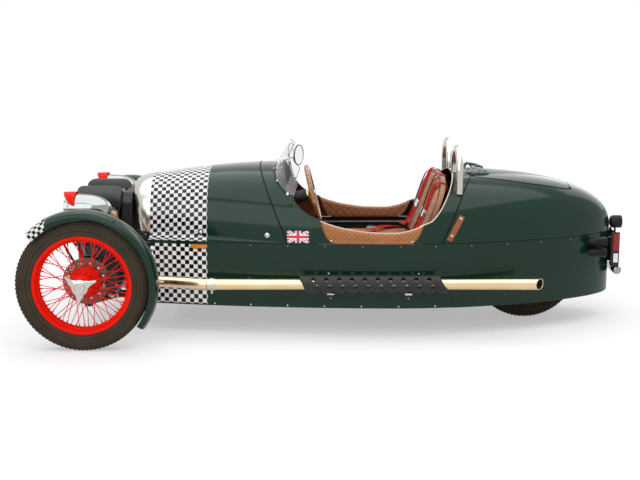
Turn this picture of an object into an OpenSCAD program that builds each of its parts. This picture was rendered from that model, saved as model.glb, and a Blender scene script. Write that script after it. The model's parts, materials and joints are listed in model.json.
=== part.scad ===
// Open two-seat three-wheeled car: two wire wheels in front, an exposed V-twin ahead of a
// horseshoe nose, a slab-sided body with a barrel tail, and one enclosed wheel behind.
// Millimetres. +X points forward, +Y to the car's left, +Z up. The origin is on the ground
// under the centre of the bounding box.

/* [Wheels and stance] */
// Distance between the front and rear axles
wheelbase = 2392; // [2340:1:2440]
// Distance between the middle planes of the front tyres
track = 1510; // [1480:1:1540]
// Height of a front tyre's wall, from the rim's flange to the tread
front_tyre_h = 86; // [80:1:92]
// Width of a front tyre
front_tyre_w = 105; // [98:1:110]
// Outside diameter of the front rim's flange
front_rim_d = 512; // [500:1:520]
// Height of the rear tyre's wall, from the rim's flange to the tread
rear_tyre_h = 88; // [82:1:92]
// Width of the rear tyre
rear_tyre_w = 175; // [165:1:185]
// Outside diameter of the rear rim's flange
rear_rim_d = 436; // [424:1:444]
// Distance from the rear axle to the rearmost point
rear_overhang = 554; // [545:1:590]
// Number of spokes in a front wheel, a multiple of four
spoke_count = 60; // [40:4:72]
// Diameter of one spoke
spoke_d = 4.6; // [3.6:0.2:6]

/* [Body] */
// Half of the body's greatest width
body_half_w = 498; // [490:1:506]
// Height of the sill, the body's lower edge
sill_z = 150; // [140:1:160]
// Height of the belt line between the lower and upper body
belt_z = 503; // [496:1:510]
// Height of the scuttle's crown
scuttle_z = 893; // [880:1:905]
// Height of the crown of the rear deck
deck_z = 853; // [845:1:865]
// Thickness of the body's walls
wall = 14; // [10:1:16]
// Thickness of the floor
floor_t = 10; // [8:1:14]
// Fall of the bonnet from the scuttle to the nose
bonnet_fall = 62; // [50:1:75]
// How much narrower the lower body is at the nose, on each side
nose_taper = 139; // [125:1:150]
// How far the bonnet's side is set in from the lower body at the nose
bonnet_inset = 92; // [80:1:100]
// Gap between neighbouring body panels
panel_gap = 0.5; // [0.3:0.1:0.9]

/* [Cockpit] */
// Diameter of the steering wheel
steering_wheel_d = 330; // [310:1:345]
// Angle of the steering column above the horizontal
column_angle = 13.6; // [10:0.1:17]
// Straight length of a roll hoop's inner leg above the deck
hoop_leg = 22.4; // [15:0.1:40]
// Outside diameter of a roll hoop's tube
hoop_tube_d = 40; // [34:1:44]

/* [Running gear] */
// Diameter of an exhaust pipe
exhaust_d = 60; // [54:1:64]
// Distance of an exhaust pipe's middle from the body's widest point
exhaust_gap = 47; // [42:1:54]
// Height of the exhaust pipes
exhaust_z = 297; // [290:1:305]
// Angle between the engine's two cylinders
vee_angle = 56; // [50:1:58]
// Width of a front mudguard
mudguard_w = 140; // [132:1:146]
// Gap between a front tyre's tread and its mudguard
mudguard_gap = 20; // [14:1:24]

/* [Hidden] */
$fn = 48;

// Stations along the car
front_r = front_rim_d / 2 + front_tyre_h;
rear_r = rear_rim_d / 2 + rear_tyre_h;
x_f = (front_r + wheelbase + rear_overhang) / 2 - front_r;
x_r = x_f - wheelbase;
x_c = x_r + 1090;
x_wide = x_c - 341;
x_tail = x_r - 486;
x_nose = x_f - 297;
x_merge = x_c + 255;
x_deck = x_wide - 279;
x_seam = x_c - 620;
axle_y = track / 2;
kingpin_y = axle_y - 130;
exhaust_y = body_half_w + exhaust_gap;

// Shape of the body
section_power = 2.4;
tail_power = 1.75;
tail_round = 0.65;
deck_power = 2.5;
bonnet_rise = 30;
section_steps = 22;

function mix(a, b, t) = a + (b - a) * t;
function clamp01(t) = min(1, max(0, t));

// Half width of the lower body at x, moved in by s
function plan_w(x, s = 0) =
    x >= x_wide
        ? body_half_w - s - nose_taper * pow((x - x_wide) / (x_nose - x_wide), 2)
        : (body_half_w - s)
            * pow(max(0, 1 - pow((x_wide - x) / (x_wide - x_tail - s), tail_power)), tail_round);
function nose_part(x) = clamp01((x - x_merge) / (x_nose - x_merge));
function inset(x) = bonnet_inset * pow(nose_part(x), 1.4);
// Half width, foot height and crown height of the upper body at x
function upper_w(x, s = 0) = plan_w(x, s) - inset(x);
function upper_foot(x) = belt_z + panel_gap + bonnet_rise * nose_part(x);
function crown_z(x, s = 0) =
    x > x_deck + 300
        ? scuttle_z - s - bonnet_fall * pow(max(0, x - x_merge) / (x_nose - x_merge), 2)
        : belt_z + (deck_z - belt_z - s)
            * pow(max(0, 1 - pow(max(0, x_deck - x) / (x_deck - x_tail - s), deck_power)), 1 / deck_power);
// Point of the upper body at x and section angle a, from 0 at the left foot to 180 at the right
function sgn_pow(v, p) = (v < 0 ? -1 : 1) * pow(abs(v), p);
function upper_pt(x, a, s = 0) = [
    x,
    upper_w(x, s) * sgn_pow(cos(a), 2 / section_power),
    upper_foot(x) + max(0, crown_z(x, s) - upper_foot(x)) * rise(a)
];
function upper_z(x, y) =
    upper_foot(x) + (crown_z(x) - upper_foot(x))
        * pow(max(0, 1 - pow(abs(y) / upper_w(x), section_power)), 1 / section_power);
// Share of the section's height at angle a
function rise(a) = pow(max(0, sin(a)), 2 / section_power);

// Smooth value at t from rows of [t, value]
function curve(rows, t) =
    let (n = len(rows), i = max(0, min(n - 2, len([for (r = rows) if (r[0] <= t) 1]) - 1)))
    mix(rows[i][1], rows[i + 1][1],
        clamp01((t - rows[i][0]) / (rows[i + 1][0] - rows[i][0])));

// Panel joints as x against the share of the section's height
bonnet_joint = [[0, x_c + 262], [1, x_c + 426]];
scuttle_edge = [[0, x_c + 20], [0.31, x_c + 88], [0.38, x_c + 150], [0.52, x_c + 217],
                [0.76, x_c + 270], [1, x_c + 300]];
deck_edge = [[0, x_c - 402], [0.26, x_c - 443], [0.34, x_c - 510], [0.69, x_c - 600],
             [1, x_c - 655]];
tail_joint = [[0, x_c - 602], [1, x_c - 762]];

// A closed shell between two grids of points, outer and inner, of the same size.
// With pointed set, the last row of each grid is one point.
module shell(outer, inner, pointed = false) {
    rows = len(outer);
    cols = len(outer[0]);
    points = concat([for (r = outer) for (p = r) p], [for (r = inner) for (p = r) p]);
    function at(side, i, j) = side * rows * cols + i * cols + (pointed && i == rows - 1 ? 0 : j);
    function two(a, b, c, d) = [[a, b, c], [a, c, d]];
    last = pointed ? rows - 2 : rows - 1;
    faces = concat(
        [for (i = [0 : rows - 2]) for (j = [0 : cols - 2])
            each two(at(0, i, j), at(0, i + 1, j), at(0, i + 1, j + 1), at(0, i, j + 1))],
        [for (i = [0 : rows - 2]) for (j = [0 : cols - 2])
            each two(at(1, i, j), at(1, i, j + 1), at(1, i + 1, j + 1), at(1, i + 1, j))],
        [for (j = [0 : cols - 2])
            each two(at(0, 0, j), at(0, 0, j + 1), at(1, 0, j + 1), at(1, 0, j))],
        pointed ? [] : [for (j = [0 : cols - 2])
            each two(at(0, rows - 1, j + 1), at(0, rows - 1, j), at(1, rows - 1, j),
                     at(1, rows - 1, j + 1))],
        [for (i = [0 : rows - 2])
            each two(at(0, i + 1, 0), at(0, i, 0), at(1, i, 0), at(1, i + 1, 0))],
        [for (i = [0 : rows - 2])
            each two(at(0, i, cols - 1), at(0, i + 1, cols - 1), at(1, i + 1, cols - 1),
                     at(1, i, cols - 1))]
    );
    polyhedron(points, [for (f = faces) if (f[0] != f[1] && f[1] != f[2] && f[0] != f[2])
        [f[0], f[2], f[1]]]);
}

// Part of the upper body between two joints, each x against the share of height
module upper_panel(front, back, steps) {
    function xs(a, t) = mix(curve(front, rise(a)), curve(back, rise(a)), t);
    shell([for (i = [0 : steps]) [for (j = [0 : section_steps])
               upper_pt(xs(180 * j / section_steps, i / steps), 180 * j / section_steps)]],
          [for (i = [0 : steps]) [for (j = [0 : section_steps])
               upper_pt(xs(180 * j / section_steps, i / steps), 180 * j / section_steps, wall)]]);
}
function moved(rows, d) = [for (r = rows) [r[0], r[1] + d]];

// A round bar between two points
module rod(p, q, r) {
    d = q - p;
    translate(p)
        rotate([0, acos(d[2] / norm(d)), atan2(d[1], d[0])])
            cylinder(h = norm(d), r = r);
}
module along_x(x, y, z, l, r) translate([x, y, z]) rotate([0, 90, 0]) cylinder(h = l, r = r);
module along_y(x, y, z, l, r) translate([x, y, z]) rotate([-90, 0, 0]) cylinder(h = l, r = r);
module both_sides() {
    children();
    mirror([0, 1, 0]) children();
}
// Turns a profile of [radius, distance along the axle] about the axle of a wheel
module about_axle(x, y, z) translate([x, y, z]) rotate([-90, 0, 0]) children();

// Lower body: slab sides that follow the plan
side_steps = 14;
tail_steps = 26;
function side_xs() = [for (i = [0 : side_steps]) mix(x_nose - 5, x_seam + panel_gap / 2, i / side_steps)];
module lower_side() {
    xs = side_xs();
    color("darkgreen") translate([0, 0, sill_z]) linear_extrude(belt_z - sill_z)
        polygon(concat([for (x = xs) [x, plan_w(x)]],
                       [for (i = [side_steps : -1 : 0]) [xs[i], plan_w(xs[i], wall)]]));
}
// Tail stations crowd towards the stern, where the plan turns round fastest
function tail_x(i, s) = mix(x_seam - panel_gap / 2, x_tail + s, 1 - pow(1 - i / tail_steps, 2.2));
module lower_tail() {
    half = [for (i = [0 : tail_steps]) [tail_x(i, 0), plan_w(tail_x(i, 0))]];
    half_in = [for (i = [0 : tail_steps])
        let (x = i == tail_steps ? x_tail + wall : mix(x_seam - panel_gap / 2, x_tail + wall,
            1 - pow(1 - i / tail_steps, 2.2)))
        [x, plan_w(x, wall)]];
    outer = concat(half, [for (i = [tail_steps - 1 : -1 : 0]) [half[i][0], -half[i][1]]]);
    inner = concat(half_in, [for (i = [tail_steps - 1 : -1 : 0]) [half_in[i][0], -half_in[i][1]]]);
    n = len(inner);
    color("darkgreen") translate([0, 0, sill_z]) linear_extrude(belt_z - sill_z)
        polygon(concat(outer, [for (i = [n - 1 : -1 : 0]) inner[i]]));
}
module floor_pan() {
    front = x_nose - 30;
    back = x_c - 700;
    xs = [for (i = [0 : 16]) mix(front, back, i / 16)];
    half = [for (x = xs) [x, plan_w(x, wall) - 1.2]];
    outline = concat(half, [for (i = [16 : -1 : 0]) [half[i][0], -half[i][1]]]);
    apron_w = plan_w(front, wall) - 1.2;
    rail_top = rail_z + rail_r + 0.5;
    color("dimgray") {
        translate([0, 0, sill_z]) linear_extrude(floor_t) polygon(outline);
        // Apron that closes the body's front below the bonnet
        translate([front - 10, -apron_w, rail_top]) cube([10, 2 * apron_w, belt_z - 4 - rail_top]);
    }
}

// Upper body
module bonnet() {
    back = moved(bonnet_joint, panel_gap / 2);
    front_x = x_nose + panel_gap / 2;
    joint_slope = 1.1 * (bonnet_joint[1][1] - bonnet_joint[0][1]) / (crown_z(x_merge) - upper_foot(x_merge));
    steps = 12;
    function xs(a, t) = mix(front_x, curve(back, rise(a)), t);
    // The foot flares out to the lower body's edge as a narrow ledge
    function ring(t, s) = concat(
        [let (x = xs(0, t)) [x, max(plan_w(x, s), upper_w(x, s) + 3), belt_z + panel_gap]],
        [for (j = [0 : section_steps]) let (a = 180 * j / section_steps, p = upper_pt(xs(a, t), a, s),
                                            lift = max(0, belt_z + panel_gap + 3 - p[2]))
            [p[0] + t * lift * joint_slope, p[1], p[2] + lift]],
        [let (x = xs(0, t)) [x, -max(plan_w(x, s), upper_w(x, s) + 3), belt_z + panel_gap]]);
    color("darkgreen") shell([for (i = [0 : steps]) ring(i / steps, 0)],
                             [for (i = [0 : steps]) ring(i / steps, wall)]);
}
module scuttle() color("darkgreen")
    upper_panel(moved(bonnet_joint, -panel_gap / 2), scuttle_edge, 6);
module rear_deck() color("darkgreen")
    upper_panel(deck_edge, moved(tail_joint, panel_gap / 2), 6);

// Polished nose with a lip that rolls in to a horseshoe opening
cowl_depth = 112;
cowl_roll = 58;
cowl_lean = 46;
function cowl_pt(a, t, s) =
    let (
        th = 112 * t,
        w = upper_w(x_nose) - s - cowl_roll * (1 - cos(th)),
        h = crown_z(x_nose) - s - upper_foot(x_nose) - cowl_roll * (1 - cos(th)),
        q = rise(a)
    )
    [x_nose + 1.2 * panel_gap + (cowl_depth - s) * sin(th) + cowl_lean * (q - 0.55) * sin(min(90, th)),
     w * sgn_pow(cos(a), 2 / section_power), upper_foot(x_nose) + h * q];
module nose_cowl() color("silver")
    shell([for (i = [8 : -1 : 0]) [for (j = [0 : section_steps]) cowl_pt(180 * j / section_steps, i / 8, 0)]],
          [for (i = [8 : -1 : 0]) [for (j = [0 : section_steps]) cowl_pt(180 * j / section_steps, i / 8, 9)]]);
// Slatted plate behind the opening
module nose_grille() {
    x = x_nose + 40;
    drop = 16.2;
    w = upper_w(x_nose) - drop - cowl_roll * 0.075;
    h = crown_z(x_nose) - upper_foot(x_nose) - drop - cowl_roll * 0.075;
    outline = [for (j = [0 : section_steps]) let (a = 180 * j / section_steps)
        [w * sgn_pow(cos(a), 2 / section_power), upper_foot(x_nose) + h * rise(a)]];
    color("black") translate([x, 0, 0]) rotate([90, 0, 90]) difference() {
        linear_extrude(5) polygon(outline);
        for (i = [-9 : 9]) let (y = i * 20, top = h * pow(1 - pow(abs(y) / w, section_power), 1 / section_power))
            translate([y - 6, upper_foot(x_nose) + 22, -1]) cube([12, top - 60, 7]);
    }
}

// The tail's top as one shell, before its lid is cut out
module tail_shell() {
    rows = 15;
    function xs(a, t, s) = mix(curve(tail_joint, rise(a)) - panel_gap / 2, x_tail + s, 1 - pow(1 - t, 2.2));
    function ring(t, s) = [for (j = [0 : section_steps]) let (a = 180 * j / section_steps)
        upper_pt(xs(a, t, s), a, s)];
    shell([for (i = [0 : rows]) ring(i / rows, 0)], [for (i = [0 : rows]) ring(i / rows, wall)], pointed = true);
}
lid_front = x_c - 769;
lid_back = x_r - 225;
lid_gap = 6;
lid_half = [[lid_back, 46], [lid_back + 14, 70], [lid_back + 44, 86], [lid_front, 200]];
module tail_upper() {
    xs = [lid_back - lid_gap, lid_back + 14 - lid_gap, lid_back + 44, lid_front, x_c - 600];
    half = [for (i = [0 : 4]) [xs[i], i == 4 ? 200 + lid_gap + 8 : lid_half[i][1] + lid_gap]];
    color("darkgreen") difference() {
        tail_shell();
        translate([0, 0, belt_z + 60]) linear_extrude(600)
            polygon(concat(half, [for (i = [4 : -1 : 0]) [half[i][0], -half[i][1]]]));
    }
}
module boot_lid() {
    xs = [lid_front, for (i = [1 : 9]) mix(lid_front, lid_back + 44, i / 9), lid_back + 14, lid_back];
    function ring(x, drop) = [for (j = [-5 : 5]) let (y = -j / 5 * curve(lid_half, x)) [x, y, upper_z(x, y) - drop]];
    color("darkgreen") shell([for (x = xs) ring(x, 0)], [for (x = xs) ring(x, wall)]);
}
lid_axis_z = crown_z(lid_front) + 21;
hinge_ys = [-120, 120];
module lid_hinge_leaves() color("silver") for (y = hinge_ys)
    translate([0, y, 0]) difference() {
        union() {
            along_y(lid_front, -8, lid_axis_z, 16, 9);
            translate([lid_front - 84, -8, upper_z(lid_front, 120) + 0.5])
                cube([84, 16, lid_axis_z + 2 - upper_z(lid_front, 120) - 0.5]);
        }
        along_y(lid_front, -10, lid_axis_z, 20, 5.05);
    }
module lid_hinge_pins() color("silver") for (y = hinge_ys) translate([0, y, 0]) {
    foot = upper_z(lid_front + 62, hinge_ys[1] - 16) + 0.1;
    along_y(lid_front, -16, lid_axis_z, 32, 5);
    for (e = [-16, 9]) {
        along_y(lid_front, e, lid_axis_z, 7, 9);
        translate([lid_front, e, foot + 3]) cube([50, 7, lid_axis_z + 5 - foot - 3]);
    }
    translate([lid_front + 16, -16, foot]) cube([46, 32, 8]);
}
module boot_tray() {
    half = [[x_c - 774, 184], [x_r - 190, 84]];
    outline = [half[0], half[1], [half[1][0], -half[1][1]], [half[0][0], -half[0][1]]];
    z = 2 * rear_r + 20;
    color("dimgray") {
        translate([0, 0, z]) linear_extrude(6) polygon(outline);
        for (s = [-1, 1]) translate([0, 0, z]) linear_extrude(70)
            polygon([[half[0][0], s * 184], [half[1][0], s * 84], [half[1][0], s * 78], [half[0][0], s * 178]]);
        translate([half[1][0], -84, z]) cube([6, 168, 70]);
        translate([x_c - 776, 40 - pivot_half, z]) cube([130, 2 * pivot_half - 80, 6]);
        translate([x_c - 660, 40 - pivot_half, hoop_z + 13.5]) cube([30, 2 * pivot_half - 80, z - hoop_z - 13.5 + 6]);
    }
}

// Cockpit
function pad_top(x) = curve([[x_c - 443, 594], [x_c - 380, 572], [x_c - 311, 561], [x_c - 200, 563],
                             [x_c - 60, 581], [x_c + 40, 607], [x_c + 88, 626]], x);
module loft(rings) {
    n = len(rings);
    m = len(rings[0]);
    polyhedron([for (r = rings) for (p = r) p],
        concat(
            [for (i = [0 : n - 2]) for (k = [0 : m - 1]) let (k2 = (k + 1) % m)
                each [[i * m + k, (i + 1) * m + k2, (i + 1) * m + k], [i * m + k, i * m + k2, (i + 1) * m + k2]]],
            [for (k = [1 : m - 2]) [0, k + 1, k]],
            [for (k = [1 : m - 2]) [(n - 1) * m, (n - 1) * m + k, (n - 1) * m + k + 1]]));
}
module cockpit_pad() {
    section = [[0.01, 0], [0.5, 4], [0.82, 2], [0.96, -6], [1, -17], [1, -27], [0.93, -38], [0.8, -43], [0.01, -43]];
    steps = 14;
    loft([for (i = [0 : steps]) [for (p = section)
        let (x = mix(mix(x_c + 19, x_c + 87, p[0]), mix(x_c - 401, x_c - 442, p[0]), i / steps))
        [x, plan_w(x) + p[1], mix(belt_z + panel_gap, pad_top(x), p[0])]]]);
}
module cockpit_pads() color("sienna") both_sides() cockpit_pad();

rail_r = 20;
rail_z = sill_z + floor_t + rail_r + 0.5;
rail_y = body_half_w - 248;
hoop_z = 560;
seat_top = 440;
seat_half = body_half_w - wall - 54;
module seat_cushion() {
    z = rail_z + rail_r + 0.6;
    color("sienna") difference() {
        translate([x_c - 476, -seat_half, z]) cube([476, 2 * seat_half, seat_top - z]);
        // A tunnel under the cushion for the frame's middle
        translate([x_c - 480, -70, z - 1]) cube([490, 140, 90]);
    }
}
module seat_back() {
    lean = 19.5;
    w = seat_half - 25;
    h = 412;
    outline = concat([[w, 0]], [for (i = [0 : 20]) let (a = 180 * i / 20)
        [w * sgn_pow(cos(a), 2 / 3.2), 190 + (h - 190) * pow(max(0, sin(a)), 2 / 3.2)]], [[-w, 0]]);
    color("sienna") translate([x_c - 472, 0, seat_top + 0.4]) rotate([0, -lean, 0])
        rotate([90, 0, 90]) linear_extrude(54) polygon(outline);
}
column_pos = [x_c + 128, body_half_w - 278, 740];
module at_column() translate(column_pos) rotate([0, 90 + column_angle, 0]) children();
module dashboard() {
    x = x_c + 338;
    outline = concat([for (i = [2 : section_steps - 2]) let (p = upper_pt(x, 180 * i / section_steps, wall + 0.7)) [p[1], p[2]]]);
    color("saddlebrown") difference() {
        translate([x - 20, 0, 0]) rotate([90, 0, 90]) linear_extrude(20) polygon(outline);
        at_column() cylinder(h = 500, r = 22.5);
    }
}
rack_x = x_f - 130;
rack_z = 258;
module steering_column() color("black") {
    at_column() {
        translate([0, 0, 30]) cylinder(h = 470, r = 22);
        translate([0, 0, -16]) cylinder(h = 60, r = 10);
    }
    // Rack housing across the car, on feet over a cross tube
    difference() {
        union() {
            along_y(rack_x, -200, rack_z, 400, 24);
            for (y = [-190, 160]) translate([rack_x - 14, y, rail_z + 16.3]) cube([28, 30, rack_z - rail_z - 16.3]);
        }
        along_y(rack_x, -220, rack_z, 440, 9.06);
    }
}
module steering_wheel() {
    big = steering_wheel_d / 2 - 14;
    color("peru") at_column() difference() {
        union() {
            rotate_extrude() translate([big, 0]) circle(r = 14);
            for (a = [90, 210, 330]) rotate([0, 0, a]) translate([18, -15, -3]) cube([big - 24, 30, 6]);
            translate([0, 0, -12]) cylinder(h = 30, r = 32);
        }
        translate([0, 0, -20]) cylinder(h = 60, r = 10.05);
    }
}
hoop_y = body_half_w - 258;
hoop_half = 120;
hoop_x = x_c - 664;
module roll_hoop() {
    r = hoop_tube_d / 2;
    z = upper_z(hoop_x, hoop_y - hoop_half - r) + 0.6 + hoop_leg;
    translate([hoop_x, hoop_y, 0]) {
        translate([0, 0, z]) rotate([90, 0, 90]) rotate_extrude(angle = 180) translate([hoop_half, 0]) circle(r = r);
        for (s = [-1, 1]) let (foot = upper_z(hoop_x, hoop_y + s * hoop_half - r) + 0.6)
            translate([0, s * hoop_half, foot]) cylinder(h = z - foot, r = r - 0.3);
    }
}
module roll_hoops() color("silver") both_sides() roll_hoop();
// A curved screen on the scuttle, its foot on the body and its top raked back
module aeroscreen() {
    steps = 16;
    middle = 23;
    side_margin = 91;
    half = (body_half_w - side_margin - middle) / 2;
    ends = [84, -56];
    function base(f, s) = [x_c + 222 + (120 - s) * cos(f), half + middle + (half - s) * sin(f)];
    function foot(f, s) = let (p = base(f, s)) [p[0], p[1], upper_z(p[0], p[1]) + 0.6];
    function tip(f, s) = let (p = foot(f, s), k = cos(f * 0.86))
        [p[0] - 78 * k, p[1] - 26 * sin(f), p[2] + 26 + 104 * pow(max(0, k), 0.8)];
    shell([for (i = [0 : 3]) [for (j = [0 : steps]) let (f = mix(ends[0], ends[1], j / steps)) mix(tip(f, 0), foot(f, 0), i / 3)]],
          [for (i = [0 : 3]) [for (j = [0 : steps]) let (f = mix(ends[0], ends[1], j / steps)) mix(tip(f, 5), foot(f, 5), i / 3)]]);
}
module aeroscreens() color("lightblue") both_sides() aeroscreen();
module mirror_head() {
    head = [x_c + 226, 0, 932];
    foot_x = x_c + 325;
    color("silver") {
        translate([foot_x, 0, crown_z(foot_x - 14) + 0.5]) cylinder(h = 8, r = 14);
        rod([foot_x, 0, crown_z(foot_x) + 4], head + [-5, 0, -6], 5);
        translate(head) rotate([0, 0, -25]) rotate([0, -90, 0]) cylinder(h = 20, r = 58);
    }
}

// Tubular frame
top_rail_y = body_half_w - 208;
top_rail_z = 470;
tower = [x_f, top_rail_y + 45, 592];
tower_r = 17.6;
arm_y = rear_tyre_w / 2 + 36;
pivot_half = arm_y + 66.5;
module chassis_frame() color("dimgray") {
    both_sides() {
        rod([x_f + 150, rail_y, rail_z], [x_c - 645, rail_y, rail_z], rail_r);
        rod([x_f + 140, top_rail_y, top_rail_z], [x_nose - 29, top_rail_y, top_rail_z], 14);
        for (d = [112, -92]) rod([x_f + d, rail_y, rail_z], [x_f + d, top_rail_y, top_rail_z], 11);
        for (d = [-62, 62]) rod([x_f + d, top_rail_y, top_rail_z], tower, 9);
        translate(tower) rotate([0, 90, 0]) translate([0, 0, -16]) cylinder(h = 32, r = tower_r);
        rod([x_c - 625, pivot_half, rail_z], [x_c - 645, pivot_half, hoop_z], 15);
    }
    for (x = [x_f + 122, x_f - 60, rack_x, x_c + 640, x_c + 120, x_c - 300])
        rod([x, -rail_y, rail_z], [x, rail_y, rail_z], 16);
    let (half = max(rail_y, pivot_half + 15)) rod([x_c - 625, -half, rail_z], [x_c - 625, half, rail_z], 16);
    rod([x_c - 645, -pivot_half, hoop_z], [x_c - 645, pivot_half, hoop_z], 13);
}

// Engine
crank = [x_f + 18, 0, 365];
half_vee = vee_angle / 2;
module on_bank(side) translate(crank) rotate([-side * half_vee, 0, 0]) children();
barrel_foot = 172;
head_foot = 292;
cover_foot = 372;
cover_half = 128;
module crankcase() color("silver") {
    difference() {
        union() {
            along_x(crank[0] - 118, 0, crank[2], 236, 134);
            translate([crank[0] - 112, -105, rail_z + 16.6]) cube([224, 210, 160]);
            for (s = [-1, 1]) on_bank(s) translate([-70, -70, 60]) cube([140, 140, barrel_foot - 60]);
        }
        along_x(crank[0] + 100, 0, crank[2], 30, 60);
    }
    along_x(crank[0] + 99, 0, crank[2], 34, 48);
}
module cylinders() {
    fins = 9;
    pitch = (head_foot - barrel_foot) / fins;
    color("dimgray") for (s = [-1, 1]) on_bank(s) {
        rotate_extrude() polygon(concat([[0, barrel_foot + 0.4], [58, barrel_foot + 0.4]],
            [for (i = [0 : fins - 1]) each let (z = barrel_foot + i * pitch)
                [[58, z + 3], [80, z + 4], [80, z + 8], [58, z + 9]]],
            [[58, head_foot], [0, head_foot]]));
        translate([-100, -74, head_foot]) cube([200, 148, cover_foot - head_foot]);
        along_y(-80, s * 78 - 8, (head_foot + cover_foot) / 2, 16, 34);
    }
}
module rocker_covers() color("black") for (s = [-1, 1]) on_bank(s)
    translate([0, 0, cover_foot + 0.5]) difference() {
        union() {
            translate([-cover_half, -66, 0]) cube([2 * cover_half, 132, 44]);
            translate([-116, -52, 40]) cube([232, 104, 34]);
        }
        // Bevelled rear and front ends
        for (e = [-1, 1]) translate([e * 116, 0, 74]) rotate([0, 45, 0]) translate([-17, -80, -17]) cube([34, 160, 34]);
    }
module air_box() color("black") difference() {
    depth = 57;
    x = crank[0] - cover_half - 0.4 - depth;
    translate([x, -205, 500]) cube([depth, 410, 238]);
    for (s = [-1, 1]) translate([0, s * 205, 738]) rotate([45, 0, 0]) translate([x - 40, -34, -34]) cube([140, 68, 68]);
    // Hollow face towards the nose
    translate([x - 2, -150, 540]) cube([30, 300, 150]);
}

// Lamps
lamp = [x_f + 30, top_rail_y + 158, 690];
lamp_r = 82;
module headlamps() color("silver") both_sides() {
    translate(lamp) rotate([0, 90, 0]) difference() {
        rotate_extrude() polygon([[0, -132], [16, -130], [34, -118], [50, -96], [64, -64], [73, -24], [77, 30],
            [lamp_r, 84], [lamp_r + 4, 92], [lamp_r + 4, 106], [lamp_r - 4, 108], [lamp_r - 4, 96],
            [70, 84], [60, 40], [40, -10], [0, -30]]);
    }
    rod([lamp[0] + 98, top_rail_y + 11, top_rail_z + 12.5], [lamp[0] + 20, lamp[1], lamp[2] - 70], 9);
}
module headlamp_lenses() color("white") both_sides() translate(lamp) rotate([0, 90, 0])
    rotate_extrude() polygon([[0, 118], [40, 115], [lamp_r - 5, 107], [lamp_r - 5, 100], [40, 108], [0, 111]]);
module side_markers() color("orange") both_sides() {
    a = x_nose - 303;
    b = x_nose - 215;
    translate([0, 0, 470]) linear_extrude(21) polygon([[a, plan_w(a) + 0.5], [a, plan_w(a) + 10],
        [b, plan_w(b) + 10], [b, plan_w(b) + 0.5]]);
}
module tail_lamps() color("black") both_sides() {
    x = x_tail + 66;
    y = plan_w(x + 108) + 22;
    for (z = [434, 478]) translate([x, y, z]) rotate([0, 90, 0])
        rotate_extrude() polygon([[0, 0], [19, 0], [21, 8], [21, 50], [18, 78], [10, 100], [0, 108]]);
    translate([x + 24, plan_w(x + 58) + 0.6, 440]) cube([34, y - plan_w(x + 58), 32]);
}
plate_x = x_r - rear_overhang + 16;
plate_hole_pitch = 146;
module plate_bracket() color("black") {
    difference() {
        union() {
            translate([plate_x, -95, 300]) cube([5, 190, 190]);
            translate([plate_x + 4, -22, 400]) cube([x_tail - 0.6 - plate_x - 4, 44, 60]);
            translate([plate_x, -10, 480]) cube([6, 20, 30]);
        }
        for (s = [-1, 1]) translate([plate_x - 1, s * plate_hole_pitch / 2, 345]) rotate([0, 90, 0]) cylinder(h = 8, r = 3.5);
    }
    along_x(x_r - rear_overhang, 0, 530, 52, 37);
    along_y(plate_x - 2, -34, 284, 68, 14);
    translate([plate_x, -20, 280]) cube([5, 40, 25]);
}

// Exhaust
function spline(p, i, t) =
    let (a = p[max(0, i - 1)], b = p[i], c = p[i + 1], d = p[min(len(p) - 1, i + 2)])
    0.5 * (2 * b + (c - a) * t + (2 * a - 5 * b + 4 * c - d) * t * t + (3 * b - a - 3 * c + d) * t * t * t);
function unit(v) = v / norm(v);
module sweep(path, sides) {
    n = len(path);
    loft([for (i = [0 : n - 1])
        let (t = unit([for (k = [0 : 2]) path[min(n - 1, i + 1)][k] - path[max(0, i - 1)][k]]),
             u = unit(cross(t, [0, 0, 1])), v = cross(u, t))
        [for (k = [0 : sides - 1]) let (a = 360 * k / sides)
            [for (c = [0 : 2]) path[i][c]] + path[i][3] * (cos(a) * u + sin(a) * v)]]);
}
pipe_r = exhaust_d / 2;
pipe_front = x_f - 614;
port = let (d = (head_foot + cover_foot) / 2)
    [crank[0] - 80, d * sin(half_vee) + 89 * cos(half_vee), crank[2] + d * cos(half_vee) - 89 * sin(half_vee)];
module exhaust_headers() {
    path = [concat(port, [22]), [port[0] - 8, port[1] + 46 * cos(half_vee), port[2] - 46 * sin(half_vee), 23], [x_f - 128, exhaust_y - 179, 520, 24],
            [x_f - 206, exhaust_y - 117, 410, 26], [x_f - 272, exhaust_y - 89, 326, 28],
            [x_f - 340, exhaust_y - 73, exhaust_z + 2, 30], [x_f - 430, exhaust_y - 51, exhaust_z, 30], [pipe_front + 95, exhaust_y - 24, exhaust_z, 30],
            [pipe_front + 30, exhaust_y - 3, exhaust_z, 30], [pipe_front + 0.6, exhaust_y, exhaust_z, 30]];
    fine = [for (i = [0 : len(path) - 2]) for (t = [0, 0.34, 0.67]) spline(path, i, t)];
    color("tan") both_sides() sweep(concat(fine, [path[len(path) - 1]]), 14);
}
module exhaust_pipes() color("tan") both_sides() {
    end_x = x_r - 14;
    difference() {
        union() {
            along_x(end_x, exhaust_y, exhaust_z, pipe_front - end_x, pipe_r);
            along_x(pipe_front - 34, exhaust_y, exhaust_z, 22, pipe_r + 5);
            for (x = [pipe_front - 218, x_wide]) let (y = plan_w(x) + 0.6)
                along_y(x, y, exhaust_z, exhaust_y - y - pipe_r + 6, 9);
        }
        along_x(end_x - 1, exhaust_y, exhaust_z, pipe_front - end_x + 2, pipe_r - 3);
        // Slanted tail, open outwards
        translate([end_x, exhaust_y - pipe_r, exhaust_z - 50]) rotate([0, 0, -40]) translate([-100, 0, 0]) cube([100, 200, 100]);
    }
}
shield_y = exhaust_y + pipe_r + 12;
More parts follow.
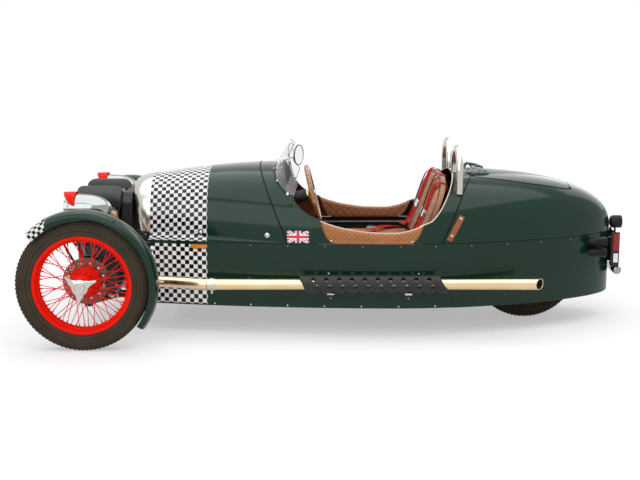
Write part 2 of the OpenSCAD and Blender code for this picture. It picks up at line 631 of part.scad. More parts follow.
module heat_shields() color("black") both_sides() difference() {
    union() {
        translate([0, shield_y, 0]) rotate([90, 0, 0]) linear_extrude(3)
            polygon([[x_c + 150, 207], [x_c + 190, 250], [x_c + 190, 357], [x_c - 575, 357], [x_c - 605, 320], [x_c - 560, 207]]);
        translate([x_c - 575, shield_y - 34, 354]) cube([765, 34, 3]);
        translate([x_c - 560, shield_y - 30, 207]) cube([710, 30, 3]);
        for (x = [x_c - 56, x_c - 420]) along_y(x, exhaust_y + pipe_r + 0.5, exhaust_z, shield_y - exhaust_y - pipe_r - 1, 11);
    }
    for (row = [0 : 2]) for (i = [0 : 9])
        along_y(x_c + 118 - i * 68 + (row == 1 ? -34 : 0), shield_y - 10, 332 - row * 35, 20, 11);
}

// Front suspension
ball_low = 230;
ball_high = 440;
module front_wishbones() color("dimgray") both_sides() {
    low_y = rail_y + rail_r + 15.6;
    high_y = top_rail_y + 14 + 12.6;
    for (d = [-100, 100]) {
        along_x(x_f + d - 20, low_y, rail_z, 40, 15);
        rod([x_f + d, low_y, rail_z], [x_f, kingpin_y, ball_low - 14], 12);
    }
    for (d = [-92, 92]) {
        along_x(x_f + d - 18, high_y, top_rail_z, 36, 12);
        rod([x_f + d, high_y, top_rail_z], [x_f, kingpin_y, ball_high + 14], 10);
    }
    translate([x_f, kingpin_y, ball_low - 30]) cylinder(h = 29.6, r = 22);
    translate([x_f, kingpin_y, ball_low - 10]) cylinder(h = 40, r = 9);
    translate([x_f, kingpin_y, ball_high + 0.4]) cylinder(h = 29, r = 20);
    translate([x_f, kingpin_y, ball_high - 30]) cylinder(h = 40, r = 9);
    along_x(x_f - 34, kingpin_y - 80, 208, 68, 8);
}
module front_dampers() color("goldenrod") both_sides() {
    foot = [x_f, kingpin_y - 84, 226];
    d = unit(tower - foot);
    rod(foot, foot + d * 190, 13);
    rod(foot + d * 150, tower - d * (tower_r + 0.4), 6);
    for (i = [0 : 6]) rod(foot + d * (110 + i * 34), foot + d * (126 + i * 34), 32);
    rod(foot + d * 100, tower - d * 30, 20);
}
module track_rod() color("dimgray") {
    along_y(rack_x, -kingpin_y + 23, rack_z, 2 * kingpin_y - 46, 9);
    for (s = [-1, 1]) translate([rack_x, s * kingpin_y, rack_z - 8]) difference() {
        cylinder(h = 16, r = 27);
        translate([0, 0, -1]) cylinder(h = 18, r = 18.5);
    }
}
disc_y = axle_y - 84;
hub_in = axle_y - 76;
hub_out = axle_y + 72;
module knuckle() color("dimgray") {
    difference() {
        union() {
            translate([x_f, kingpin_y, ball_low]) cylinder(h = ball_high - ball_low, r = 18);
            along_y(x_f, kingpin_y, front_r, disc_y - kingpin_y - 10, 34);
            along_y(x_f, kingpin_y, front_r, axle_y + 78 - kingpin_y, 18);
            rod([x_f, kingpin_y, 316], [rack_x, kingpin_y, rack_z + 34], 11);
            translate([rack_x, kingpin_y, rack_z - 9]) cylinder(h = 42, r = 6);
            along_x(x_f - 66, kingpin_y - 8, 392, 132, 9);
            // Caliper around the disc's rear edge
            translate([x_f - 150, disc_y - 22, front_r - 44]) cube([46, 39, 88]);
            rod([x_f - 112, disc_y - 13, front_r], [x_f, kingpin_y, front_r], 11);
        }
        translate([x_f, kingpin_y, ball_low - 1]) cylinder(h = 33, r = 9.05);
        translate([x_f, kingpin_y, ball_high - 32]) cylinder(h = 33, r = 9.05);
        translate([x_f, 0, front_r]) rotate([-90, 0, 0]) translate([0, 0, disc_y - 11]) difference() {
            cylinder(h = 22, r = 128);
            translate([0, 0, -1]) cylinder(h = 24, r = 60);
        }
    }
}
module brake_disc() color("silver") about_axle(x_f, 0, front_r)
    rotate_extrude() polygon([[30, hub_in - 0.4], [76, hub_in - 0.4], [76, disc_y + 5], [122, disc_y + 5], [122, disc_y - 5],
        [70, disc_y - 5], [70, hub_in - 5], [30, hub_in - 5]]);
rim_half = 37;
module wire_wheel() {
    rim_r = front_rim_d / 2;
    color("red") about_axle(x_f, axle_y, front_r) {
        difference() {
            union() {
                // Drop-centre rim
                rotate_extrude() polygon([[rim_r, -rim_half - 4], [rim_r, -rim_half], [rim_r - 16, -rim_half + 3], [rim_r - 18, -20],
                    [rim_r - 36, -13], [rim_r - 36, 13], [rim_r - 18, 20], [rim_r - 16, rim_half - 3], [rim_r, rim_half],
                    [rim_r, rim_half + 4], [rim_r - 20, rim_half + 1], [rim_r - 23, 22], [rim_r - 42, 16], [rim_r - 42, -16],
                    [rim_r - 23, -22], [rim_r - 20, -rim_half - 1]]);
                // Hub with two flanges
                rotate_extrude() polygon([[10, hub_in - axle_y], [78, hub_in - axle_y], [80, hub_in - axle_y + 12],
                    [46, hub_in - axle_y + 20], [40, 30], [46, 48], [58, 52], [58, 62], [34, 66], [34, hub_out - axle_y],
                    [10, hub_out - axle_y]]);
                for (k = [0 : spoke_count - 1]) let (
                    outer = k % 2 == 0, turn = floor(k / 2) % 2 == 0 ? 1 : -1,
                    a = 360 * k / spoke_count, b = a + turn * 27,
                    hr = outer ? 52 : 72, hy = (outer ? 57 : hub_in - axle_y + 6) + turn * 3,
                    ry = outer ? 8 : -8)
                    rod([hr * cos(b), hr * sin(b), hy], [(rim_r - 39) * cos(a), (rim_r - 39) * sin(a), ry], spoke_d / 2);
            }
            translate([0, 0, -100]) cylinder(h = 200, r = 18.06);
        }
    }
}
module tyre(r, w, rim_r, bead) {
    h = w / 2;
    rotate_extrude() polygon([[rim_r + 0.4, -bead], [rim_r + 6, -mix(bead, h, 0.6)], [mix(rim_r, r, 0.35), -h * 0.97], [mix(rim_r, r, 0.5), -h],
        [mix(rim_r, r, 0.66), -h * 0.97], [mix(rim_r, r, 0.84), -h * 0.84], [mix(rim_r, r, 0.93), -h * 0.66], [mix(rim_r, r, 0.98), -h * 0.4],
        [r, -h * 0.12], [r, h * 0.12],
        [mix(rim_r, r, 0.98), h * 0.4], [mix(rim_r, r, 0.93), h * 0.66], [mix(rim_r, r, 0.84), h * 0.84], [mix(rim_r, r, 0.66), h * 0.97],
        [mix(rim_r, r, 0.5), h], [mix(rim_r, r, 0.35), h * 0.97], [rim_r + 6, mix(bead, h, 0.6)], [rim_r + 0.4, bead]]);
}
module tyre_front() color("black") about_axle(x_f, axle_y, front_r) tyre(front_r, front_tyre_w, front_rim_d / 2, rim_half + 3);
module spinner() color("silver") about_axle(x_f, 0, front_r) translate([0, 0, hub_out + 0.4]) {
    rotate_extrude() polygon([[18.06, 0], [38, 0], [40, 8], [30, 26], [16, 32.6], [0, 32.6], [0, 7], [18.06, 7]]);
    for (a = [90, 210, 330]) rotate([0, 0, a]) translate([24, -13, 4]) cube([56, 26, 13]);
}
module mudguard() {
    r = front_r + mudguard_gap;
    h = mudguard_w / 2;
    color("darkgreen") {
        about_axle(x_f, axle_y, front_r) rotate([0, 0, -214]) rotate_extrude(angle = 167)
            polygon([[r - 2, -h], [r + 13, -h * 0.86], [r + 22, -h * 0.5], [r + 26, 0], [r + 22, h * 0.5], [r + 13, h * 0.86],
                [r - 2, h], [r - 3, h - 3], [r + 10, h * 0.82], [r + 18, h * 0.46], [r + 22, 0], [r + 18, -h * 0.46],
                [r + 10, -h * 0.82], [r - 3, -h + 3]]);
        for (a = [62, 118]) {
            e = (r + 6) * [cos(a), sin(a)];
            rod([x_f + (a < 90 ? 1 : -1) * 58, kingpin_y - 8, 404], [x_f + e[0], axle_y - h + 7, front_r + e[1]], 6);
        }
    }
}

// Rear wheel and its arm
module rear_suspension() color("dimgray") {
    pivot_x = x_c - 625 - 16 - 20.3;
    along_y(pivot_x, -pivot_half, rail_z, 2 * pivot_half, 20);
    for (s = [-1, 1]) {
        rod([pivot_x, s * arm_y, rail_z], [x_r, s * arm_y, rear_r], 17);
        along_y(x_r, s * arm_y - 20, rear_r, 40, 30);
        rod([x_r + 150, s * (arm_y + 12), 290], [x_c - 700, s * (arm_y + 36), 512], 26);
        rod([x_c - 745, s * (arm_y + 32), 488], [x_c - 688, s * (arm_y + 36), 524], 10);
    }
    along_y(x_r, -arm_y - 30, rear_r, 2 * arm_y + 60, 12);
}
module wheel_rear() {
    r = rear_rim_d / 2;
    h = rear_tyre_w * 0.4;
    color("dimgray") about_axle(x_r, 0, rear_r) difference() {
        union() {
            rotate_extrude() polygon([[r, -h - 4], [r, -h], [r - 16, -h + 4], [r - 20, -30], [r - 30, 0], [r - 20, 30], [r - 16, h - 4],
                [r, h], [r, h + 4], [r - 22, h + 1], [r - 28, 34], [r - 38, 4], [40, 16], [40, 84], [10, 84], [10, -84], [40, -84],
                [40, -16], [r - 38, -4], [r - 28, -34], [r - 22, -h - 1]]);
        }
        cylinder(h = 300, r = 12.06, center = true);
        for (i = [0 : 7]) rotate([0, 0, i * 45]) translate([108, 0, -60]) cylinder(h = 120, r = 28);
    }
}
module tyre_rear() color("black") about_axle(x_r, 0, rear_r) tyre(rear_r, rear_tyre_w, rear_rim_d / 2, rear_tyre_w * 0.4 + 3);

module flipped() mirror([0, 1, 0]) children();

chassis_frame();
floor_pan();
lower_side();  // lower_side_left
flipped() lower_side();  // lower_side_right
lower_tail();
nose_cowl();
nose_grille();
bonnet();
scuttle();
rear_deck();
tail_upper();
cockpit_pads();
seat_cushion();
seat_back();
dashboard();
steering_column();
roll_hoops();
aeroscreens();
mirror_head();  // mirror
crankcase();
cylinders();
rocker_covers();
air_box();
headlamps();
headlamp_lenses();
exhaust_headers();
exhaust_pipes();
heat_shields();
front_wishbones();
front_dampers();
rear_suspension();
boot_tray();
lid_hinge_pins();
tail_lamps();
plate_bracket();
side_markers();
track_rod();
steering_wheel();
boot_lid();
lid_hinge_leaves();
knuckle();  // knuckle_left
flipped() knuckle();  // knuckle_right
mudguard();  // mudguard_left
flipped() mudguard();  // mudguard_right
tyre_front();  // tyre_front_left
flipped() tyre_front();  // tyre_front_right
wire_wheel();  // wire_wheel_left
flipped() wire_wheel();  // wire_wheel_right
brake_disc();  // brake_disc_left
flipped() brake_disc();  // brake_disc_right
spinner();  // spinner_left
flipped() spinner();  // spinner_right
tyre_rear();
wheel_rear();
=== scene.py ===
"""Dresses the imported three-wheeled car: painted panels, wire wheels, V-twin, cockpit and lamps."""

from __future__ import annotations

import json
import logging
from dataclasses import dataclass
from enum import Enum
from math import asin, copysign, cos, exp, hypot, pi, radians, sin, sqrt, tan
from typing import Callable, Iterable, Sequence

import bmesh
import bpy
from mathutils import Matrix, Vector
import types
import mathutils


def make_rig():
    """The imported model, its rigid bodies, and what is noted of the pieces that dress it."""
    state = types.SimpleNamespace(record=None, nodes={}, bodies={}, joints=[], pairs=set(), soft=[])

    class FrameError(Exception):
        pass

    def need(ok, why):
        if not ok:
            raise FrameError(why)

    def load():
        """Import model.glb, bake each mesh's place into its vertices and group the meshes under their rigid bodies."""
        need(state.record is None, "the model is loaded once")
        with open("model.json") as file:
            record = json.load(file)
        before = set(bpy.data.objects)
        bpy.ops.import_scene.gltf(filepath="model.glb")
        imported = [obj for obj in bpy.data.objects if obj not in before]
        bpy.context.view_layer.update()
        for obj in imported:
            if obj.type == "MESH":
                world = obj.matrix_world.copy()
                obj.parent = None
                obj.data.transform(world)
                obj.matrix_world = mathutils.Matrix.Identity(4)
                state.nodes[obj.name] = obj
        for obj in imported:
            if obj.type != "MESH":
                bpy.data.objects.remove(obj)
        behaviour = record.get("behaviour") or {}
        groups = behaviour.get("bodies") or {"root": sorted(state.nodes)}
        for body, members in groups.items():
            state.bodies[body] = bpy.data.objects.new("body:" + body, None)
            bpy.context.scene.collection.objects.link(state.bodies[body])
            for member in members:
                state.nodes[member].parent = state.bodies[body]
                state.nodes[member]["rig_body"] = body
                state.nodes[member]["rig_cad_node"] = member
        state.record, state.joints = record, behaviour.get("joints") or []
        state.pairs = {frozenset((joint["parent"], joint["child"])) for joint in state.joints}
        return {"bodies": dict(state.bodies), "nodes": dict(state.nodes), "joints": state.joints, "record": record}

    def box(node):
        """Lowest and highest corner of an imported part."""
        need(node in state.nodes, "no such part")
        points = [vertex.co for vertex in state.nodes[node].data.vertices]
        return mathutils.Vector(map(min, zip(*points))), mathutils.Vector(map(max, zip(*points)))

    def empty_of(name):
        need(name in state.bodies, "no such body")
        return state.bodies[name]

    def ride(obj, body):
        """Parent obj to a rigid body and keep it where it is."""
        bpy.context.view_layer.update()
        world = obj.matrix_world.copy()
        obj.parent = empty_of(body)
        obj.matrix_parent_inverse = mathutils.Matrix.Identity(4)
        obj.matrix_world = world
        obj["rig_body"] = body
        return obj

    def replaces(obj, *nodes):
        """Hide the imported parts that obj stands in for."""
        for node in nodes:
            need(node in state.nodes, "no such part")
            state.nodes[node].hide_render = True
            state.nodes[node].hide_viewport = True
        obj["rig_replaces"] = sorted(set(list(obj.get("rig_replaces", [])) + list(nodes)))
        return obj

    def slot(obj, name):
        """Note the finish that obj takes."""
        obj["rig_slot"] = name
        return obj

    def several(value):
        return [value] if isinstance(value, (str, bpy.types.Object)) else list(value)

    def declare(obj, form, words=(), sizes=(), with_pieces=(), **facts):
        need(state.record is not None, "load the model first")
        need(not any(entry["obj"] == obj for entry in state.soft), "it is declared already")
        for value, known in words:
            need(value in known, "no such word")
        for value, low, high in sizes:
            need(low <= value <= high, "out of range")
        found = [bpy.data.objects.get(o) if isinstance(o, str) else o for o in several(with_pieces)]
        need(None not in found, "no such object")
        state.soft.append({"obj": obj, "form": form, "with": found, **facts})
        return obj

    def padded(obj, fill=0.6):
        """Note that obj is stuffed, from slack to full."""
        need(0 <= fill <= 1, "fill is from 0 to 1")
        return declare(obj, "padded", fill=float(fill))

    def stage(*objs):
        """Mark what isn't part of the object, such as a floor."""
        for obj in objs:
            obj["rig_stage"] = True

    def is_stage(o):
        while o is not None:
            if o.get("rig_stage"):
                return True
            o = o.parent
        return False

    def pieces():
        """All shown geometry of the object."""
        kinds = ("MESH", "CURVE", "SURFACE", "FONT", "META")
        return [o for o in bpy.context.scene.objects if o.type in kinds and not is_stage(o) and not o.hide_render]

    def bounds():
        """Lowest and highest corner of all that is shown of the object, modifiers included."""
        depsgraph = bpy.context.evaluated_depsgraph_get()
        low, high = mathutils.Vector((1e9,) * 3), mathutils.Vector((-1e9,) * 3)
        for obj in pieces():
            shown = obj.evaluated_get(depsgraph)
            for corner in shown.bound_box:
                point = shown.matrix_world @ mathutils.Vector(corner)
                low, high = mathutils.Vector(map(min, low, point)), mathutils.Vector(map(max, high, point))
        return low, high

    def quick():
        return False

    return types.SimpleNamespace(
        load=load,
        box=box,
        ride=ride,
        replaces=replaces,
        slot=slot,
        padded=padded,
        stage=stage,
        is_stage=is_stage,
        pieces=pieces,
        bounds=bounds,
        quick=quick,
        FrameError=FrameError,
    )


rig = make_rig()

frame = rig.load()
log = logging.getLogger("car")
Point = tuple[float, float, float]
Pair = tuple[float, float]
Spot = tuple[Sequence[float], Sequence[float]]
Colour = tuple[float, float, float]
Spline = float | Vector
SIZE_FILE = "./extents.json"
ORIGIN: Point = (0, 0, 0)
AHEAD: Point = (1, 0, 0)
ASTERN: Point = (-1, 0, 0)
LEFTWARD: Point = (0, 1, 0)
UP: Point = (0, 0, 1)


class Body(str, Enum):
    """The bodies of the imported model."""

    CHASSIS = "chassis"
    KNUCKLE_LEFT = "knuckle_left"
    KNUCKLE_RIGHT = "knuckle_right"
    WHEEL_LEFT = "wheel_front_left"
    WHEEL_RIGHT = "wheel_front_right"
    REAR_WHEEL = "rear_wheel"
    STEERING = "steering_wheel"
    LID = "boot_lid"


class Slot(str, Enum):
    """The record's material slots."""

    GREEN = "green_paint"
    FRAME = "black_frame"
    POLISHED = "polished_metal"
    PLASTIC = "black_plastic"
    LEATHER = "tan_leather"
    WOOD = "dash_wood"
    CLEAR = "clear_screen"
    ALLOY = "engine_alloy"
    ENGINE = "engine_black"
    EXHAUST = "exhaust_steel"
    SHIELD = "shield_black"
    AMBER = "amber_lens"
    TYRE = "tyre_rubber"
    RED = "red_paint"
    DISC = "disc_steel"


class Crease(float, Enum):
    """The angle in degrees above which an edge stays sharp, by the kind of piece."""

    TURNED = 40.0
    CAST = 30.0
    MOULDED = 32.0
    EARED = 28.0
    PANEL = 50.0
    SHEET = 60.0
    PAD = 70.0


class Side(Enum):
    """The car's two sides, as the sign of Y."""

    LEFT = 1
    RIGHT = -1

    @property
    def word(self) -> str:
        """The side's name in lower case."""
        return self.name.lower()


def mix(a: float, b: float, t: float) -> float:
    """A value between a and b."""
    return a + (b - a) * t


def clamp01(t: float) -> float:
    """t held between 0 and 1."""
    return min(1.0, max(0.0, t))


def circle(count: int) -> list[Pair]:
    """Cosine and sine of even steps round a turn."""
    return [(cos(2 * pi * k / count), sin(2 * pi * k / count)) for k in range(count)]


def spline(a: Spline, b: Spline, c: Spline, d: Spline, u: float) -> Spline:
    """A value u of the way from b to c on a smooth curve through a, b, c and d."""
    return 0.5 * (2 * b + (c - a) * u + (2 * a - 5 * b + 4 * c - d) * u * u + (3 * b - a - 3 * c + d)
                  * u ** 3)


def smooth_table(rows: Sequence[Pair], t: float) -> float:
    """Reads a table of (t, value) rows with a curve that has no kinks.

    Args:
        rows: the table, with t rising.
        t: where to read it.

    Returns:
        The value at t, held at the table's ends.
    """
    if t <= rows[0][0]:
        return rows[0][1]
    if t >= rows[-1][0]:
        return rows[-1][1]
    i = max(k for k in range(len(rows) - 1) if rows[k][0] <= t)

    def slope(k: int) -> float:
        """Slope of the curve at row k, flat where the table turns.

        Args:
            k: number of the row.

        Returns:
            The slope.
        """
        if k in (0, len(rows) - 1):
            j = min(k, len(rows) - 2)
            return (rows[j + 1][1] - rows[j][1]) / (rows[j + 1][0] - rows[j][0])
        before = (rows[k][1] - rows[k - 1][1]) / (rows[k][0] - rows[k - 1][0])
        after = (rows[k + 1][1] - rows[k][1]) / (rows[k + 1][0] - rows[k][0])
        return 0.0 if before * after <= 0 else 2 * before * after / (before + after)

    (t0, a), (t1, b) = rows[i], rows[i + 1]
    h = t1 - t0
    u = (t - t0) / h
    return ((1 + 2 * u) * (1 - u) ** 2 * a + u * (1 - u) ** 2 * h * slope(i)
            + u * u * (3 - 2 * u) * b + u * u * (u - 1) * h * slope(i + 1))


class Socket:
    """A shader value that takes part in Python expressions."""

    def __init__(self, shader: "Shader", link: bpy.types.NodeSocket) -> None:
        """Wraps an output socket of a shader's tree."""
        self.shader = shader
        self.link = link

    def _math(self, operation: str, a: object, b: object = None) -> "Socket":
        """Adds a Math node on one or two values."""
        values = {0: a} if b is None else {0: a, 1: b}
        return self.shader.node("ShaderNodeMath", {"operation": operation}, values)

    def __add__(self, other: object) -> "Socket":
        """self + other."""
        return self._math("ADD", self, other)

    def __sub__(self, other: object) -> "Socket":
        """self - other."""
        return self._math("SUBTRACT", self, other)

    def __rsub__(self, other: object) -> "Socket":
        """other - self."""
        return self._math("SUBTRACT", other, self)

    def __mul__(self, other: object) -> "Socket":
        """self * other."""
        return self._math("MULTIPLY", self, other)

    def __gt__(self, other: object) -> "Socket":
        """1 where self is above other."""
        return self._math("GREATER_THAN", self, other)

    def __lt__(self, other: object) -> "Socket":
        """1 where self is below other."""
        return self._math("LESS_THAN", self, other)

    def __abs__(self) -> "Socket":
        """The value without its sign."""
        return self._math("ABSOLUTE", self)

    def folded(self, period: float) -> "Socket":
        """A zigzag of the value between 0 and period."""
        return self._math("PINGPONG", self, period)


class Shader:
    """A material with one Principled shader, written as expressions."""

    def __init__(self, name: str) -> None:
        """Makes the material with an empty tree around its shader.

        Args:
            name: the material's name.
        """
        self.material = bpy.data.materials.new(name)
        self.material.use_nodes = True
        self.tree = self.material.node_tree
        self.tree.nodes.clear()
        self.bsdf = self.tree.nodes.new("ShaderNodeBsdfPrincipled")
        output = self.tree.nodes.new("ShaderNodeOutputMaterial")
        self.tree.links.new(self.bsdf.outputs[0], output.inputs[0])

    def fill(self, target: bpy.types.NodeSocket, value: object) -> None:
        """Sets a socket to a number, colour or vector, or links a value to it.

        Args:
            target: the socket.
            value: what it gets.
        """
        if isinstance(value, Socket):
            self.tree.links.new(value.link, target)
        elif isinstance(value, tuple) and target.type == "RGBA":
            target.default_value = (*value, 1.0)
        else:
            target.default_value = value

    def node(self, kind: str, settings: dict[str, object] | None = None,
             values: dict[object, object] | None = None, out: object = 0) -> Socket:
        """Adds any node.

        Args:
            kind: the node's type.
            settings: the node's own settings, set first; "stops" fills a colour ramp.
            values: numbers, colours or values for its sockets, by name or number.
            out: the output socket that is wanted.

        Returns:
            The chosen output.
        """
        made = self.tree.nodes.new(kind)
        for key, value in (settings or {}).items():
            if key == "stops":
                ramp = made.color_ramp
                while len(ramp.elements) < len(value):
                    ramp.elements.new(0.5)
                for element, (where, colour) in zip(ramp.elements, value):
                    element.position = where
                    element.color = (*colour, 1.0)
            else:
                setattr(made, key, value)
        for key, value in (values or {}).items():
            self.fill(made.inputs[key], value)
        return Socket(self, made.outputs[out])

    def set(self, **values: object) -> "Shader":
        """Sets the Principled shader's sockets, with _ for a space in their names.

        Args:
            values: a value for each socket that is named.

        Returns:
            This shader.
        """
        for key, value in values.items():
            self.fill(self.bsdf.inputs[key.replace("_", " ")], value)
        return self

    def place(self) -> Socket:
        """Object coordinates."""
        return self.node("ShaderNodeTexCoord", out="Object")

    def flat(self) -> Socket:
        """The piece's own UV map."""
        return self.node("ShaderNodeTexCoord", out="UV")

    def split(self, vector: Socket) -> tuple[Socket, Socket, Socket]:
        """The three parts of a vector."""
        made = self.node("ShaderNodeSeparateXYZ", values={0: vector})
        return tuple(Socket(self, o) for o in made.link.node.outputs)

    def stretched(self, vector: Socket, scale: Point) -> Socket:
        """A vector scaled on each axis."""
        return self.node("ShaderNodeMapping", values={"Vector": vector, "Scale": scale})

    def noise(self, vector: Socket, scale: float, detail: float = 3.0) -> Socket:
        """Noise from 0 to 1."""
        return self.node("ShaderNodeTexNoise", values={"Vector": vector, "Scale": scale, "Detail": detail})

    def blend(self, share: object, a: object, b: object) -> Socket:
        """A colour between a and b."""
        return self.node("ShaderNodeMix", {"data_type": "RGBA"}, {0: share, 6: a, 7: b}, out=2)

    def bump(self, height: Socket, strength: float, distance: float) -> Socket:
        """A normal from a height."""
        return self.node("ShaderNodeBump", values={"Height": height, "Strength": strength,
                                                   "Distance": distance})


def tinted(colour: Colour, share: float) -> Colour:
    """A colour made darker or lighter."""
    return tuple(c * share for c in colour)


@dataclass(frozen=True)
class Finish:
    """A finish with a name; its material is made once."""

    name: str

    def material(self) -> bpy.types.Material:
        """The finish's material.

        Returns:
            The material, the same one each time.
        """
        found = bpy.data.materials.get(self.name)
        if found:
            return found
        shader = Shader(self.name)
        self.dress(shader)
        return shader.material

    def dress(self, shader: Shader) -> None:
        """Fills the shader; each finish has its own."""
        raise NotImplementedError


@dataclass(frozen=True)
class Paint(Finish):
    """Coach paint under clear lacquer, with a little orange peel and dust.

    Squares of check cover object x above check_from and z between the check_z pair; they
    follow the piece's own UV map, which is in metres.
    """

    colour: Colour = (0.0042, 0.0235, 0.0145)
    check_from: float | None = None
    check_z: Pair = (-1.0, 9.0)
    square: float = 0.0235
    white: float = 0.66
    rough: float = 0.09
    gloss: float = 0.24
    shade: float = 0.8
    light: float = 1.25
    black: Colour = (0.004, 0.005, 0.005)

    def dress(self, shader: Shader) -> None:
        """Lacquered paint, with check where it is asked for.

        Args:
            shader: the shader that is filled.
        """
        place = shader.place()
        dust = shader.noise(place, 5.0)
        colour = shader.blend(dust, tinted(self.colour, self.shade), tinted(self.colour, self.light))
        if self.check_from is not None:
            u, v, _ = shader.split(shader.flat())
            odd = shader.node("ShaderNodeTexChecker", values={
                "Vector": shader.node("ShaderNodeCombineXYZ", values={0: u, 1: v, 2: 0.01}),
                "Color1": (self.white,) * 3, "Color2": self.black, "Scale": 1.0 / self.square})
            x, _, z = shader.split(place)
            inside = (x > self.check_from) * (z > self.check_z[0]) * (z < self.check_z[1])
            colour = shader.blend(inside, colour, odd)
        peel = shader.noise(place, 260.0, 1.0)
        shader.set(Base_Color=colour, Roughness=dust * 0.05 + self.rough, Specular_IOR_Level=self.gloss,
                   Normal=shader.bump(peel, 0.03, 0.0006))


@dataclass(frozen=True)
class Metal(Finish):
    """Bare or plated metal with fine scratches along one axis."""

    colour: Colour = (0.78, 0.78, 0.77)
    rough: float = 0.08
    grain: Point = (40.0, 40.0, 40.0)
    wear: float = 0.06
    stain: Colour | None = None
    tarnish: float = 0.86

    def dress(self, shader: Shader) -> None:
        """Metal whose roughness and tone change a little along its grain.

        Args:
            shader: the shader that is filled.
        """
        place = shader.place()
        lines = shader.noise(shader.stretched(place, self.grain), 1.0, 4.0)
        cloud = shader.noise(place, 6.0)
        end = self.stain or tinted(self.colour, self.tarnish)
        shader.set(Base_Color=shader.blend(cloud, self.colour, end), Metallic=1.0,
                   Roughness=lines * self.wear + cloud * (self.wear * 0.6) + self.rough,
                   Normal=shader.bump(lines, 0.04, 0.0004))


@dataclass(frozen=True)
class Coating(Finish):
    """Moulded plastic, powder coat, cast metal or another even skin with a fine texture."""

    colour: Colour = (0.012, 0.012, 0.013)
    rough: float = 0.45
    texture: float = 700.0
    depth: float = 0.12
    metal: float = 0.0
    gloss: float = 0.28

    def dress(self, shader: Shader) -> None:
        """A speckled skin with dusty patches.

        Args:
            shader: the shader that is filled.
        """
        place = shader.place()
        fine = shader.noise(place, self.texture, 2.0)
        dust = shader.noise(place, 9.0)
        light = tuple(min(1.0, c * 1.5 + 0.004) for c in self.colour)
        shader.set(Base_Color=shader.blend(dust, self.colour, light), Metallic=self.metal,
                   Roughness=dust * 0.14 + self.rough, Specular_IOR_Level=self.gloss,
                   Normal=shader.bump(fine, self.depth, 0.0006))


@dataclass(frozen=True)
class Rubber(Finish):
    """Tyre rubber, browner and duller where it is scuffed."""

    colour: Colour = (0.029, 0.0225, 0.0155)
    dusty: Colour = (0.062, 0.049, 0.035)

    def dress(self, shader: Shader) -> None:
        """Dusty rubber with a fine skin.

        Args:
            shader: the shader that is filled.
        """
        place = shader.place()
        dust = shader.noise(place, 11.0, 5.0)
        skin = shader.noise(place, 420.0, 2.0)
        shader.set(Base_Color=shader.blend(dust, self.colour, self.dusty), Specular_IOR_Level=0.05,
                   Roughness=dust * 0.2 + 0.55, Normal=shader.bump(skin, 0.3, 0.0008))


@dataclass(frozen=True)
class Leather(Finish):
    """Upholstery leather with a pebbled grain.

    quilt is the size of stitched diamonds; inside object |y| of inner the leather is darkened as painted shade
    on the pads' inner faces, and its diamonds are wide times as large.
    """

    colour: Colour = (0.34, 0.135, 0.035)
    dark: Colour = (0.2, 0.07, 0.018)
    quilt: float = 0.0
    inner: float = 0.0
    wide: float = 1.8
    # Share of dark used for the painted shade on the inner faces.
    worn: float = 0.78
    thread: float = 0.86
    stitch: Colour = (0.09, 0.03, 0.01)
    rough: float = 0.42

    def dress(self, shader: Shader) -> None:
        """Grain, tone, painted shade inside, and the diamonds' stitched lines where they are asked for.

        Args:
            shader: the shader that is filled.
        """
        place = shader.place()
        tone = shader.noise(place, 14.0, 4.0)
        grain = shader.node("ShaderNodeTexVoronoi", {"feature": "DISTANCE_TO_EDGE"},
                            {"Vector": place, "Scale": 420.0})
        height = grain * 0.5
        colour = shader.blend(tone, self.colour, self.dark)
        if self.inner:
            _, y, _ = shader.split(place)
            # Painted shade: the inner faces, within |y| of inner, go darker.
            colour = shader.blend((self.inner - abs(y)) * 90.0, colour, tinted(self.dark, self.worn))
        if self.quilt:
            u, v, _ = shader.split(shader.flat())

            def lines(size: float) -> Socket:
                """The stitched lines of diamonds of one size.

                Args:
                    size: half a diamond's width in metres.

                Returns:
                    A value above 0 on the lines and 0 off them.
                """
                one = (u + v).folded(size) * (1.0 / size)
                two = (u - v + 9.0 * size).folded(size) * (1.0 / size)
                return (one > self.thread) + (two > self.thread)

            line = lines(self.quilt)
            if self.inner:
                within = abs(y) < self.inner
                line = line * (1.0 - within) + lines(self.quilt * self.wide) * within
            colour = shader.blend(line * 0.6, colour, self.stitch)
        shader.set(Base_Color=colour, Roughness=tone * 0.16 + self.rough, Specular_IOR_Level=0.32,
                   Normal=shader.bump(height, 0.22, 0.0008))


@dataclass(frozen=True)
class Timber(Finish):
    """Varnished wood with long grain."""

    colour: Colour = (0.34, 0.13, 0.035)
    dark: Colour = (0.13, 0.04, 0.012)
    grain: Point = (3.0, 30.0, 30.0)

    def dress(self, shader: Shader) -> None:
        """Grain lines under varnish.

        Args:
            shader: the shader that is filled.
        """
        place = shader.stretched(shader.place(), self.grain)
        lines = shader.noise(place, 2.2, 6.0)
        ring = shader.node("ShaderNodeValToRGB", {"stops": [(0.35, self.dark), (0.62, self.colour)]},
                           {0: lines})
        shader.set(Base_Color=ring, Roughness=lines * 0.12 + 0.22, Coat_Weight=0.7,
                   Normal=shader.bump(lines, 0.08, 0.0006))


@dataclass(frozen=True)
class Weave(Finish):
    """Webbing or carpet: a fine basket of threads."""

    colour: Colour = (0.42, 0.006, 0.006)
    pitch: float = 900.0
    rough: float = 0.7
    shade: float = 0.5

    def dress(self, shader: Shader) -> None:
        """Threads as a rib pattern with fuzz.

        Args:
            shader: the shader that is filled.
        """
        place = shader.place()
        x, y, z = shader.split(place)
        rib = ((x + z) * self.pitch).folded(1.0) + ((y - z) * self.pitch).folded(1.0)
        fuzz = shader.noise(place, 160.0, 3.0)
        shader.set(Base_Color=shader.blend(fuzz, self.colour, tinted(self.colour, self.shade)),
                   Roughness=fuzz * 0.15 + self.rough, Specular_IOR_Level=0.12,
                   Normal=shader.bump(rib, 0.35, 0.0006))


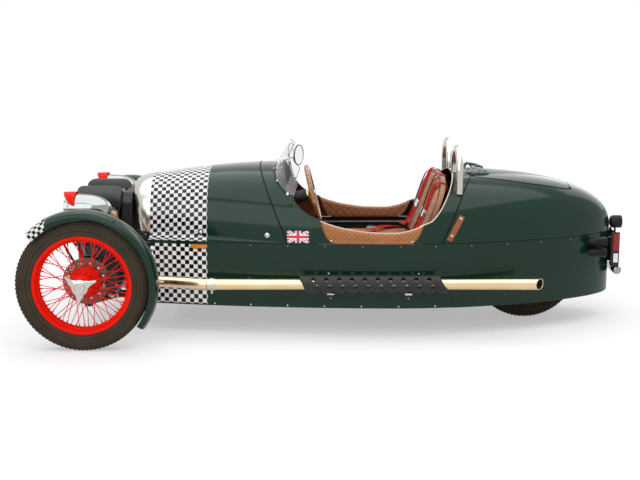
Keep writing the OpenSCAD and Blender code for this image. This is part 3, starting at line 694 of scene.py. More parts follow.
@dataclass(frozen=True)
class Glass(Finish):
    """Clear or tinted glass and lens plastic; ribs mould vertical flutes into it."""

    colour: Colour = (0.95, 0.97, 0.97)
    ribs: float = 0.0
    rough: float = 0.02
    clear: float = 1.0

    def dress(self, shader: Shader) -> None:
        """Glass with faint smears.

        Args:
            shader: the shader that is filled.
        """
        place = shader.place()
        smear = shader.noise(place, 7.0, 4.0)
        shader.set(Base_Color=self.colour, Roughness=smear * 0.03 + self.rough,
                   Transmission_Weight=self.clear, IOR=1.46)
        if self.ribs:
            _, y, _ = shader.split(place)
            shader.set(Normal=shader.bump((y * self.ribs).folded(1.0), 0.4, 0.002))


@dataclass(frozen=True)
class UnionFlag(Finish):
    """The crossed flag as a printed sticker, on a UV map that runs from 0 to 1."""

    blue: Colour = (0.01, 0.02, 0.16)
    white: Colour = (0.8, 0.8, 0.8)
    red: Colour = (0.55, 0.012, 0.02)

    def dress(self, shader: Shader) -> None:
        """Blue field, white and red diagonals, then the upright cross.

        Args:
            shader: the shader that is filled.
        """
        u, v, _ = shader.split(shader.flat())
        across, up = u - 0.5, v - 0.5
        one, two = abs(across - up), abs(across + up)
        across_abs, up_abs = abs(across), abs(up)
        colour: object = self.blue
        for first, first_half, second, second_half, ink in (
                (one, 0.13, two, 0.13, self.white), (one, 0.045, two, 0.045, self.red),
                (across_abs, 0.12, up_abs, 0.19, self.white), (across_abs, 0.07, up_abs, 0.11, self.red)):
            colour = shader.blend((first < first_half) + (second < second_half), colour, ink)
        shader.set(Base_Color=colour, Roughness=shader.noise(shader.place(), 60.0) * 0.1 + 0.25,
                   Coat_Weight=0.5)


GREEN = Paint("racing_green")
BONNET_CHECK = Paint("bonnet_check", check_from=0.702)
SIDE_CHECK = Paint("side_check", check_from=0.7, check_z=(0.16, 0.487), white=0.82)
GUARD_CHECK = Paint("guard_check", check_from=1.472, square=0.019)
RED = Paint("wheel_red", colour=(0.7, 0.009, 0.003), rough=0.26, gloss=0.06)
CHROME = Metal("chrome", colour=(0.68, 0.68, 0.67), rough=0.04, wear=0.04)
POLISHED = Metal("polished_alloy", colour=(0.6, 0.58, 0.54), rough=0.14, wear=0.12)
HOOP_STEEL = Metal("hoop_steel", colour=(0.6, 0.565, 0.525), rough=0.12, grain=(300.0, 300.0, 12.0),
                   wear=0.08)
# Chrome dimmed and tinted green: a painted reflection of darker, green surroundings, on lamps, hinges and the plate
# lamp.
DIMMED_REFLECTION_CHROME = Metal("lamp_chrome", colour=(0.33, 0.355, 0.35), rough=0.05, wear=0.05)
DISC_STEEL = Metal("drilled_steel", colour=(0.2, 0.145, 0.115), rough=0.3, grain=(90.0, 90.0, 90.0),
                   wear=0.16)
PIPE_STEEL = Metal("pipe_steel", colour=(0.8, 0.66, 0.46), rough=0.17, grain=(3.0, 160.0, 160.0), wear=0.12,
                   stain=(0.7, 0.48, 0.25))
BRASS = Metal("brass", colour=(0.72, 0.48, 0.16), rough=0.15, wear=0.1)
CAST = Coating("cast_alloy", colour=(0.2, 0.2, 0.195), rough=0.42, texture=380.0, depth=0.2, metal=1.0)
ENGINE_BLACK = Coating("engine_coat", colour=(0.016, 0.016, 0.017), rough=0.4, texture=420.0, depth=0.2)
FRAME_BLACK = Coating("frame_black", colour=(0.011, 0.011, 0.012), rough=0.36, texture=500.0)
PLASTIC = Coating("moulded_black", colour=(0.012, 0.012, 0.013), rough=0.42)
SHIELD = Coating("shield_coat", colour=(0.013, 0.013, 0.014), rough=0.4, texture=600.0, depth=0.16)
DARK = Coating("dark_lining", colour=(0.006, 0.006, 0.006), rough=0.75, texture=500.0, depth=0.3)
DAMPER = Coating("damper_black", colour=(0.02, 0.02, 0.02), rough=0.3, texture=300.0, depth=0.06)
DIAL = Coating("dial_cream", colour=(0.62, 0.58, 0.48), rough=0.35, texture=300.0, depth=0.03)
PALE = Coating("pale_piping", colour=(0.46, 0.38, 0.31), rough=0.5, texture=900.0, depth=0.2)
BLANK_PLATE = Coating("blank_plate", colour=(0.6, 0.6, 0.59), rough=0.35, texture=200.0, depth=0.03)
RUBBER = Rubber("rubber_skin")
TAN = Leather("tan_hide")
# The quilt's inner faces carry painted shade.
QUILT = Leather("tan_quilt", colour=(0.42, 0.17, 0.06), dark=(0.29, 0.105, 0.033), quilt=0.0125, inner=0.482)
SEAT_TAN = Leather("seat_leather", colour=(0.36, 0.185, 0.105), dark=(0.24, 0.105, 0.055))
STRAP_TAN = Leather("strap_tan", colour=(0.3, 0.105, 0.035), dark=(0.17, 0.05, 0.016))
LINING = Leather("lining_brown", colour=(0.11, 0.03, 0.009), dark=(0.06, 0.015, 0.005))
WOOD = Timber("rim_wood")
DASH_WOOD = Timber("veneer", colour=(0.24, 0.075, 0.022), dark=(0.1, 0.028, 0.01), grain=(30.0, 3.0, 30.0))
WEBBING = Weave("harness_red", colour=(0.55, 0.008, 0.008))
CARPET = Weave("carpet_black", colour=(0.01, 0.01, 0.01), pitch=300.0, rough=0.9)
SCREEN = Glass("screen_clear")
LENS = Glass("lamp_lens", ribs=160.0)
RED_LENS = Glass("red_lens", colour=(0.34, 0.01, 0.008), ribs=190.0, rough=0.08, clear=0.25)
AMBER_LENS = Glass("amber_glass", colour=(0.85, 0.24, 0.01), ribs=190.0, rough=0.08, clear=0.25)
MIRROR = Metal("mirror_glass", colour=(0.96, 0.96, 0.96), rough=0.01, wear=0.01)
EDGE = Coating("screen_edge", colour=(0.16, 0.17, 0.175), rough=0.2, depth=0.03)
GLOSS_BLACK = Coating("gloss_black", colour=(0.008, 0.008, 0.009), rough=0.14, depth=0.02, gloss=0.12)
SEAL = Coating("seam_seal", colour=(0.003, 0.003, 0.003), rough=0.6, gloss=0.1)
# Dark steel for the pipe under the shields: heat stain and painted shade.
HEAT_STAIN_AND_SHADE = Metal("heat_stained_steel", colour=(0.3, 0.25, 0.18), rough=0.34, grain=(6.0, 60.0, 60.0),
                wear=0.18, stain=(0.1, 0.075, 0.055))
SOOT = Coating("pipe_soot", colour=(0.01, 0.007, 0.005), rough=0.8, gloss=0.1)
FLAG = UnionFlag("union_flag")


def in_plan(u: float, v: float, d: float) -> Point:
    """A point of an outline drawn in plan, d up."""
    return (u, v, d)


def from_side(u: float, v: float, d: float) -> Point:
    """A point of an outline drawn from the side, d across the car."""
    return (u, d, v)


def from_ahead(u: float, v: float, d: float) -> Point:
    """A point of an outline drawn from ahead, d along the car."""
    return (d, u, v)


class Solid:
    """Vertices, faces and UVs of one mesh while it is put together."""

    def __init__(self) -> None:
        """Starts empty."""
        self.points: list[Point] = []
        self.uvs: list[Pair] = []
        self.faces: list[tuple[int, ...]] = []

    def add(self, points: Iterable[Sequence[float]], faces: Iterable[Sequence[int]],
            uvs: Sequence[Pair] | None = None) -> "Solid":
        """Adds points and the faces between them, counted from the first new point.

        Args:
            points: the new points.
            faces: the faces, by their points' numbers.
            uvs: a UV for each point.

        Returns:
            This solid.
        """
        start = len(self.points)
        fresh = [tuple(p) for p in points]
        self.points += fresh
        self.uvs += list(uvs) if uvs else [(0.0, 0.0)] * len(fresh)
        self.faces += [tuple(start + i for i in f) for f in faces]
        return self

    def grid(self, rows: Sequence[Sequence[Sequence[float]]], wrap: bool = False, loop: bool = False,
             caps: bool = False, uvs: Sequence[Pair] | None = None) -> "Solid":
        """Adds rows of points as a skin.

        Args:
            rows: the points, the same count in each row.
            wrap: closes each row on itself.
            loop: joins the last row to the first.
            caps: closes the first and last rows with a face.
            uvs: a UV for each point, row by row.

        Returns:
            This solid.
        """
        n, m = len(rows), len(rows[0])
        faces = [(i * m + j, i * m + (j + 1) % m, (i + 1) % n * m + (j + 1) % m, (i + 1) % n * m + j)
                 for i in range(n if loop else n - 1) for j in range(m if wrap else m - 1)]
        if caps:
            faces += [tuple(range(m))[::-1], tuple(range((n - 1) * m, n * m))]
        return self.add([p for row in rows for p in row], faces, uvs)

    def shell(self, outer: Sequence[Sequence[Point]], inner: Sequence[Sequence[Point]],
              uv: Callable[[int, int], Pair] | None = None) -> "Solid":
        """Adds a plate between two skins of the same count.

        Args:
            outer: rows of points of the outer skin.
            inner: rows of points of the inner skin.
            uv: the UV of a point by its row and place.

        Returns:
            This solid.
        """
        n, m = len(outer), len(outer[0])
        top = [[i * m + j for j in range(m)] for i in range(n)]
        low = [[n * m + i * m + j for j in range(m)] for i in range(n)]
        faces = []
        for i in range(n - 1):
            for j in range(m - 1):
                faces.append((top[i][j], top[i][j + 1], top[i + 1][j + 1], top[i + 1][j]))
                faces.append((low[i][j], low[i + 1][j], low[i + 1][j + 1], low[i][j + 1]))
            faces.append((top[i][0], top[i + 1][0], low[i + 1][0], low[i][0]))
            faces.append((top[i][-1], low[i][-1], low[i + 1][-1], top[i + 1][-1]))
        for j in range(m - 1):
            faces.append((top[0][j], low[0][j], low[0][j + 1], top[0][j + 1]))
            faces.append((top[-1][j], top[-1][j + 1], low[-1][j + 1], low[-1][j]))
        points = [p for row in outer for p in row] + [p for row in inner for p in row]
        marks = [uv(i, j) for i in range(n) for j in range(m)] * 2 if uv else None
        return self.add(points, faces, marks)

    def lathe(self, profile: Sequence[Pair], centre: Point = ORIGIN, axis: Point = UP, segments: int = 64,
              closed: bool = False) -> "Solid":
        """Turns a profile about an axis.

        Args:
            profile: (radius, distance along the axis) points.
            centre: where the axis starts.
            axis: its direction.
            segments: steps round the turn.
            closed: joins the profile's last point to its first.

        Returns:
            This solid.
        """
        turn = Vector(axis).to_track_quat("Z", "Y").to_matrix()
        base = Vector(centre)
        rows = [[base + turn @ Vector((r * c, r * s, a)) for c, s in circle(segments)] for r, a in profile]
        return self.grid(rows, wrap=True, loop=closed)

    def tube(self, path: Sequence[Sequence[float]], radius: float | Sequence[float], segments: int = 16,
             closed: bool = False, flat: float = 1.0, side: Point = UP) -> "Solid":
        """Sweeps a round or flattened section along a path.

        Args:
            path: the points it follows.
            radius: one radius, or one for each point.
            segments: steps round the section.
            closed: joins the path's end to its start.
            flat: the section's thickness as a share of its width.
            side: a direction across the path; on a flat section, the way its width lies.

        Returns:
            This solid.
        """
        spots = [Vector(p) for p in path]
        n = len(spots)
        radii = [radius] * n if isinstance(radius, (int, float)) else list(radius)
        rows = []
        up = Vector(side)
        for i, spot in enumerate(spots):
            before = spots[(i - 1) % n] if closed or i else spot
            after = spots[(i + 1) % n] if closed or i < n - 1 else spot
            along = (after - before).normalized()
            wide = along.cross(up) if flat == 1.0 else up - along * up.dot(along)
            if wide.length < 1e-3:
                wide = along.cross(Vector((0.31, 0.83, 0.46)))
            wide.normalize()
            thin = wide.cross(along).normalized()
            if flat == 1.0:
                up = thin
            rows.append([spot + wide * (radii[i] * c) + thin * (radii[i] * flat * s)
                         for c, s in circle(segments)])
        return self.grid(rows, wrap=True, loop=closed, caps=not closed)

    def rod(self, radius: float, low: float, high: float, centre: Point = ORIGIN, axis: Point = UP,
            segments: int = 16) -> "Solid":
        """Adds a plain cylinder.

        Args:
            radius: its radius.
            low: where it starts along the axis.
            high: where it ends.
            centre: where the axis starts.
            axis: its direction.
            segments: steps round it.

        Returns:
            This solid.
        """
        return self.lathe([(0, low), (radius, low), (radius, high), (0, high)], centre, axis, segments)

    def box(self, low: Point, high: Point) -> "Solid":
        """Adds a box between two corners."""
        corners = [(x, y, z) for z in (low[2], high[2]) for y in (low[1], high[1]) for x in (low[0], high[0])]
        return self.add(corners, [(0, 2, 3, 1), (4, 5, 7, 6), (0, 1, 5, 4), (2, 6, 7, 3), (0, 4, 6, 2),
                                  (1, 3, 7, 5)])

    def prism(self, outline: Sequence[Pair], place: Callable[[float, float, float], Point], low: float,
              high: float) -> "Solid":
        """Adds an outline given a thickness.

        Args:
            outline: the outline's points.
            place: puts (u, v, depth) into the car's frame.
            low: the lower depth.
            high: the upper depth.

        Returns:
            This solid.
        """
        n = len(outline)
        points = [place(u, v, d) for d in (low, high) for u, v in outline]
        faces = [tuple(range(n))[::-1], tuple(range(n, 2 * n))]
        faces += [(i, (i + 1) % n, n + (i + 1) % n, n + i) for i in range(n)]
        return self.add(points, faces)

    def mirrored(self) -> "Solid":
        """Adds a copy on the car's other side.

        Returns:
            This solid.
        """
        n = len(self.points)
        self.points += [(x, -y, z) for x, y, z in self.points]
        self.uvs += self.uvs[:n]
        self.faces += [tuple(n + i for i in reversed(f)) for f in self.faces]
        return self

    def handed(self, side: Side) -> "Solid":
        """Moves the whole mesh to one side of the car.

        Args:
            side: which side of the car.

        Returns:
            This solid.
        """
        if side is Side.RIGHT:
            self.points = [(x, -y, z) for x, y, z in self.points]
            self.faces = [tuple(reversed(f)) for f in self.faces]
        return self

    def mesh(self, name: str) -> bpy.types.Mesh:
        """A Blender mesh with doubles merged and its faces turned outwards.

        Args:
            name: the mesh's name.

        Returns:
            The mesh.
        """
        made = bpy.data.meshes.new(name)
        work = bmesh.new()
        marks = work.loops.layers.uv.new("panel")
        spots = [work.verts.new(p) for p in self.points]
        for face in self.faces:
            ring = list(dict.fromkeys(face))
            if len(ring) < 3:
                continue
            try:
                fresh = work.faces.new([spots[i] for i in ring])
            except ValueError:
                continue
            for loop, i in zip(fresh.loops, ring):
                loop[marks].uv = self.uvs[i]
        bmesh.ops.remove_doubles(work, verts=work.verts, dist=2e-6)
        bmesh.ops.dissolve_degenerate(work, edges=work.edges, dist=1e-7)
        bmesh.ops.delete(work, geom=[v for v in work.verts if not v.link_faces], context="VERTS")
        bmesh.ops.recalc_face_normals(work, faces=work.faces)
        work.to_mesh(made)
        work.free()
        return made


@dataclass(frozen=True)
class Berth:
    """Where a piece belongs: its body, its slot and the CAD nodes it stands for."""

    body: Body
    slot: Slot
    nodes: tuple[str, ...] = ()


def shade(obj: bpy.types.Object, angle: float = 35.0) -> None:
    """Smooths faces and keeps edges sharper than the angle in degrees.

    Args:
        obj: the object.
        angle: the angle.
    """
    for polygon in obj.data.polygons:
        polygon.use_smooth = True
    obj.data.set_sharp_from_angle(angle=radians(angle))


def fit(obj: bpy.types.Object, berth: Berth) -> bpy.types.Object:
    """Puts a finished object on its body and in its slot, and logs it.

    Args:
        obj: the object.
        berth: where it belongs.

    Returns:
        The object.
    """
    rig.ride(obj, berth.body.value)
    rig.slot(obj, berth.slot.value)
    if berth.nodes:
        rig.replaces(obj, *berth.nodes)
    log.info("%s on %s, %d faces", obj.name, berth.body.value, len(obj.data.polygons))
    return obj


def fixed(slot: Slot, *nodes: str) -> Berth:
    """A place on the chassis, standing for these nodes."""
    return Berth(Body.CHASSIS, slot, nodes)


def piece(name: str, solid: Solid, finish: Finish, berth: Berth, bevel: float = 0.0, steps: int = 2,
          sharp: float = 35.0) -> bpy.types.Object:
    """Makes a piece from a solid.

    Args:
        name: the piece's name.
        solid: its mesh.
        finish: what it is finished in.
        berth: where it belongs.
        bevel: width of the round on its sharp edges.
        steps: faces across that round.
        sharp: the angle above which an edge stays sharp.

    Returns:
        The piece.
    """
    obj = bpy.data.objects.new(name, solid.mesh(name))
    bpy.context.scene.collection.objects.link(obj)
    obj.data.materials.append(finish.material())
    if bevel:
        cut = obj.modifiers.new("edge_round", "BEVEL")
        cut.width, cut.segments, cut.limit_method, cut.angle_limit = bevel, steps, "ANGLE", radians(40)
    shade(obj, sharp)
    return fit(obj, berth)


class Repeat:
    """A Geometry Nodes tree that puts one small shape at each of many spots, turned to its axis."""

    def __init__(self, name: str, shape: Solid, finish: Finish) -> None:
        """Builds the tree round a shape whose Z axis is the one that gets turned.

        Args:
            name: name of the tree.
            shape: the repeated shape, at the origin.
            finish: what it is finished in.
        """
        self.name = name
        self.shape = bpy.data.objects.new(name + "_shape", shape.mesh(name + "_shape"))
        shade(self.shape)
        self.tree = bpy.data.node_groups.new(name, "GeometryNodeTree")
        for socket, way in (("Spots", "INPUT"), ("Result", "OUTPUT")):
            self.tree.interface.new_socket(socket, in_out=way, socket_type="NodeSocketGeometry")
        start, end = self._node("NodeGroupInput"), self._node("NodeGroupOutput")
        info = self._node("GeometryNodeObjectInfo")
        info.inputs["Object"].default_value = self.shape
        turn = self._node("FunctionNodeAlignRotationToVector")
        turn.axis = "Z"
        put = self._node("GeometryNodeInstanceOnPoints")
        real = self._node("GeometryNodeRealizeInstances")
        paint = self._node("GeometryNodeSetMaterial")
        paint.inputs["Material"].default_value = finish.material()
        for source, target in ((start.outputs["Spots"], put.inputs["Points"]),
                               (info.outputs["Geometry"], put.inputs["Instance"]),
                               (self._given("axis"), turn.inputs["Vector"]),
                               (turn.outputs["Rotation"], put.inputs["Rotation"]),
                               (self._given("size"), put.inputs["Scale"]),
                               (put.outputs["Instances"], real.inputs["Geometry"]),
                               (real.outputs["Geometry"], paint.inputs["Geometry"]),
                               (paint.outputs["Geometry"], end.inputs[0])):
            self.tree.links.new(source, target)

    def _node(self, kind: str) -> bpy.types.Node:
        """Adds a node to the tree."""
        return self.tree.nodes.new(kind)

    def _given(self, name: str) -> bpy.types.NodeSocket:
        """The output of a node that reads a vector stored on the spots.

        Args:
            name: the stored vector's name.

        Returns:
            The output.
        """
        node = self._node("GeometryNodeInputNamedAttribute")
        node.data_type = "FLOAT_VECTOR"
        node.inputs["Name"].default_value = name
        return node.outputs["Attribute"]

    def piece(self, name: str, spots: Sequence[Spot], berth: Berth,
              sizes: Sequence[Point] | None = None) -> bpy.types.Object:
        """Runs the tree and keeps its result as a plain mesh.

        Args:
            name: the piece's name.
            spots: a place and an axis for each repeat.
            berth: where the piece belongs.
            sizes: a scale on the shape's own axes for each.

        Returns:
            The piece.
        """
        cloud = bpy.data.meshes.new(name + "_spots")
        cloud.from_pydata([tuple(p) for p, _ in spots], [], [])
        axes = cloud.attributes.new("axis", "FLOAT_VECTOR", "POINT")
        scales = cloud.attributes.new("size", "FLOAT_VECTOR", "POINT")
        for i, (_, axis) in enumerate(spots):
            axes.data[i].vector = tuple(axis)
            scales.data[i].vector = tuple(sizes[i]) if sizes else (1.0, 1.0, 1.0)
        carrier = bpy.data.objects.new(name + "_spots", cloud)
        bpy.context.scene.collection.objects.link(carrier)
        step = carrier.modifiers.new(self.name, "NODES")
        step.node_group = self.tree
        bpy.context.view_layer.update()
        held = bpy.context.evaluated_depsgraph_get()
        plain = bpy.data.meshes.new_from_object(carrier.evaluated_get(held), depsgraph=held)
        carrier.modifiers.remove(step)
        bpy.data.objects.remove(carrier)
        plain.name = name
        for extra in ("axis", "size"):
            if extra in plain.attributes:
                plain.attributes.remove(plain.attributes[extra])
        obj = bpy.data.objects.new(name, plain)
        bpy.context.scene.collection.objects.link(obj)
        return fit(obj, berth)


def dome(radius: float, height: float, segments: int = 12, washer: float = 0.0) -> Solid:
    """A round-headed rivet or nut, on a washer where one is asked for.

    Args:
        radius: the head's radius.
        height: its height.
        segments: steps round it.
        washer: how far the washer stands out.

    Returns:
        The shape at the origin, its axis up.
    """
    sink, base = -0.0006, washer * 0.3
    foot = [(0.0, sink), (radius + washer, sink)]
    if washer:
        foot.append((radius + washer, base))
    arc = [(radius * cos(a), base + height * sin(a)) for a in (0.0, 0.5, 1.0)]
    return Solid().lathe([*foot, *arc, (0.0, base + height)], segments=segments)


def hexagon(across: float, height: float) -> Solid:
    """A hexagon bolt head on a round flange.

    Args:
        across: width across the flats.
        height: the head's height.

    Returns:
        The shape at the origin, its axis up.
    """
    solid = Solid().lathe([(0, -0.001), (across * 0.68, -0.001), (across * 0.68, height * 0.2),
                           (0, height * 0.2)], segments=16)
    r = across / sqrt(3)
    return solid.lathe([(0, height * 0.15), (r, height * 0.15), (r, height * 0.85), (r * 0.86, height),
                        (0, height)], segments=6)


def ring_spots(centre: Point, axis: str, radius: float, count: int, start: float = 0.0) -> list[Vector]:
    """Spots on a circle about X, Y or Z.

    Args:
        centre: the circle's centre.
        axis: the letter of its axis.
        radius: its radius.
        count: how many spots.
        start: angle of the first in degrees.

    Returns:
        The spots.
    """
    spots = []
    for k in range(count):
        a = radians(start) + 2 * pi * k / count
        u, v = radius * cos(a), radius * sin(a)
        step = {"X": (0, u, v), "Y": (u, 0, v), "Z": (u, v, 0)}[axis]
        spots.append(Vector(centre) + Vector(step))
    return spots


def curve(points: Sequence[Sequence[float]], count: int) -> list[Vector]:
    """A smooth path of count points through the given ones.

    Args:
        points: what the path runs through.
        count: how many points it gets.

    Returns:
        The path.
    """
    spots = [Vector(p) for p in points]
    spots = [spots[0] * 2 - spots[1], *spots, spots[-1] * 2 - spots[-2]]
    path = []
    for k in range(count):
        t = k / (count - 1) * (len(spots) - 3)
        i = min(int(t), len(spots) - 4)
        path.append(spline(*spots[i:i + 4], t - i))
    return path


@dataclass
class BodyForm:
    """The body's own surface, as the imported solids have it, with panels drawn fine and their seams open."""

    x_wide: float = -0.341
    x_tail: float = -1.576
    x_nose: float = 1.005
    x_merge: float = 0.255
    x_deck: float = -0.62
    x_seam: float = -0.62
    half_w: float = 0.498
    sill: float = 0.15
    belt: float = 0.503
    scuttle_z: float = 0.893
    deck_z: float = 0.853
    fall: float = 0.062
    taper: float = 0.139
    inset: float = 0.092
    ledge_rise: float = 0.03
    foot_gap: float = 0.0005
    power: float = 2.4
    tail_power: float = 1.75
    deck_power: float = 2.5
    tail_round: float = 0.65
    skin: float = 0.006
    seam: float = 0.0016
    bonnet_joint: tuple[Pair, ...] = ((0.0, 0.262), (1.0, 0.426))
    scuttle_edge: tuple[Pair, ...] = ((0.0, 0.02), (0.31, 0.088), (0.38, 0.15), (0.52, 0.217), (0.76, 0.27),
                                      (1.0, 0.3))
    deck_edge: tuple[Pair, ...] = ((0.0, -0.402), (0.26, -0.443), (0.34, -0.51), (0.69, -0.6), (1.0, -0.655))
    tail_joint: tuple[Pair, ...] = ((0.0, -0.563), (0.3, -0.612), (0.56, -0.655), (0.8, -0.702),
                                    (1.0, -0.762))
    lid_front: float = -0.769
    lid_back: float = -1.315
    lid_gap: float = 0.006
    lap: float = 0.022
    lap_run: float = 0.03
    lap_lift: float = 0.0014
    crown_split: float = 0.3
    lid_half: tuple[Pair, ...] = ((-1.315, 0.112), (-1.307, 0.128), (-1.285, 0.143), (-1.2, 0.172),
                                  (-1.0, 0.205), (-0.769, 0.2))

    def plan(self, x: float, s: float = 0.0) -> float:
        """Half width of the lower body at x, moved in by s.

        Args:
            x: place along the car.
            s: how far inside the surface.

        Returns:
            The half width.
        """
        if x >= self.x_wide:
            return self.half_w - s - self.taper * ((x - self.x_wide) / (self.x_nose - self.x_wide)) ** 2
        t = (self.x_wide - x) / (self.x_wide - self.x_tail - s)
        return (self.half_w - s) * max(0.0, 1 - t ** self.tail_power) ** self.tail_round

    def nose_part(self, x: float) -> float:
        """How far x is along the bonnet, from 0 at the scuttle to 1 at the nose."""
        return clamp01((x - self.x_merge) / (self.x_nose - self.x_merge))

    def width(self, x: float, s: float = 0.0) -> float:
        """Half width of the upper body at its foot."""
        return self.plan(x, s) - self.inset * self.nose_part(x) ** 1.4

    def foot(self, x: float) -> float:
        """Height of the upper body's foot."""
        return self.belt + self.foot_gap + self.ledge_rise * self.nose_part(x)

    def crown(self, x: float, s: float = 0.0) -> float:
        """Height of the upper body's crown.

        Args:
            x: place along the car.
            s: how far inside the surface.

        Returns:
            The height.
        """
        if x > self.x_deck + self.crown_split:
            along = max(0.0, x - self.x_merge) / (self.x_nose - self.x_merge)
            return self.scuttle_z - s - self.fall * along ** 2
        t = max(0.0, self.x_deck - x) / (self.x_deck - self.x_tail - s)
        share = max(0.0, 1 - t ** self.deck_power) ** (1 / self.deck_power)
        return self.belt + (self.deck_z - self.belt - s) * share

    def rise(self, a: float) -> float:
        """Share of the section's height at an angle in radians."""
        return max(0.0, sin(a)) ** (2 / self.power)

    def spot(self, x: float, a: float, s: float = 0.0) -> Point:
        """A point of the upper body at x and section angle a, moved in by s.

        Args:
            x: place along the car.
            a: section angle in radians.
            s: how far inside the surface.

        Returns:
            The point.
        """
        c = cos(a)
        y = self.width(x, s) * copysign(abs(c) ** (2 / self.power), c)
        return (x, y, self.foot(x) + max(0.0, self.crown(x, s) - self.foot(x)) * self.rise(a))

    def top(self, x: float, y: float) -> float:
        """Height of the upper body over a place in plan."""
        share = max(0.0, 1 - (abs(y) / self.width(x)) ** self.power) ** (1 / self.power)
        return self.foot(x) + (self.crown(x) - self.foot(x)) * share

    def angles(self, count: int) -> list[float]:
        """Section angles, closer together at the two feet, where the section turns fastest."""
        return [pi / 2 * (1 + copysign(abs(2 * j / count - 1) ** 0.8, 2 * j / count - 1))
                for j in range(count + 1)]

    def arc_lengths(self, rows: Sequence[Sequence[Point]]) -> list[list[float]]:
        """Length along each row of points from its first one.

        Args:
            rows: rows of points.

        Returns:
            For each row, the length at each of its points.
        """
        lengths = []
        for row in rows:
            total, line = 0.0, [0.0]
            for a, b in zip(row, row[1:]):
                total += (Vector(b) - Vector(a)).length
                line.append(total)
            lengths.append(line)
        return lengths

    def upper_panel(self, front: Sequence[Pair], back: Sequence[Pair], rows: int, steps: int = 72,
                    drop: float = 0.0, skin: float | None = None) -> Solid:
        """A panel of the upper body between two joints.

        Args:
            front: the front joint, x against the share of height.
            back: the rear joint.
            rows: rows along the car.
            steps: steps across it.
            drop: how far the panel lies inside the outer surface.
            skin: its thickness, or the body's own.

        Returns:
            The panel.
        """
        deep = drop + (self.skin if skin is None else skin)

        def place(i: int, a: float, s: float) -> Point:
            """A point on row i."""
            q = self.rise(a)
            return self.spot(mix(smooth_table(front, q), smooth_table(back, q), i / rows), a, s)

        turns = self.angles(steps)
        return Solid().shell([[place(i, a, drop) for a in turns] for i in range(rows + 1)],
                             [[place(i, a, deep) for a in turns] for i in range(rows + 1)])

    def moved(self, joint: Sequence[Pair], d: float) -> list[Pair]:
        """A joint moved along the car."""
        return [(q, x + d) for q, x in joint]

    def lapped(self, x: float, a: float, s: float) -> Point:
        """A point of the bonnet, which laps over the nose cowl's foot.

        Args:
            x: place along the car.
            a: section angle in radians.
            s: how far inside the surface.

        Returns:
            The point.
        """
        over = clamp01((x - self.x_nose + self.lap_run) / self.lap_run) * self.lap_lift
        _, y, z = self.spot(min(x, self.x_nose), a, s - over)
        return (x, y, z)

    def bonnet(self) -> Solid:
        """The bonnet, whose foot flares out as a ledge to the lower body's edge, with UVs in metres.

        Returns:
            The panel.
        """
        rows, steps, flare = 44, 72, 7
        back = self.moved(self.bonnet_joint, self.seam)
        turns = self.angles(steps)

        def ring(i: int, s: float) -> list[Point]:
            """One row, from the left edge of the ledge to the right one.

            Args:
                i: number of the row.
                s: how far inside the surface.

            Returns:
                The row's points.
            """
            t = i / rows
            front = self.x_nose + self.lap
            low = mix(front, smooth_table(back, 0.0), t)
            points = [self.lapped(mix(front, smooth_table(back, self.rise(a)), t), a, s) for a in turns]
            base = min(low, self.x_nose)
            w, z = self.width(base, s), self.belt + self.seam
            edge = max(self.plan(base, s), w + 0.0005)
            join = max(points[0][2] + 0.5 * (points[1][2] - points[0][2]), z + 0.001)
            side = []
            for k in range(flare):
                u = k / flare
                y = (1 - u) ** 2 * edge + (1 - (1 - u) ** 2) * w
                side.append((low, y, (1 - u * u) * z + u * u * join))
            ends = [(*points[k][:2], join) for k in (0, -1)]
            return [*side, ends[0], *points[1:-1], ends[1], *((x, -y, up) for x, y, up in reversed(side))]

        outer = [ring(i, 0.0) for i in range(rows + 1)]
        lengths = self.arc_lengths(outer)
        half = (len(outer[0]) - 1) / 2

        def uv(i: int, j: int) -> Pair:
            """Distance along the car and from the nearer edge of the ledge."""
            v = lengths[i][j] if j <= half else lengths[i][-1] - lengths[i][j]
            return (outer[i][j][0], v)

        return Solid().shell(outer, [ring(i, self.skin) for i in range(rows + 1)], uv)

    def levels(self) -> list[Pair]:
        """The lower wall's section: heights from the belt to the rolled sill, and how far each lies in."""
        top, sill = self.belt, self.sill
        return [(top - self.seam, 0.0), (top - 0.012, 0.0), (mix(sill, top, 0.5), 0.0), (sill + 0.012, 0.0),
                (sill + 0.004, 0.0015), (sill + 0.0012, 0.005), (sill, 0.01)]

    def lower_side(self, side: Side) -> Solid:
        """One slab side with a rolled sill, with UVs in metres.

        Args:
            side: which side of the car.

        Returns:
            The panel.
        """
        count = 60
        xs = [mix(self.x_nose - 0.005, self.x_seam + 0.0001, i / count) for i in range(count + 1)]
        levels = self.levels()
        outer = [[(x, self.plan(x) - d, z) for z, d in levels] for x in xs]
        inner = [[(x, self.plan(x) - self.skin - d, z) for z, d in levels] for x in xs]
        return Solid().shell(outer, inner, lambda i, j: (outer[i][j][0], outer[i][j][2])).handed(side)

    def stern_x(self, start: float, t: float, s: float = 0.0) -> float:
        """A station of the tail; they crowd towards the stern, where the plan turns fastest."""
        return mix(start, self.x_tail + s, 1 - (1 - t) ** 2.4)

    def lower_tail(self) -> Solid:
        """The wall round the stern, below the belt.

        Returns:
            The panel.
        """
        count = 54
        levels = self.levels()
        start = self.x_seam - 0.0001

        def line(s: float) -> list[Pair]:
            """The plan of the wall, moved in by s, from the left seam round to the right one.

            Args:
                s: how far inside the surface.

            Returns:
                The plan's points.
            """
            xs = [self.stern_x(start, i / count, s) for i in range(count + 1)]
            half = [(x, self.plan(x, s)) for x in xs]
            return half + [(x, -y) for x, y in reversed(half[:-1])]

        plans = {d: line(d) for d in {d for _, d in levels}}
        inner = line(self.skin)
        return Solid().shell([[(*plans[d][i], z) for z, d in levels] for i in range(len(inner))],
                             [[(*inner[i], z) for z, _ in levels] for i in range(len(inner))])

    def tail_upper(self) -> Solid:
        """The barrel tail's top round the lid's opening, cut from one shell.

        Returns:
            The panel.
        """
        rows, steps = 46, 72
        turns = self.angles(steps)

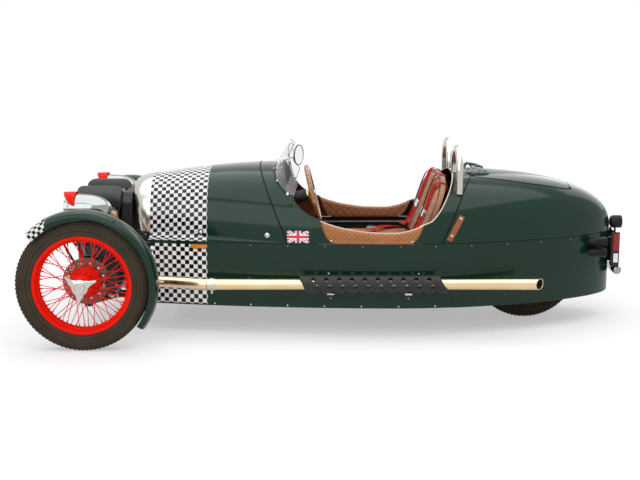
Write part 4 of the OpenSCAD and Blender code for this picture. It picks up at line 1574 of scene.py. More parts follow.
        def place(i: int, a: float, s: float) -> Point:
            """A point on row i; the last row is the stern."""
            start = smooth_table(self.tail_joint, self.rise(a)) - self.seam * 0.5
            return self.spot(self.stern_x(start, i / rows, s), a, s)

        return Solid().shell([[place(i, a, 0.0) for a in turns] for i in range(rows + 1)],
                             [[place(i, a, self.skin) for a in turns] for i in range(rows + 1)])

    def lid_outline(self, grow: float) -> list[Pair]:
        """The lid's plan, grown by an even gap, from its left front round to its right front.

        Args:
            grow: the gap.

        Returns:
            The outline's points.
        """
        xs = [mix(self.lid_front, self.lid_back + 0.004, i / 30) for i in range(31)]
        half = [(x, smooth_table(self.lid_half, x) + grow) for x in xs]
        half.append((self.lid_back - grow, self.lid_half[0][1] - 0.006))
        return half + [(x, -y) for x, y in reversed(half)]

    def lid(self) -> Solid:
        """The boot lid, lying in the tail's own surface.

        Returns:
            The panel.
        """
        rows, steps = 48, 28
        xs = [self.lid_front + (self.lid_back - self.lid_front) * (1 - (1 - i / rows) ** 1.5)
              for i in range(rows + 1)]

        def ring(x: float, drop: float) -> list[Point]:
            """One row across the lid.

            Args:
                x: place along the car.
                drop: how far inside the surface.

            Returns:
                The row's points.
            """
            half = smooth_table(self.lid_half, x)
            ys = [half * (1 - 2 * j / steps) for j in range(steps + 1)]
            return [(x, y, self.top(x, y) - drop) for y in ys]

        return Solid().shell([ring(x, 0.0) for x in xs], [ring(x, self.skin) for x in xs])


@dataclass
class Bodywork:
    """The painted body: bonnet, scuttle, deck, tail, lid, slab sides and what is fixed to them."""

    form: BodyForm
    edge_round: float = 0.0012
    rivet_pitch: float = 0.199
    sill_rivet_z: float = 0.163
    strap_x: Pair = (-0.672, -0.601)
    strap_z: Pair = (0.646, 0.519)
    flag_x: Pair = (0.148, 0.265)
    flag_z: Pair = (0.507, 0.572)

    def build(self) -> None:
        """Makes every painted panel and its fittings."""
        f = self.form
        scuttle = f.upper_panel(f.moved(f.bonnet_joint, -f.seam), f.scuttle_edge, 26)
        deck = f.upper_panel(f.deck_edge, f.moved(f.tail_joint, f.seam), 26)
        for name, solid, finish, node in (("bonnet_panel", f.bonnet(), BONNET_CHECK, "bonnet"),
                                          ("scuttle_panel", scuttle, GREEN, "scuttle"),
                                          ("rear_deck_panel", deck, GREEN, "rear_deck")):
            piece(name, solid, finish, fixed(Slot.GREEN, node), bevel=self.edge_round, sharp=Crease.PANEL)
        for side in Side:
            berth = fixed(Slot.GREEN, f"lower_side_{side.word}")
            piece(f"lower_side_panel_{side.word}", f.lower_side(side), SIDE_CHECK, berth, sharp=Crease.SHEET)
        piece("lower_tail_panel", f.lower_tail(), GREEN, fixed(Slot.GREEN, "lower_tail"), sharp=Crease.SHEET)
        self.tail()
        lid = Berth(Body.LID, Slot.GREEN, ("boot_lid",))
        piece("boot_lid_panel", f.lid(), GREEN, lid, bevel=self.edge_round, sharp=Crease.PANEL)
        self.seams()
        self.hinges()
        self.fasteners()
        self.straps()
        self.flags()
        self.nose()

    def seams(self) -> None:
        """Dark beads in the joints between the panels."""
        f = self.form
        turns = f.angles(96)
        sink = 0.001
        solid = Solid()
        for joint, r in ((f.bonnet_joint, 0.0048), (f.tail_joint, 0.0052),
                         (((0.0, f.x_nose), (1.0, f.x_nose)), 0.0016)):
            solid.tube([f.spot(smooth_table(joint, f.rise(a)), a, r - 0.0018) for a in turns], r, 10)
        front = [mix(0.1, f.x_nose - 0.004, i / 40) for i in range(41)]
        back = [mix(-0.455, f.x_seam, i / 8) for i in range(8)]
        back += [f.stern_x(f.x_seam, i / 60) for i in range(61)]
        for side in Side:
            for line in (front, back):
                solid.tube([(x, side.value * max(0.0, f.plan(x) - sink), f.belt) for x in line], 0.0022, 8)
        piece("panel_seams", solid, SEAL, fixed(Slot.PLASTIC))

    def hinges(self) -> None:
        """Two bright strap hinges, each with a leaf on the lid and a forked foot on the deck."""
        f = self.form
        x, z = f.lid_front, f.crown(f.lid_front) + 0.021
        foot = f.top(x + 0.062, 0.104) + 0.0006
        leaf, fork, slots, screws = Solid(), Solid(), Solid(), []
        barrel = [(0.0053, -0.5), (0.0082, -0.5), (0.009, -0.44), (0.009, 0.44), (0.0082, 0.5), (0.0053, 0.5)]
        for y in (-0.12, 0.12):
            low = [(x - d, f.top(x - d, y) + 0.0008) for d in (0.016, 0.034, 0.052, 0.07, 0.09)]
            back = low[-1]
            outline = [(x - 0.0055, z - 0.007), *low, (back[0] + 0.002, back[1] + 0.012),
                       (back[0] + 0.012, back[1] + 0.0165), (x - 0.04, z - 0.001), (x - 0.016, z + 0.002),
                       (x - 0.0055, z + 0.0075)]
            leaf.prism(outline, from_side, y - 0.0078, y + 0.0078)
            leaf.lathe([(r, w * 0.0156) for r, w in barrel], (x, y, z), LEFTWARD, 32, closed=True)
            for d in (0.022, 0.053):
                rise = f.top(x - d - 0.012, y) + 0.0062
                slots.box((x - d - 0.024, y - 0.0081, rise), (x - d, y + 0.0081, rise + 0.0065))
            screws += [((x - d, y, z - 0.0008 - 0.05 * (d - 0.03)), UP) for d in (0.036, 0.062)]
            arm = [(x + 0.0055, z + 0.0072), (x + 0.016, z - 0.002), (x + 0.036, foot + 0.004),
                   (x + 0.036, foot - 0.0015), (x + 0.016, foot - 0.0015), (x + 0.0055, z - 0.007)]
            for e in (-1, 1):
                fork.prism(arm, from_side, y + e * 0.0125 - 0.0033, y + e * 0.0125 + 0.0033)
                fork.lathe([(r, w * 0.0066) for r, w in barrel], (x, y + e * 0.0125, z), LEFTWARD, 32,
                           closed=True)
                fork.lathe([(0, 0.0), (0.0062, 0.0), (0.0058, 0.0016), (0.003, 0.0026), (0, 0.0028)],
                           (x, y + e * 0.0159, z), (0, e, 0), 20)
            fork.box((x + 0.018, y - 0.0155, foot - 0.0015), (x + 0.04, y + 0.0155, foot + 0.0035))
            fork.rod(0.0049, -0.016, 0.016, (x, y, z), LEFTWARD, 20)
        piece("lid_hinge_straps", leaf, DIMMED_REFLECTION_CHROME, Berth(Body.LID, Slot.POLISHED, ("lid_hinge_leaves",)))
        piece("lid_hinge_forks", fork, DIMMED_REFLECTION_CHROME, fixed(Slot.POLISHED, "lid_hinge_pins"))
        piece("lid_hinge_slots", slots, DARK, Berth(Body.LID, Slot.PLASTIC), bevel=0.0015)
        Repeat("hinge_screw", dome(0.0038, 0.0018, 12), POLISHED).piece(
            "lid_hinge_screws", screws, Berth(Body.LID, Slot.POLISHED))

    def tail(self) -> None:
        """Cuts the lid's opening out of the tail's shell and lays a dark seal round it and along its front."""
        f = self.form
        obj = piece("tail_upper_panel", f.tail_upper(), GREEN, fixed(Slot.GREEN, "tail_upper"),
                    sharp=Crease.PANEL)
        outline = f.lid_outline(f.lid_gap * 0.6)
        front = f.lid_front + f.lid_gap * 0.6
        outline = [(front, outline[0][1])] + outline + [(front, outline[-1][1])]
        carve(obj, Solid().prism(outline, in_plan, f.belt + 0.08, f.deck_z + 0.2), GREEN, Crease.PANEL)
        lip = [(x, y, f.top(x, y) - 0.002) for x, y in f.lid_outline(0.0047)]
        ys = [mix(-0.203, 0.203, i / 24) for i in range(25)]
        edge = [(front - 0.0018, y, f.top(front, y) - 0.0018) for y in ys]
        piece("lid_seal", Solid().tube(curve(lip, 160), 0.004, 10).tube(edge, 0.0028, 10), SEAL,
              fixed(Slot.PLASTIC))

    def side_spot(self, x: float, z: float, side: Side) -> tuple[Point, Point]:
        """A spot on the lower body's outside and its outward axis.

        Args:
            x: place along the car.
            z: the height.
            side: which side of the car.

        Returns:
            The spot and the axis.
        """
        f = self.form
        slope = (f.plan(x + 0.004) - f.plan(x - 0.004)) / 0.008
        axis = Vector((-slope, 1.0, 0.0)).normalized()
        return (x, side.value * f.plan(x), z), (axis.x, side.value * axis.y, 0.0)

    def upper_spot(self, x: float, z: float, side: Side, lift: float = 0.0) -> tuple[Point, Point]:
        """A spot on the upper body's outside at a height, and its outward axis.

        Args:
            x: place along the car.
            z: the height.
            side: which side of the car.
            lift: how far off the surface.

        Returns:
            The spot and the axis.
        """
        f = self.form
        share = clamp01((z - f.foot(x)) / (f.crown(x) - f.foot(x)))
        a = asin(share ** (f.power / 2))
        here = Vector(f.spot(x, a))
        up = Vector(f.spot(x, a + 0.01)) - Vector(f.spot(x, a - 0.01))
        along = Vector(f.spot(x + 0.004, a)) - Vector(f.spot(x - 0.004, a))
        axis = up.cross(along).normalized()
        if axis.y < 0:
            axis = -axis
        here += axis * lift
        return (here.x, side.value * here.y, here.z), (axis.x, side.value * axis.y, axis.z)

    def fasteners(self) -> None:
        """Rivets along the sill, the belt and the tail, and the bonnet's round catches."""
        f = self.form
        berth = fixed(Slot.POLISHED)
        rivet = Repeat("panel_rivet", dome(0.0046, 0.003, 12), CHROME)
        xs = [0.861 - i * self.rivet_pitch for i in range(8)]
        spots = [self.side_spot(x, self.sill_rivet_z, side) for side in Side for x in xs]
        spots += [self.side_spot(x, 0.342, side) for side in Side for x in (0.042, -0.44)]
        rivet.piece("panel_rivets", spots, berth)
        belt = (0.463, 0.262, 0.061, -0.139, -0.343, -0.53, -0.726, -0.925, -1.12, -1.3)
        spots = [self.side_spot(x, f.belt - 0.014, side) for side in Side for x in belt]
        Repeat("belt_rivet", dome(0.0038, 0.0026, 10), EDGE).piece("belt_rivets", spots, berth)
        catch = Repeat("bonnet_catch", dome(0.0105, 0.006, 20, washer=0.0035), CHROME)
        spots = [self.upper_spot(x, z, side) for side in Side for x, z in ((0.372, 0.545), (0.738, 0.545))]
        catch.piece("bonnet_catches", spots, berth)
        ring = Solid().lathe([(0.0145, 0.0), (0.0175, 0.0), (0.0172, 0.0014), (0.0145, 0.0016)],
                             segments=24, closed=True)
        Repeat("catch_ring", ring, SEAL).piece("bonnet_catch_rings", spots, fixed(Slot.PLASTIC))
        spots = [self.upper_spot(0.248, 0.7065, side) for side in Side]
        Repeat("scuttle_knob", dome(0.0125, 0.009, 20, washer=0.004), GREEN).piece(
            "scuttle_knobs", spots, fixed(Slot.GREEN))

    def straps(self) -> None:
        """Leather straps from the deck down to the belt, each with a stud at both ends."""
        crown = ((-0.0145, 0.0006), (-0.0135, 0.0028), (0.0, 0.0036), (0.0135, 0.0028), (0.0145, 0.0006))
        back = (-0.014, -0.007, 0.0, 0.007, 0.014)
        solid, studs = Solid(), []
        for side in Side:
            count, slant = 12, 0.45
            outer, inner = [], []
            for i in range(count + 1):
                x, z = mix(*self.strap_x, i / count), mix(*self.strap_z, i / count)
                end = 0.72 if i in (0, count) else 1.0
                outer.append([self.upper_spot(x + w * end, z + w * end * slant, side, lift)[0]
                              for w, lift in crown])
                inner.append([self.upper_spot(x + w, z + w * slant, side, 0.0004)[0] for w in back])
            solid.shell(outer, inner)
            for t in (0.1, 0.8):
                studs.append(self.upper_spot(mix(*self.strap_x, t), mix(*self.strap_z, t), side, 0.003))
        piece("hood_straps", solid, STRAP_TAN, fixed(Slot.LEATHER))
        Repeat("strap_stud", dome(0.0055, 0.003, 14, washer=0.0012), CHROME).piece(
            "strap_studs", studs, fixed(Slot.POLISHED))

    def flags(self) -> None:
        """The small flag sticker on each side of the scuttle."""
        solid = Solid()
        count = 8

        def sheet(side: Side, lift: float) -> list[list[Point]]:
            """The sticker's face at a height over the panel.

            Args:
                side: which side of the car.
                lift: how far off the surface.

            Returns:
                Rows of points.
            """
            xs = [mix(*self.flag_x, i / count) for i in range(count + 1)]
            zs = [mix(*self.flag_z, j / count) for j in range(count + 1)]
            return [[self.upper_spot(x, z, side, lift)[0] for z in zs] for x in xs]

        for side in Side:
            solid.shell(sheet(side, 0.0007), sheet(side, 0.0002), lambda i, j: (i / count, j / count))
        piece("flag_stickers", solid, FLAG, fixed(Slot.GREEN))

    def nose(self) -> None:
        """The polished nose, its rolled lip and the slatted grille inside."""
        f = self.form
        depth, roll, lean, skin = 0.112, 0.058, 0.046, 0.006
        turns = f.angles(72)
        base_w, base_z, top_z = f.width(f.x_nose), f.foot(f.x_nose), f.crown(f.x_nose)

        def spot(a: float, t: float, s: float) -> Point:
            """A point of the cowl at section angle a, t of the way round its lip.

            Args:
                a: section angle in radians.
                t: share of the lip's turn.
                s: how far inside the surface.

            Returns:
                The point.
            """
            th = radians(112) * t
            shrink = s + roll * (1 - cos(th))
            q = f.rise(a)
            c = cos(a)
            x = f.x_nose + f.seam * 0.5 + (depth - s) * sin(th) + lean * (q - 0.55) * sin(min(pi / 2, th))
            return (x, (base_w - shrink) * copysign(abs(c) ** (2 / f.power), c),
                    base_z + (top_z - base_z - shrink) * q)

        steps = 28
        solid = Solid().shell([[spot(a, i / steps, 0.0) for a in turns] for i in range(steps + 1)],
                              [[spot(a, i / steps, skin) for a in turns] for i in range(steps + 1)])
        piece("nose_cowl_shell", solid, POLISHED, fixed(Slot.POLISHED, "nose_cowl"), bevel=0.001,
              sharp=Crease.PANEL)
        x, z0 = f.x_nose + 0.0475, base_z + 0.012
        w, h = base_w - 0.021, top_z - base_z - 0.021
        slats = []
        for i in range(-20, 21):
            y = i * 0.0112
            top = h * max(0.0, 1 - (abs(y) / w) ** f.power) ** (1 / f.power)
            if top > 0.03:
                slats.append(((x, y, z0), UP, (1.0, 1.0, top - 0.014)))
        slat = Solid().prism([(-0.002, 0.0), (0.0, 0.0016), (0.002, 0.0), (0.0, -0.0016)], in_plan, 0.0, 1.0)
        spots, sizes = [(p, a) for p, a, _ in slats], [s for _, _, s in slats]
        berth = fixed(Slot.PLASTIC, "nose_grille")
        Repeat("grille_slat", slat, ENGINE_BLACK).piece("grille_slats", spots, berth, sizes=sizes)
        rim = [(x, w * copysign(abs(cos(a)) ** (2 / f.power), cos(a)), base_z + h * f.rise(a)) for a in turns]
        piece("grille_frame", Solid().tube(rim, 0.005, 10).tube([rim[0], rim[-1]], 0.005, 10), ENGINE_BLACK,
              fixed(Slot.PLASTIC))
        back = Solid().prism([(p[1] * 0.98, p[2]) for p in rim], from_ahead, x - 0.03, x - 0.027)
        piece("radiator_core", back, DARK, fixed(Slot.PLASTIC))


def carve(obj: bpy.types.Object, tool: Solid, finish: Finish, sharp: float = 35.0) -> None:
    """Cuts a solid out of a piece and keeps the result as its mesh.

    Args:
        obj: the piece.
        tool: what is cut away.
        finish: the piece's finish.
        sharp: the angle above which an edge stays sharp.
    """
    knife = bpy.data.objects.new("knife", tool.mesh("knife"))
    bpy.context.scene.collection.objects.link(knife)
    cut = obj.modifiers.new("cut", "BOOLEAN")
    cut.operation, cut.object, cut.solver = "DIFFERENCE", knife, "EXACT"
    held = bpy.context.evaluated_depsgraph_get()
    cleared = bpy.data.meshes.new_from_object(obj.evaluated_get(held), depsgraph=held)
    obj.modifiers.remove(cut)
    bpy.data.objects.remove(knife)
    cleared.materials.clear()
    cleared.materials.append(finish.material())
    obj.data = cleared
    shade(obj, sharp)


def bar_spot(start: Sequence[float], end: Sequence[float]) -> tuple[Vector, Vector, Point]:
    """Place, axis and scale that lay a bar of unit length between two points."""
    a, b = Vector(start), Vector(end)
    return a, (b - a).normalized(), (1.0, 1.0, (b - a).length)


@dataclass
class Tyre:
    """A tyre with shouldered tread, grooves and raised rings on its walls.

    wall has shares of the height above the rim and of the half width, from the lower wall to the tread.
    """

    radius: float
    width: float
    rim_r: float
    bead: float
    lugs: int = 96
    wall: tuple[Pair, ...] = ((0.28, 0.945), (0.3, 0.905), (0.33, 0.91), (0.35, 0.985), (0.44, 1.0),
                              (0.5, 1.0), (0.52, 0.955), (0.55, 0.955), (0.57, 0.99), (0.68, 0.965),
                              (0.7, 0.9), (0.73, 0.89), (0.75, 0.93), (0.82, 0.885), (0.84, 0.8),
                              (0.87, 0.8), (0.92, 0.75), (0.955, 0.62), (0.965, 0.52), (0.9, 0.5),
                              (0.9, 0.43), (0.985, 0.41), (0.995, 0.22), (0.9, 0.2), (0.9, 0.13))

    def profile(self) -> list[Pair]:
        """The section as (radius, distance from the middle plane), from bead to bead.

        Returns:
            The section's points.
        """
        h, r, b = self.width / 2, self.radius, self.rim_r
        foot = [(b + 0.0004, self.bead), (b + 0.005, mix(self.bead, h, 0.55)),
                (b + 0.009, mix(self.bead, h, 0.62)), (mix(b, r, 0.16), mix(self.bead, h, 0.72))]
        half = [*foot, *((mix(b, r, t), h * w) for t, w in self.wall), (r - 0.0003, h * 0.11)]
        return half + [(q, -a) for q, a in reversed(half)]

    def solid(self, centre: Point) -> Solid:
        """The tyre's mesh about an axle along Y."""
        return Solid().lathe(self.profile(), centre, LEFTWARD, 120, closed=True)

    def lug_spots(self, centre: Point) -> list[Spot]:
        """Spots for the shoulder lugs round both edges of the tread.

        Args:
            centre: the wheel's centre.

        Returns:
            A place and an axis for each lug.
        """
        spots = []
        for edge in (-1, 1):
            middle = (centre[0], centre[1] + edge * self.width / 2 * 0.7, centre[2])
            for p in ring_spots(middle, "Y", mix(self.rim_r, self.radius, 0.925), self.lugs, edge * 0.9):
                spots.append((p, (p - Vector(middle)).normalized() + Vector((0, edge * 0.75, 0))))
        return spots


@dataclass
class FrontWheel:
    """One wire wheel with its tyre, drilled disc and eared spinner, and the mudguard beside it."""

    side: Side
    x: float = 1.302
    y: float = 0.755
    z: float = 0.342
    tyre_w: float = 0.105
    rim_r: float = 0.256
    rim_half: float = 0.037
    spokes: int = 60
    spoke_r: float = 0.002
    hub_in: float = 0.679
    hub_out: float = 0.827
    disc_y: float = 0.671
    guard_r: float = 0.362
    guard_w: float = 0.14
    guard_from: float = 44.5
    guard_to: float = 216.5
    guard_lip: float = -0.012
    guard_skin: float = 0.0032
    front_lip: float = 0.02
    front_share: float = 0.3

    @property
    def wheel(self) -> Body:
        """The body that spins."""
        return Body.WHEEL_LEFT if self.side is Side.LEFT else Body.WHEEL_RIGHT

    @property
    def knuckle(self) -> Body:
        """The body that steers."""
        return Body.KNUCKLE_LEFT if self.side is Side.LEFT else Body.KNUCKLE_RIGHT

    def berth(self, slot: Slot, *nodes: str) -> Berth:
        """A place on the wheel, standing for nodes of this side."""
        return Berth(self.wheel, slot, tuple(f"{n}_{self.side.word}" for n in nodes))

    def name(self, word: str) -> str:
        """A piece's name with this side's word."""
        return f"{word}_{self.side.word}"

    def turned(self, profile: Sequence[Pair], segments: int = 96, closed: bool = True) -> Solid:
        """A profile of (radius, distance from the car's middle) turned about the axle."""
        return Solid().lathe(profile, (self.x, 0, self.z), LEFTWARD, segments, closed).handed(self.side)

    def around(self, r: float, a: float, y: float) -> Point:
        """A point at a radius and an angle about the axle, a from forward to up."""
        return (self.x + r * cos(a), y, self.z + r * sin(a))

    def flip(self, p: Sequence[float]) -> Vector:
        """A point or axis moved to this side."""
        return Vector((p[0], p[1] * self.side.value, p[2]))

    def build(self) -> None:
        """Makes the wheel and the mudguard."""
        self.tyre()
        self.rim_and_hub()
        self.lacing()
        self.disc()
        self.spinner()
        self.mudguard()

    def tyre(self) -> None:
        """The tyre and its shoulder lugs."""
        tyre = Tyre(self.z, self.tyre_w, self.rim_r, self.rim_half + 0.003)
        centre = (self.x, self.y * self.side.value, self.z)
        piece(self.name("front_tyre"), tyre.solid(centre), RUBBER, self.berth(Slot.TYRE, "tyre_front"),
              sharp=Crease.MOULDED)
        lug = Solid().box((-0.0045, -0.006, -0.003), (0.0045, 0.006, 0.0022))
        Repeat(self.name("tread_lug"), lug, RUBBER).piece(
            self.name("front_tread_lugs"), tyre.lug_spots(centre), self.berth(Slot.TYRE))

    def rim_and_hub(self) -> None:
        """The red drop-centre rim and the hub with its flanges."""
        r, h, y = self.rim_r, self.rim_half, self.y
        lip = [(0.0, h + 0.004), (-0.0005, h + 0.001), (0.001, h - 0.001), (0.012, h - 0.003), (0.014, 0.024),
               (0.016, 0.019), (0.024, 0.013), (0.026, 0.01)]
        well = [(0.004, h + 0.0045), (0.008, h + 0.003), (0.015, h + 0.0012), (0.018, h - 0.003),
                (0.0195, 0.025), (0.022, 0.02), (0.0285, 0.017), (0.0315, 0.013), (0.032, 0.0)]
        rim = [(d, -a) for d, a in lip] + lip[::-1] + well + [(d, -a) for d, a in well[-2::-1]]
        solid = self.turned([(r - d, y + a) for d, a in rim], 120)
        near, far = self.hub_in, self.hub_out
        hub = [(0.0185, near), (0.074, near), (0.079, near + 0.003), (0.08, near + 0.01),
               (0.076, near + 0.013), (0.05, near + 0.019), (0.044, near + 0.026), (0.04, y + 0.03),
               (0.044, y + 0.046), (0.056, y + 0.051), (0.058, y + 0.054), (0.058, y + 0.06),
               (0.054, y + 0.063), (0.036, y + 0.066), (0.034, y + 0.069), (0.034, far), (0.0185, far)]
        solid.lathe([(q, self.side.value * a) for q, a in hub], (self.x, 0, self.z), LEFTWARD, 64,
                    closed=True)
        piece(self.name("wheel_rim_hub"), solid, RED, self.berth(Slot.RED, "wire_wheel"), sharp=Crease.TURNED)

    def lacing(self) -> None:
        """Spokes that cross in pairs, their elbows in the hub and nipples in the rim."""
        bars, elbows, nipples = [], [], []
        for k in range(self.spokes):
            outer, turn = k % 2 == 0, 1 if (k // 2) % 2 == 0 else -1
            a = 2 * pi * k / self.spokes
            b = a + turn * radians(27)
            hub_r = 0.052 if outer else 0.072
            hub_y = (self.y + 0.057 if outer else self.hub_in + 0.006) + turn * 0.003
            end_r, end_y = self.rim_r - 0.029, self.y + (0.008 if outer else -0.008)
            start, end = self.flip(self.around(hub_r, -b, hub_y)), self.flip(self.around(end_r, -a, end_y))
            bars.append(bar_spot(start, end))
            way = (end - start).normalized()
            nipples.append((end - way * 0.016, way))
            elbows.append((start - way * 0.003, way))
        spots, sizes = [(p, a) for p, a, _ in bars], [s for _, _, s in bars]
        spoke = Repeat(self.name("spoke"), Solid().rod(self.spoke_r, 0, 1, segments=8), RED)
        spoke.piece(self.name("wheel_spokes"), spots, self.berth(Slot.RED), sizes=sizes)
        nipple = Solid().lathe([(0, 0), (0.0034, 0), (0.004, 0.003), (0.004, 0.014), (0.0048, 0.016),
                                (0.0048, 0.019), (0, 0.019)], segments=8)
        Repeat(self.name("nipple"), nipple, RED).piece(self.name("spoke_nipples"), nipples,
                                                       self.berth(Slot.RED))
        Repeat(self.name("elbow"), dome(0.0042, 0.006, 8), RED).piece(
            self.name("spoke_elbows"), elbows, self.berth(Slot.RED))

    def disc(self) -> None:
        """The drilled brake disc on its bell."""
        y, bell = self.disc_y, self.hub_in - 0.0004
        profile = [(0.03, bell), (0.072, bell), (0.076, bell - 0.002), (0.076, y + 0.005),
                   (0.1215, y + 0.005), (0.122, y + 0.0045), (0.122, y - 0.0045), (0.1215, y - 0.005),
                   (0.07, y - 0.005), (0.07, bell - 0.005), (0.03, bell - 0.005)]
        berth = self.berth(Slot.DISC, "brake_disc")
        obj = piece(self.name("drilled_disc"), self.turned(profile, 96), DISC_STEEL, berth, sharp=Crease.CAST)
        holes = Solid()
        for ring, (r, turn) in enumerate(((0.086, 0.0), (0.099, 5.0), (0.112, 10.0))):
            for p in ring_spots((self.x, y * self.side.value, self.z), "Y", r, 24, turn + ring):
                holes.rod(0.0034, -0.012, 0.012, p, LEFTWARD, 10)
        carve(obj, holes, DISC_STEEL, Crease.CAST)
        bolts = [(p, self.flip(LEFTWARD))
                 for p in ring_spots((self.x, (y + 0.0052) * self.side.value, self.z), "Y", 0.0925, 12, 15)]
        Repeat(self.name("disc_bolt"), dome(0.0095, 0.0026, 18), POLISHED).piece(
            self.name("disc_bolts"), bolts, self.berth(Slot.POLISHED))

    def spinner(self) -> None:
        """The knock-off nut: a domed middle and three swept, pointed ears."""
        base = self.hub_out + 0.0004
        nut = [(0.0181, 0.0), (0.04, 0.0), (0.0425, 0.003), (0.043, 0.011), (0.0405, 0.0175),
               (0.034, 0.0215), (0.0295, 0.0225), (0.028, 0.0255), (0.0245, 0.0262), (0.023, 0.024),
               (0.012, 0.0255), (0.0, 0.026)]
        solid = self.turned([(q, base + a) for q, a in nut], 48, closed=False)
        ears = Solid()
        outline = [(0.02, -0.03), (0.034, -0.022), (0.044, -0.009), (0.056, 0.001), (0.072, 0.009),
                   (0.086, 0.016), (0.09, 0.021), (0.087, 0.0255), (0.072, 0.0262), (0.056, 0.0285),
                   (0.04, 0.0315), (0.02, 0.034)]
        for turn in (70, 190, 310):
            c, n = cos(radians(turn)), sin(radians(turn))
            rows = []
            for depth, shrink in ((0.004, 0.8), (0.006, 1.0), (0.013, 1.0), (0.0165, 0.78), (0.0175, 0.5)):
                row = []
                for u, v in outline:
                    w = v + (0.008 - v) * (1 - shrink) * 0.5
                    lift = depth - 0.1 * max(0.0, u - 0.045) * (1 if depth > 0.01 else -0.4)
                    row.append((self.x + u * c - w * n, base + lift, self.z - u * n - w * c))
                rows.append(row)
            ears.grid(rows, wrap=True, caps=True)
        ears.handed(self.side)
        solid.add(ears.points, ears.faces)
        piece(self.name("eared_spinner"), solid, POLISHED, self.berth(Slot.POLISHED, "spinner"),
              sharp=Crease.EARED)

    def mudguard(self) -> None:
        """The cycle wing with rolled edges and a rounded front, on its two stays."""
        r, h, count = self.guard_r, self.guard_w / 2, 72
        section = [(-1.0, -0.002), (-0.95, 0.006), (-0.86, 0.013), (-0.7, 0.0185), (-0.5, 0.0222),
                   (-0.25, 0.025), (0.0, 0.026)]
        section += [(-a, b) for a, b in reversed(section[1:-1])] + [(0.985, 0.0), (1.0, -0.008),
                                                                    (1.0, self.guard_lip)]

        def deeper(i: int) -> float:
            """How much further the outer lip comes down near the front."""
            return self.front_lip * sqrt(max(0.0, 1 - i / count / self.front_share))

        def ring(i: int, drop: float) -> list[Point]:
            """One row across the guard, narrowed at its two ends.

            Args:
                i: number of the row.
                drop: how far inside the surface.

            Returns:
                The row's points.
            """
            t = i / count
            a = radians(mix(self.guard_from, self.guard_to, t))
            end = min(t, 1 - t) * (self.guard_to - self.guard_from) / 7.0
            narrow = 0.9 + 0.1 * sqrt(max(0.0, 1 - (1 - min(1.0, end)) ** 2))
            row = section[:-1] + [(section[-1][0], section[-1][1] - deeper(i))]
            wide = h * narrow
            return [self.around(r + b - drop, a, self.y + w * wide * (1 - drop * 6)) for w, b in row]

        outer = [ring(i, 0.0) for i in range(count + 1)]
        inner = [ring(i, self.guard_skin) for i in range(count + 1)]
        step = radians(self.guard_to - self.guard_from) / count * (r + 0.02)
        across = [0.0]
        for (w0, b0), (w1, b1) in zip(section, section[1:]):
            across.append(across[-1] + hypot((w1 - w0) * h, b1 - b0))

        def uv(i: int, j: int) -> Pair:
            """Distance along the guard and across it, in metres."""
            return (i * step, across[j] + (deeper(i) if j == len(section) - 1 else 0.0))

        solid = Solid().shell(outer, inner, uv).handed(self.side)
        berth = Berth(self.knuckle, Slot.GREEN, (f"mudguard_{self.side.word}",))
        piece(self.name("cycle_wing"), solid, GUARD_CHECK, berth, bevel=0.001, sharp=Crease.PANEL)
        wire = Solid()
        for edge in (0, -1):
            wire.tube([row[edge] for row in outer], self.guard_skin, 10)
        piece(self.name("wing_edge_wire"), wire.handed(self.side), GREEN, Berth(self.knuckle, Slot.GREEN))
        stays, bolts = Solid(), []
        for turn in (62, 118):
            a = radians(turn)
            way = 1 if turn < 90 else -1
            reach = r + 0.004
            foot = (self.x + way * 0.058, 0.617, 0.404)
            head = self.around(reach, a, self.y - h + 0.008)
            stays.tube(curve([foot, tuple(mix(p, q, 0.5) for p, q in zip(foot, head)), head], 14), 0.006, 12)
            over = [self.around(r + 0.019 + 0.0035 * cos(w * 1.4), a, self.y + w * (h - 0.01))
                    for w in (-1, -0.6, -0.2, 0.2, 0.6, 1)]
            stays.tube([head, *over], 0.0045, 10)
            for w in (-0.5, 0.5):
                bolts.append((self.flip(self.around(r + 0.0222, a, self.y + w * h)),
                              self.flip((cos(a), 0.3 * w, sin(a)))))
        piece(self.name("wing_stays"), stays.handed(self.side), FRAME_BLACK, Berth(self.knuckle, Slot.FRAME))
        Repeat(self.name("wing_bolt"), dome(0.0055, 0.0025, 10), GREEN).piece(
            self.name("wing_bolts"), bolts, Berth(self.knuckle, Slot.GREEN))


@dataclass
class RearWheel:
    """The single wheel behind, under the tail."""

    x: float = -1.09
    z: float = 0.306
    tyre_w: float = 0.175
    rim_r: float = 0.218
    bead: float = 0.073
    lugs: int = 84

    def build(self) -> None:
        """Makes the wide tyre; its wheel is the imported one."""
        tyre = Tyre(self.z, self.tyre_w, self.rim_r, self.bead, self.lugs)
        centre = (self.x, 0.0, self.z)
        piece("rear_tyre", tyre.solid(centre), RUBBER, Berth(Body.REAR_WHEEL, Slot.TYRE, ("tyre_rear",)),
              sharp=Crease.MOULDED)
        lug = Solid().box((-0.0055, -0.009, -0.003), (0.0055, 0.009, 0.0022))
        berth = Berth(Body.REAR_WHEEL, Slot.TYRE)
        Repeat("rear_tread_lug", lug, RUBBER).piece("rear_tread_lugs", tyre.lug_spots(centre), berth)
        nuts = [(p, (0, e, 0)) for e in (-1, 1) for p in ring_spots((self.x, e * 0.084, self.z), "Y", 0.028,
                                                                    5)]
        Repeat("wheel_nut", hexagon(0.014, 0.01), POLISHED).piece(
            "rear_wheel_nuts", nuts, Berth(Body.REAR_WHEEL, Slot.POLISHED))


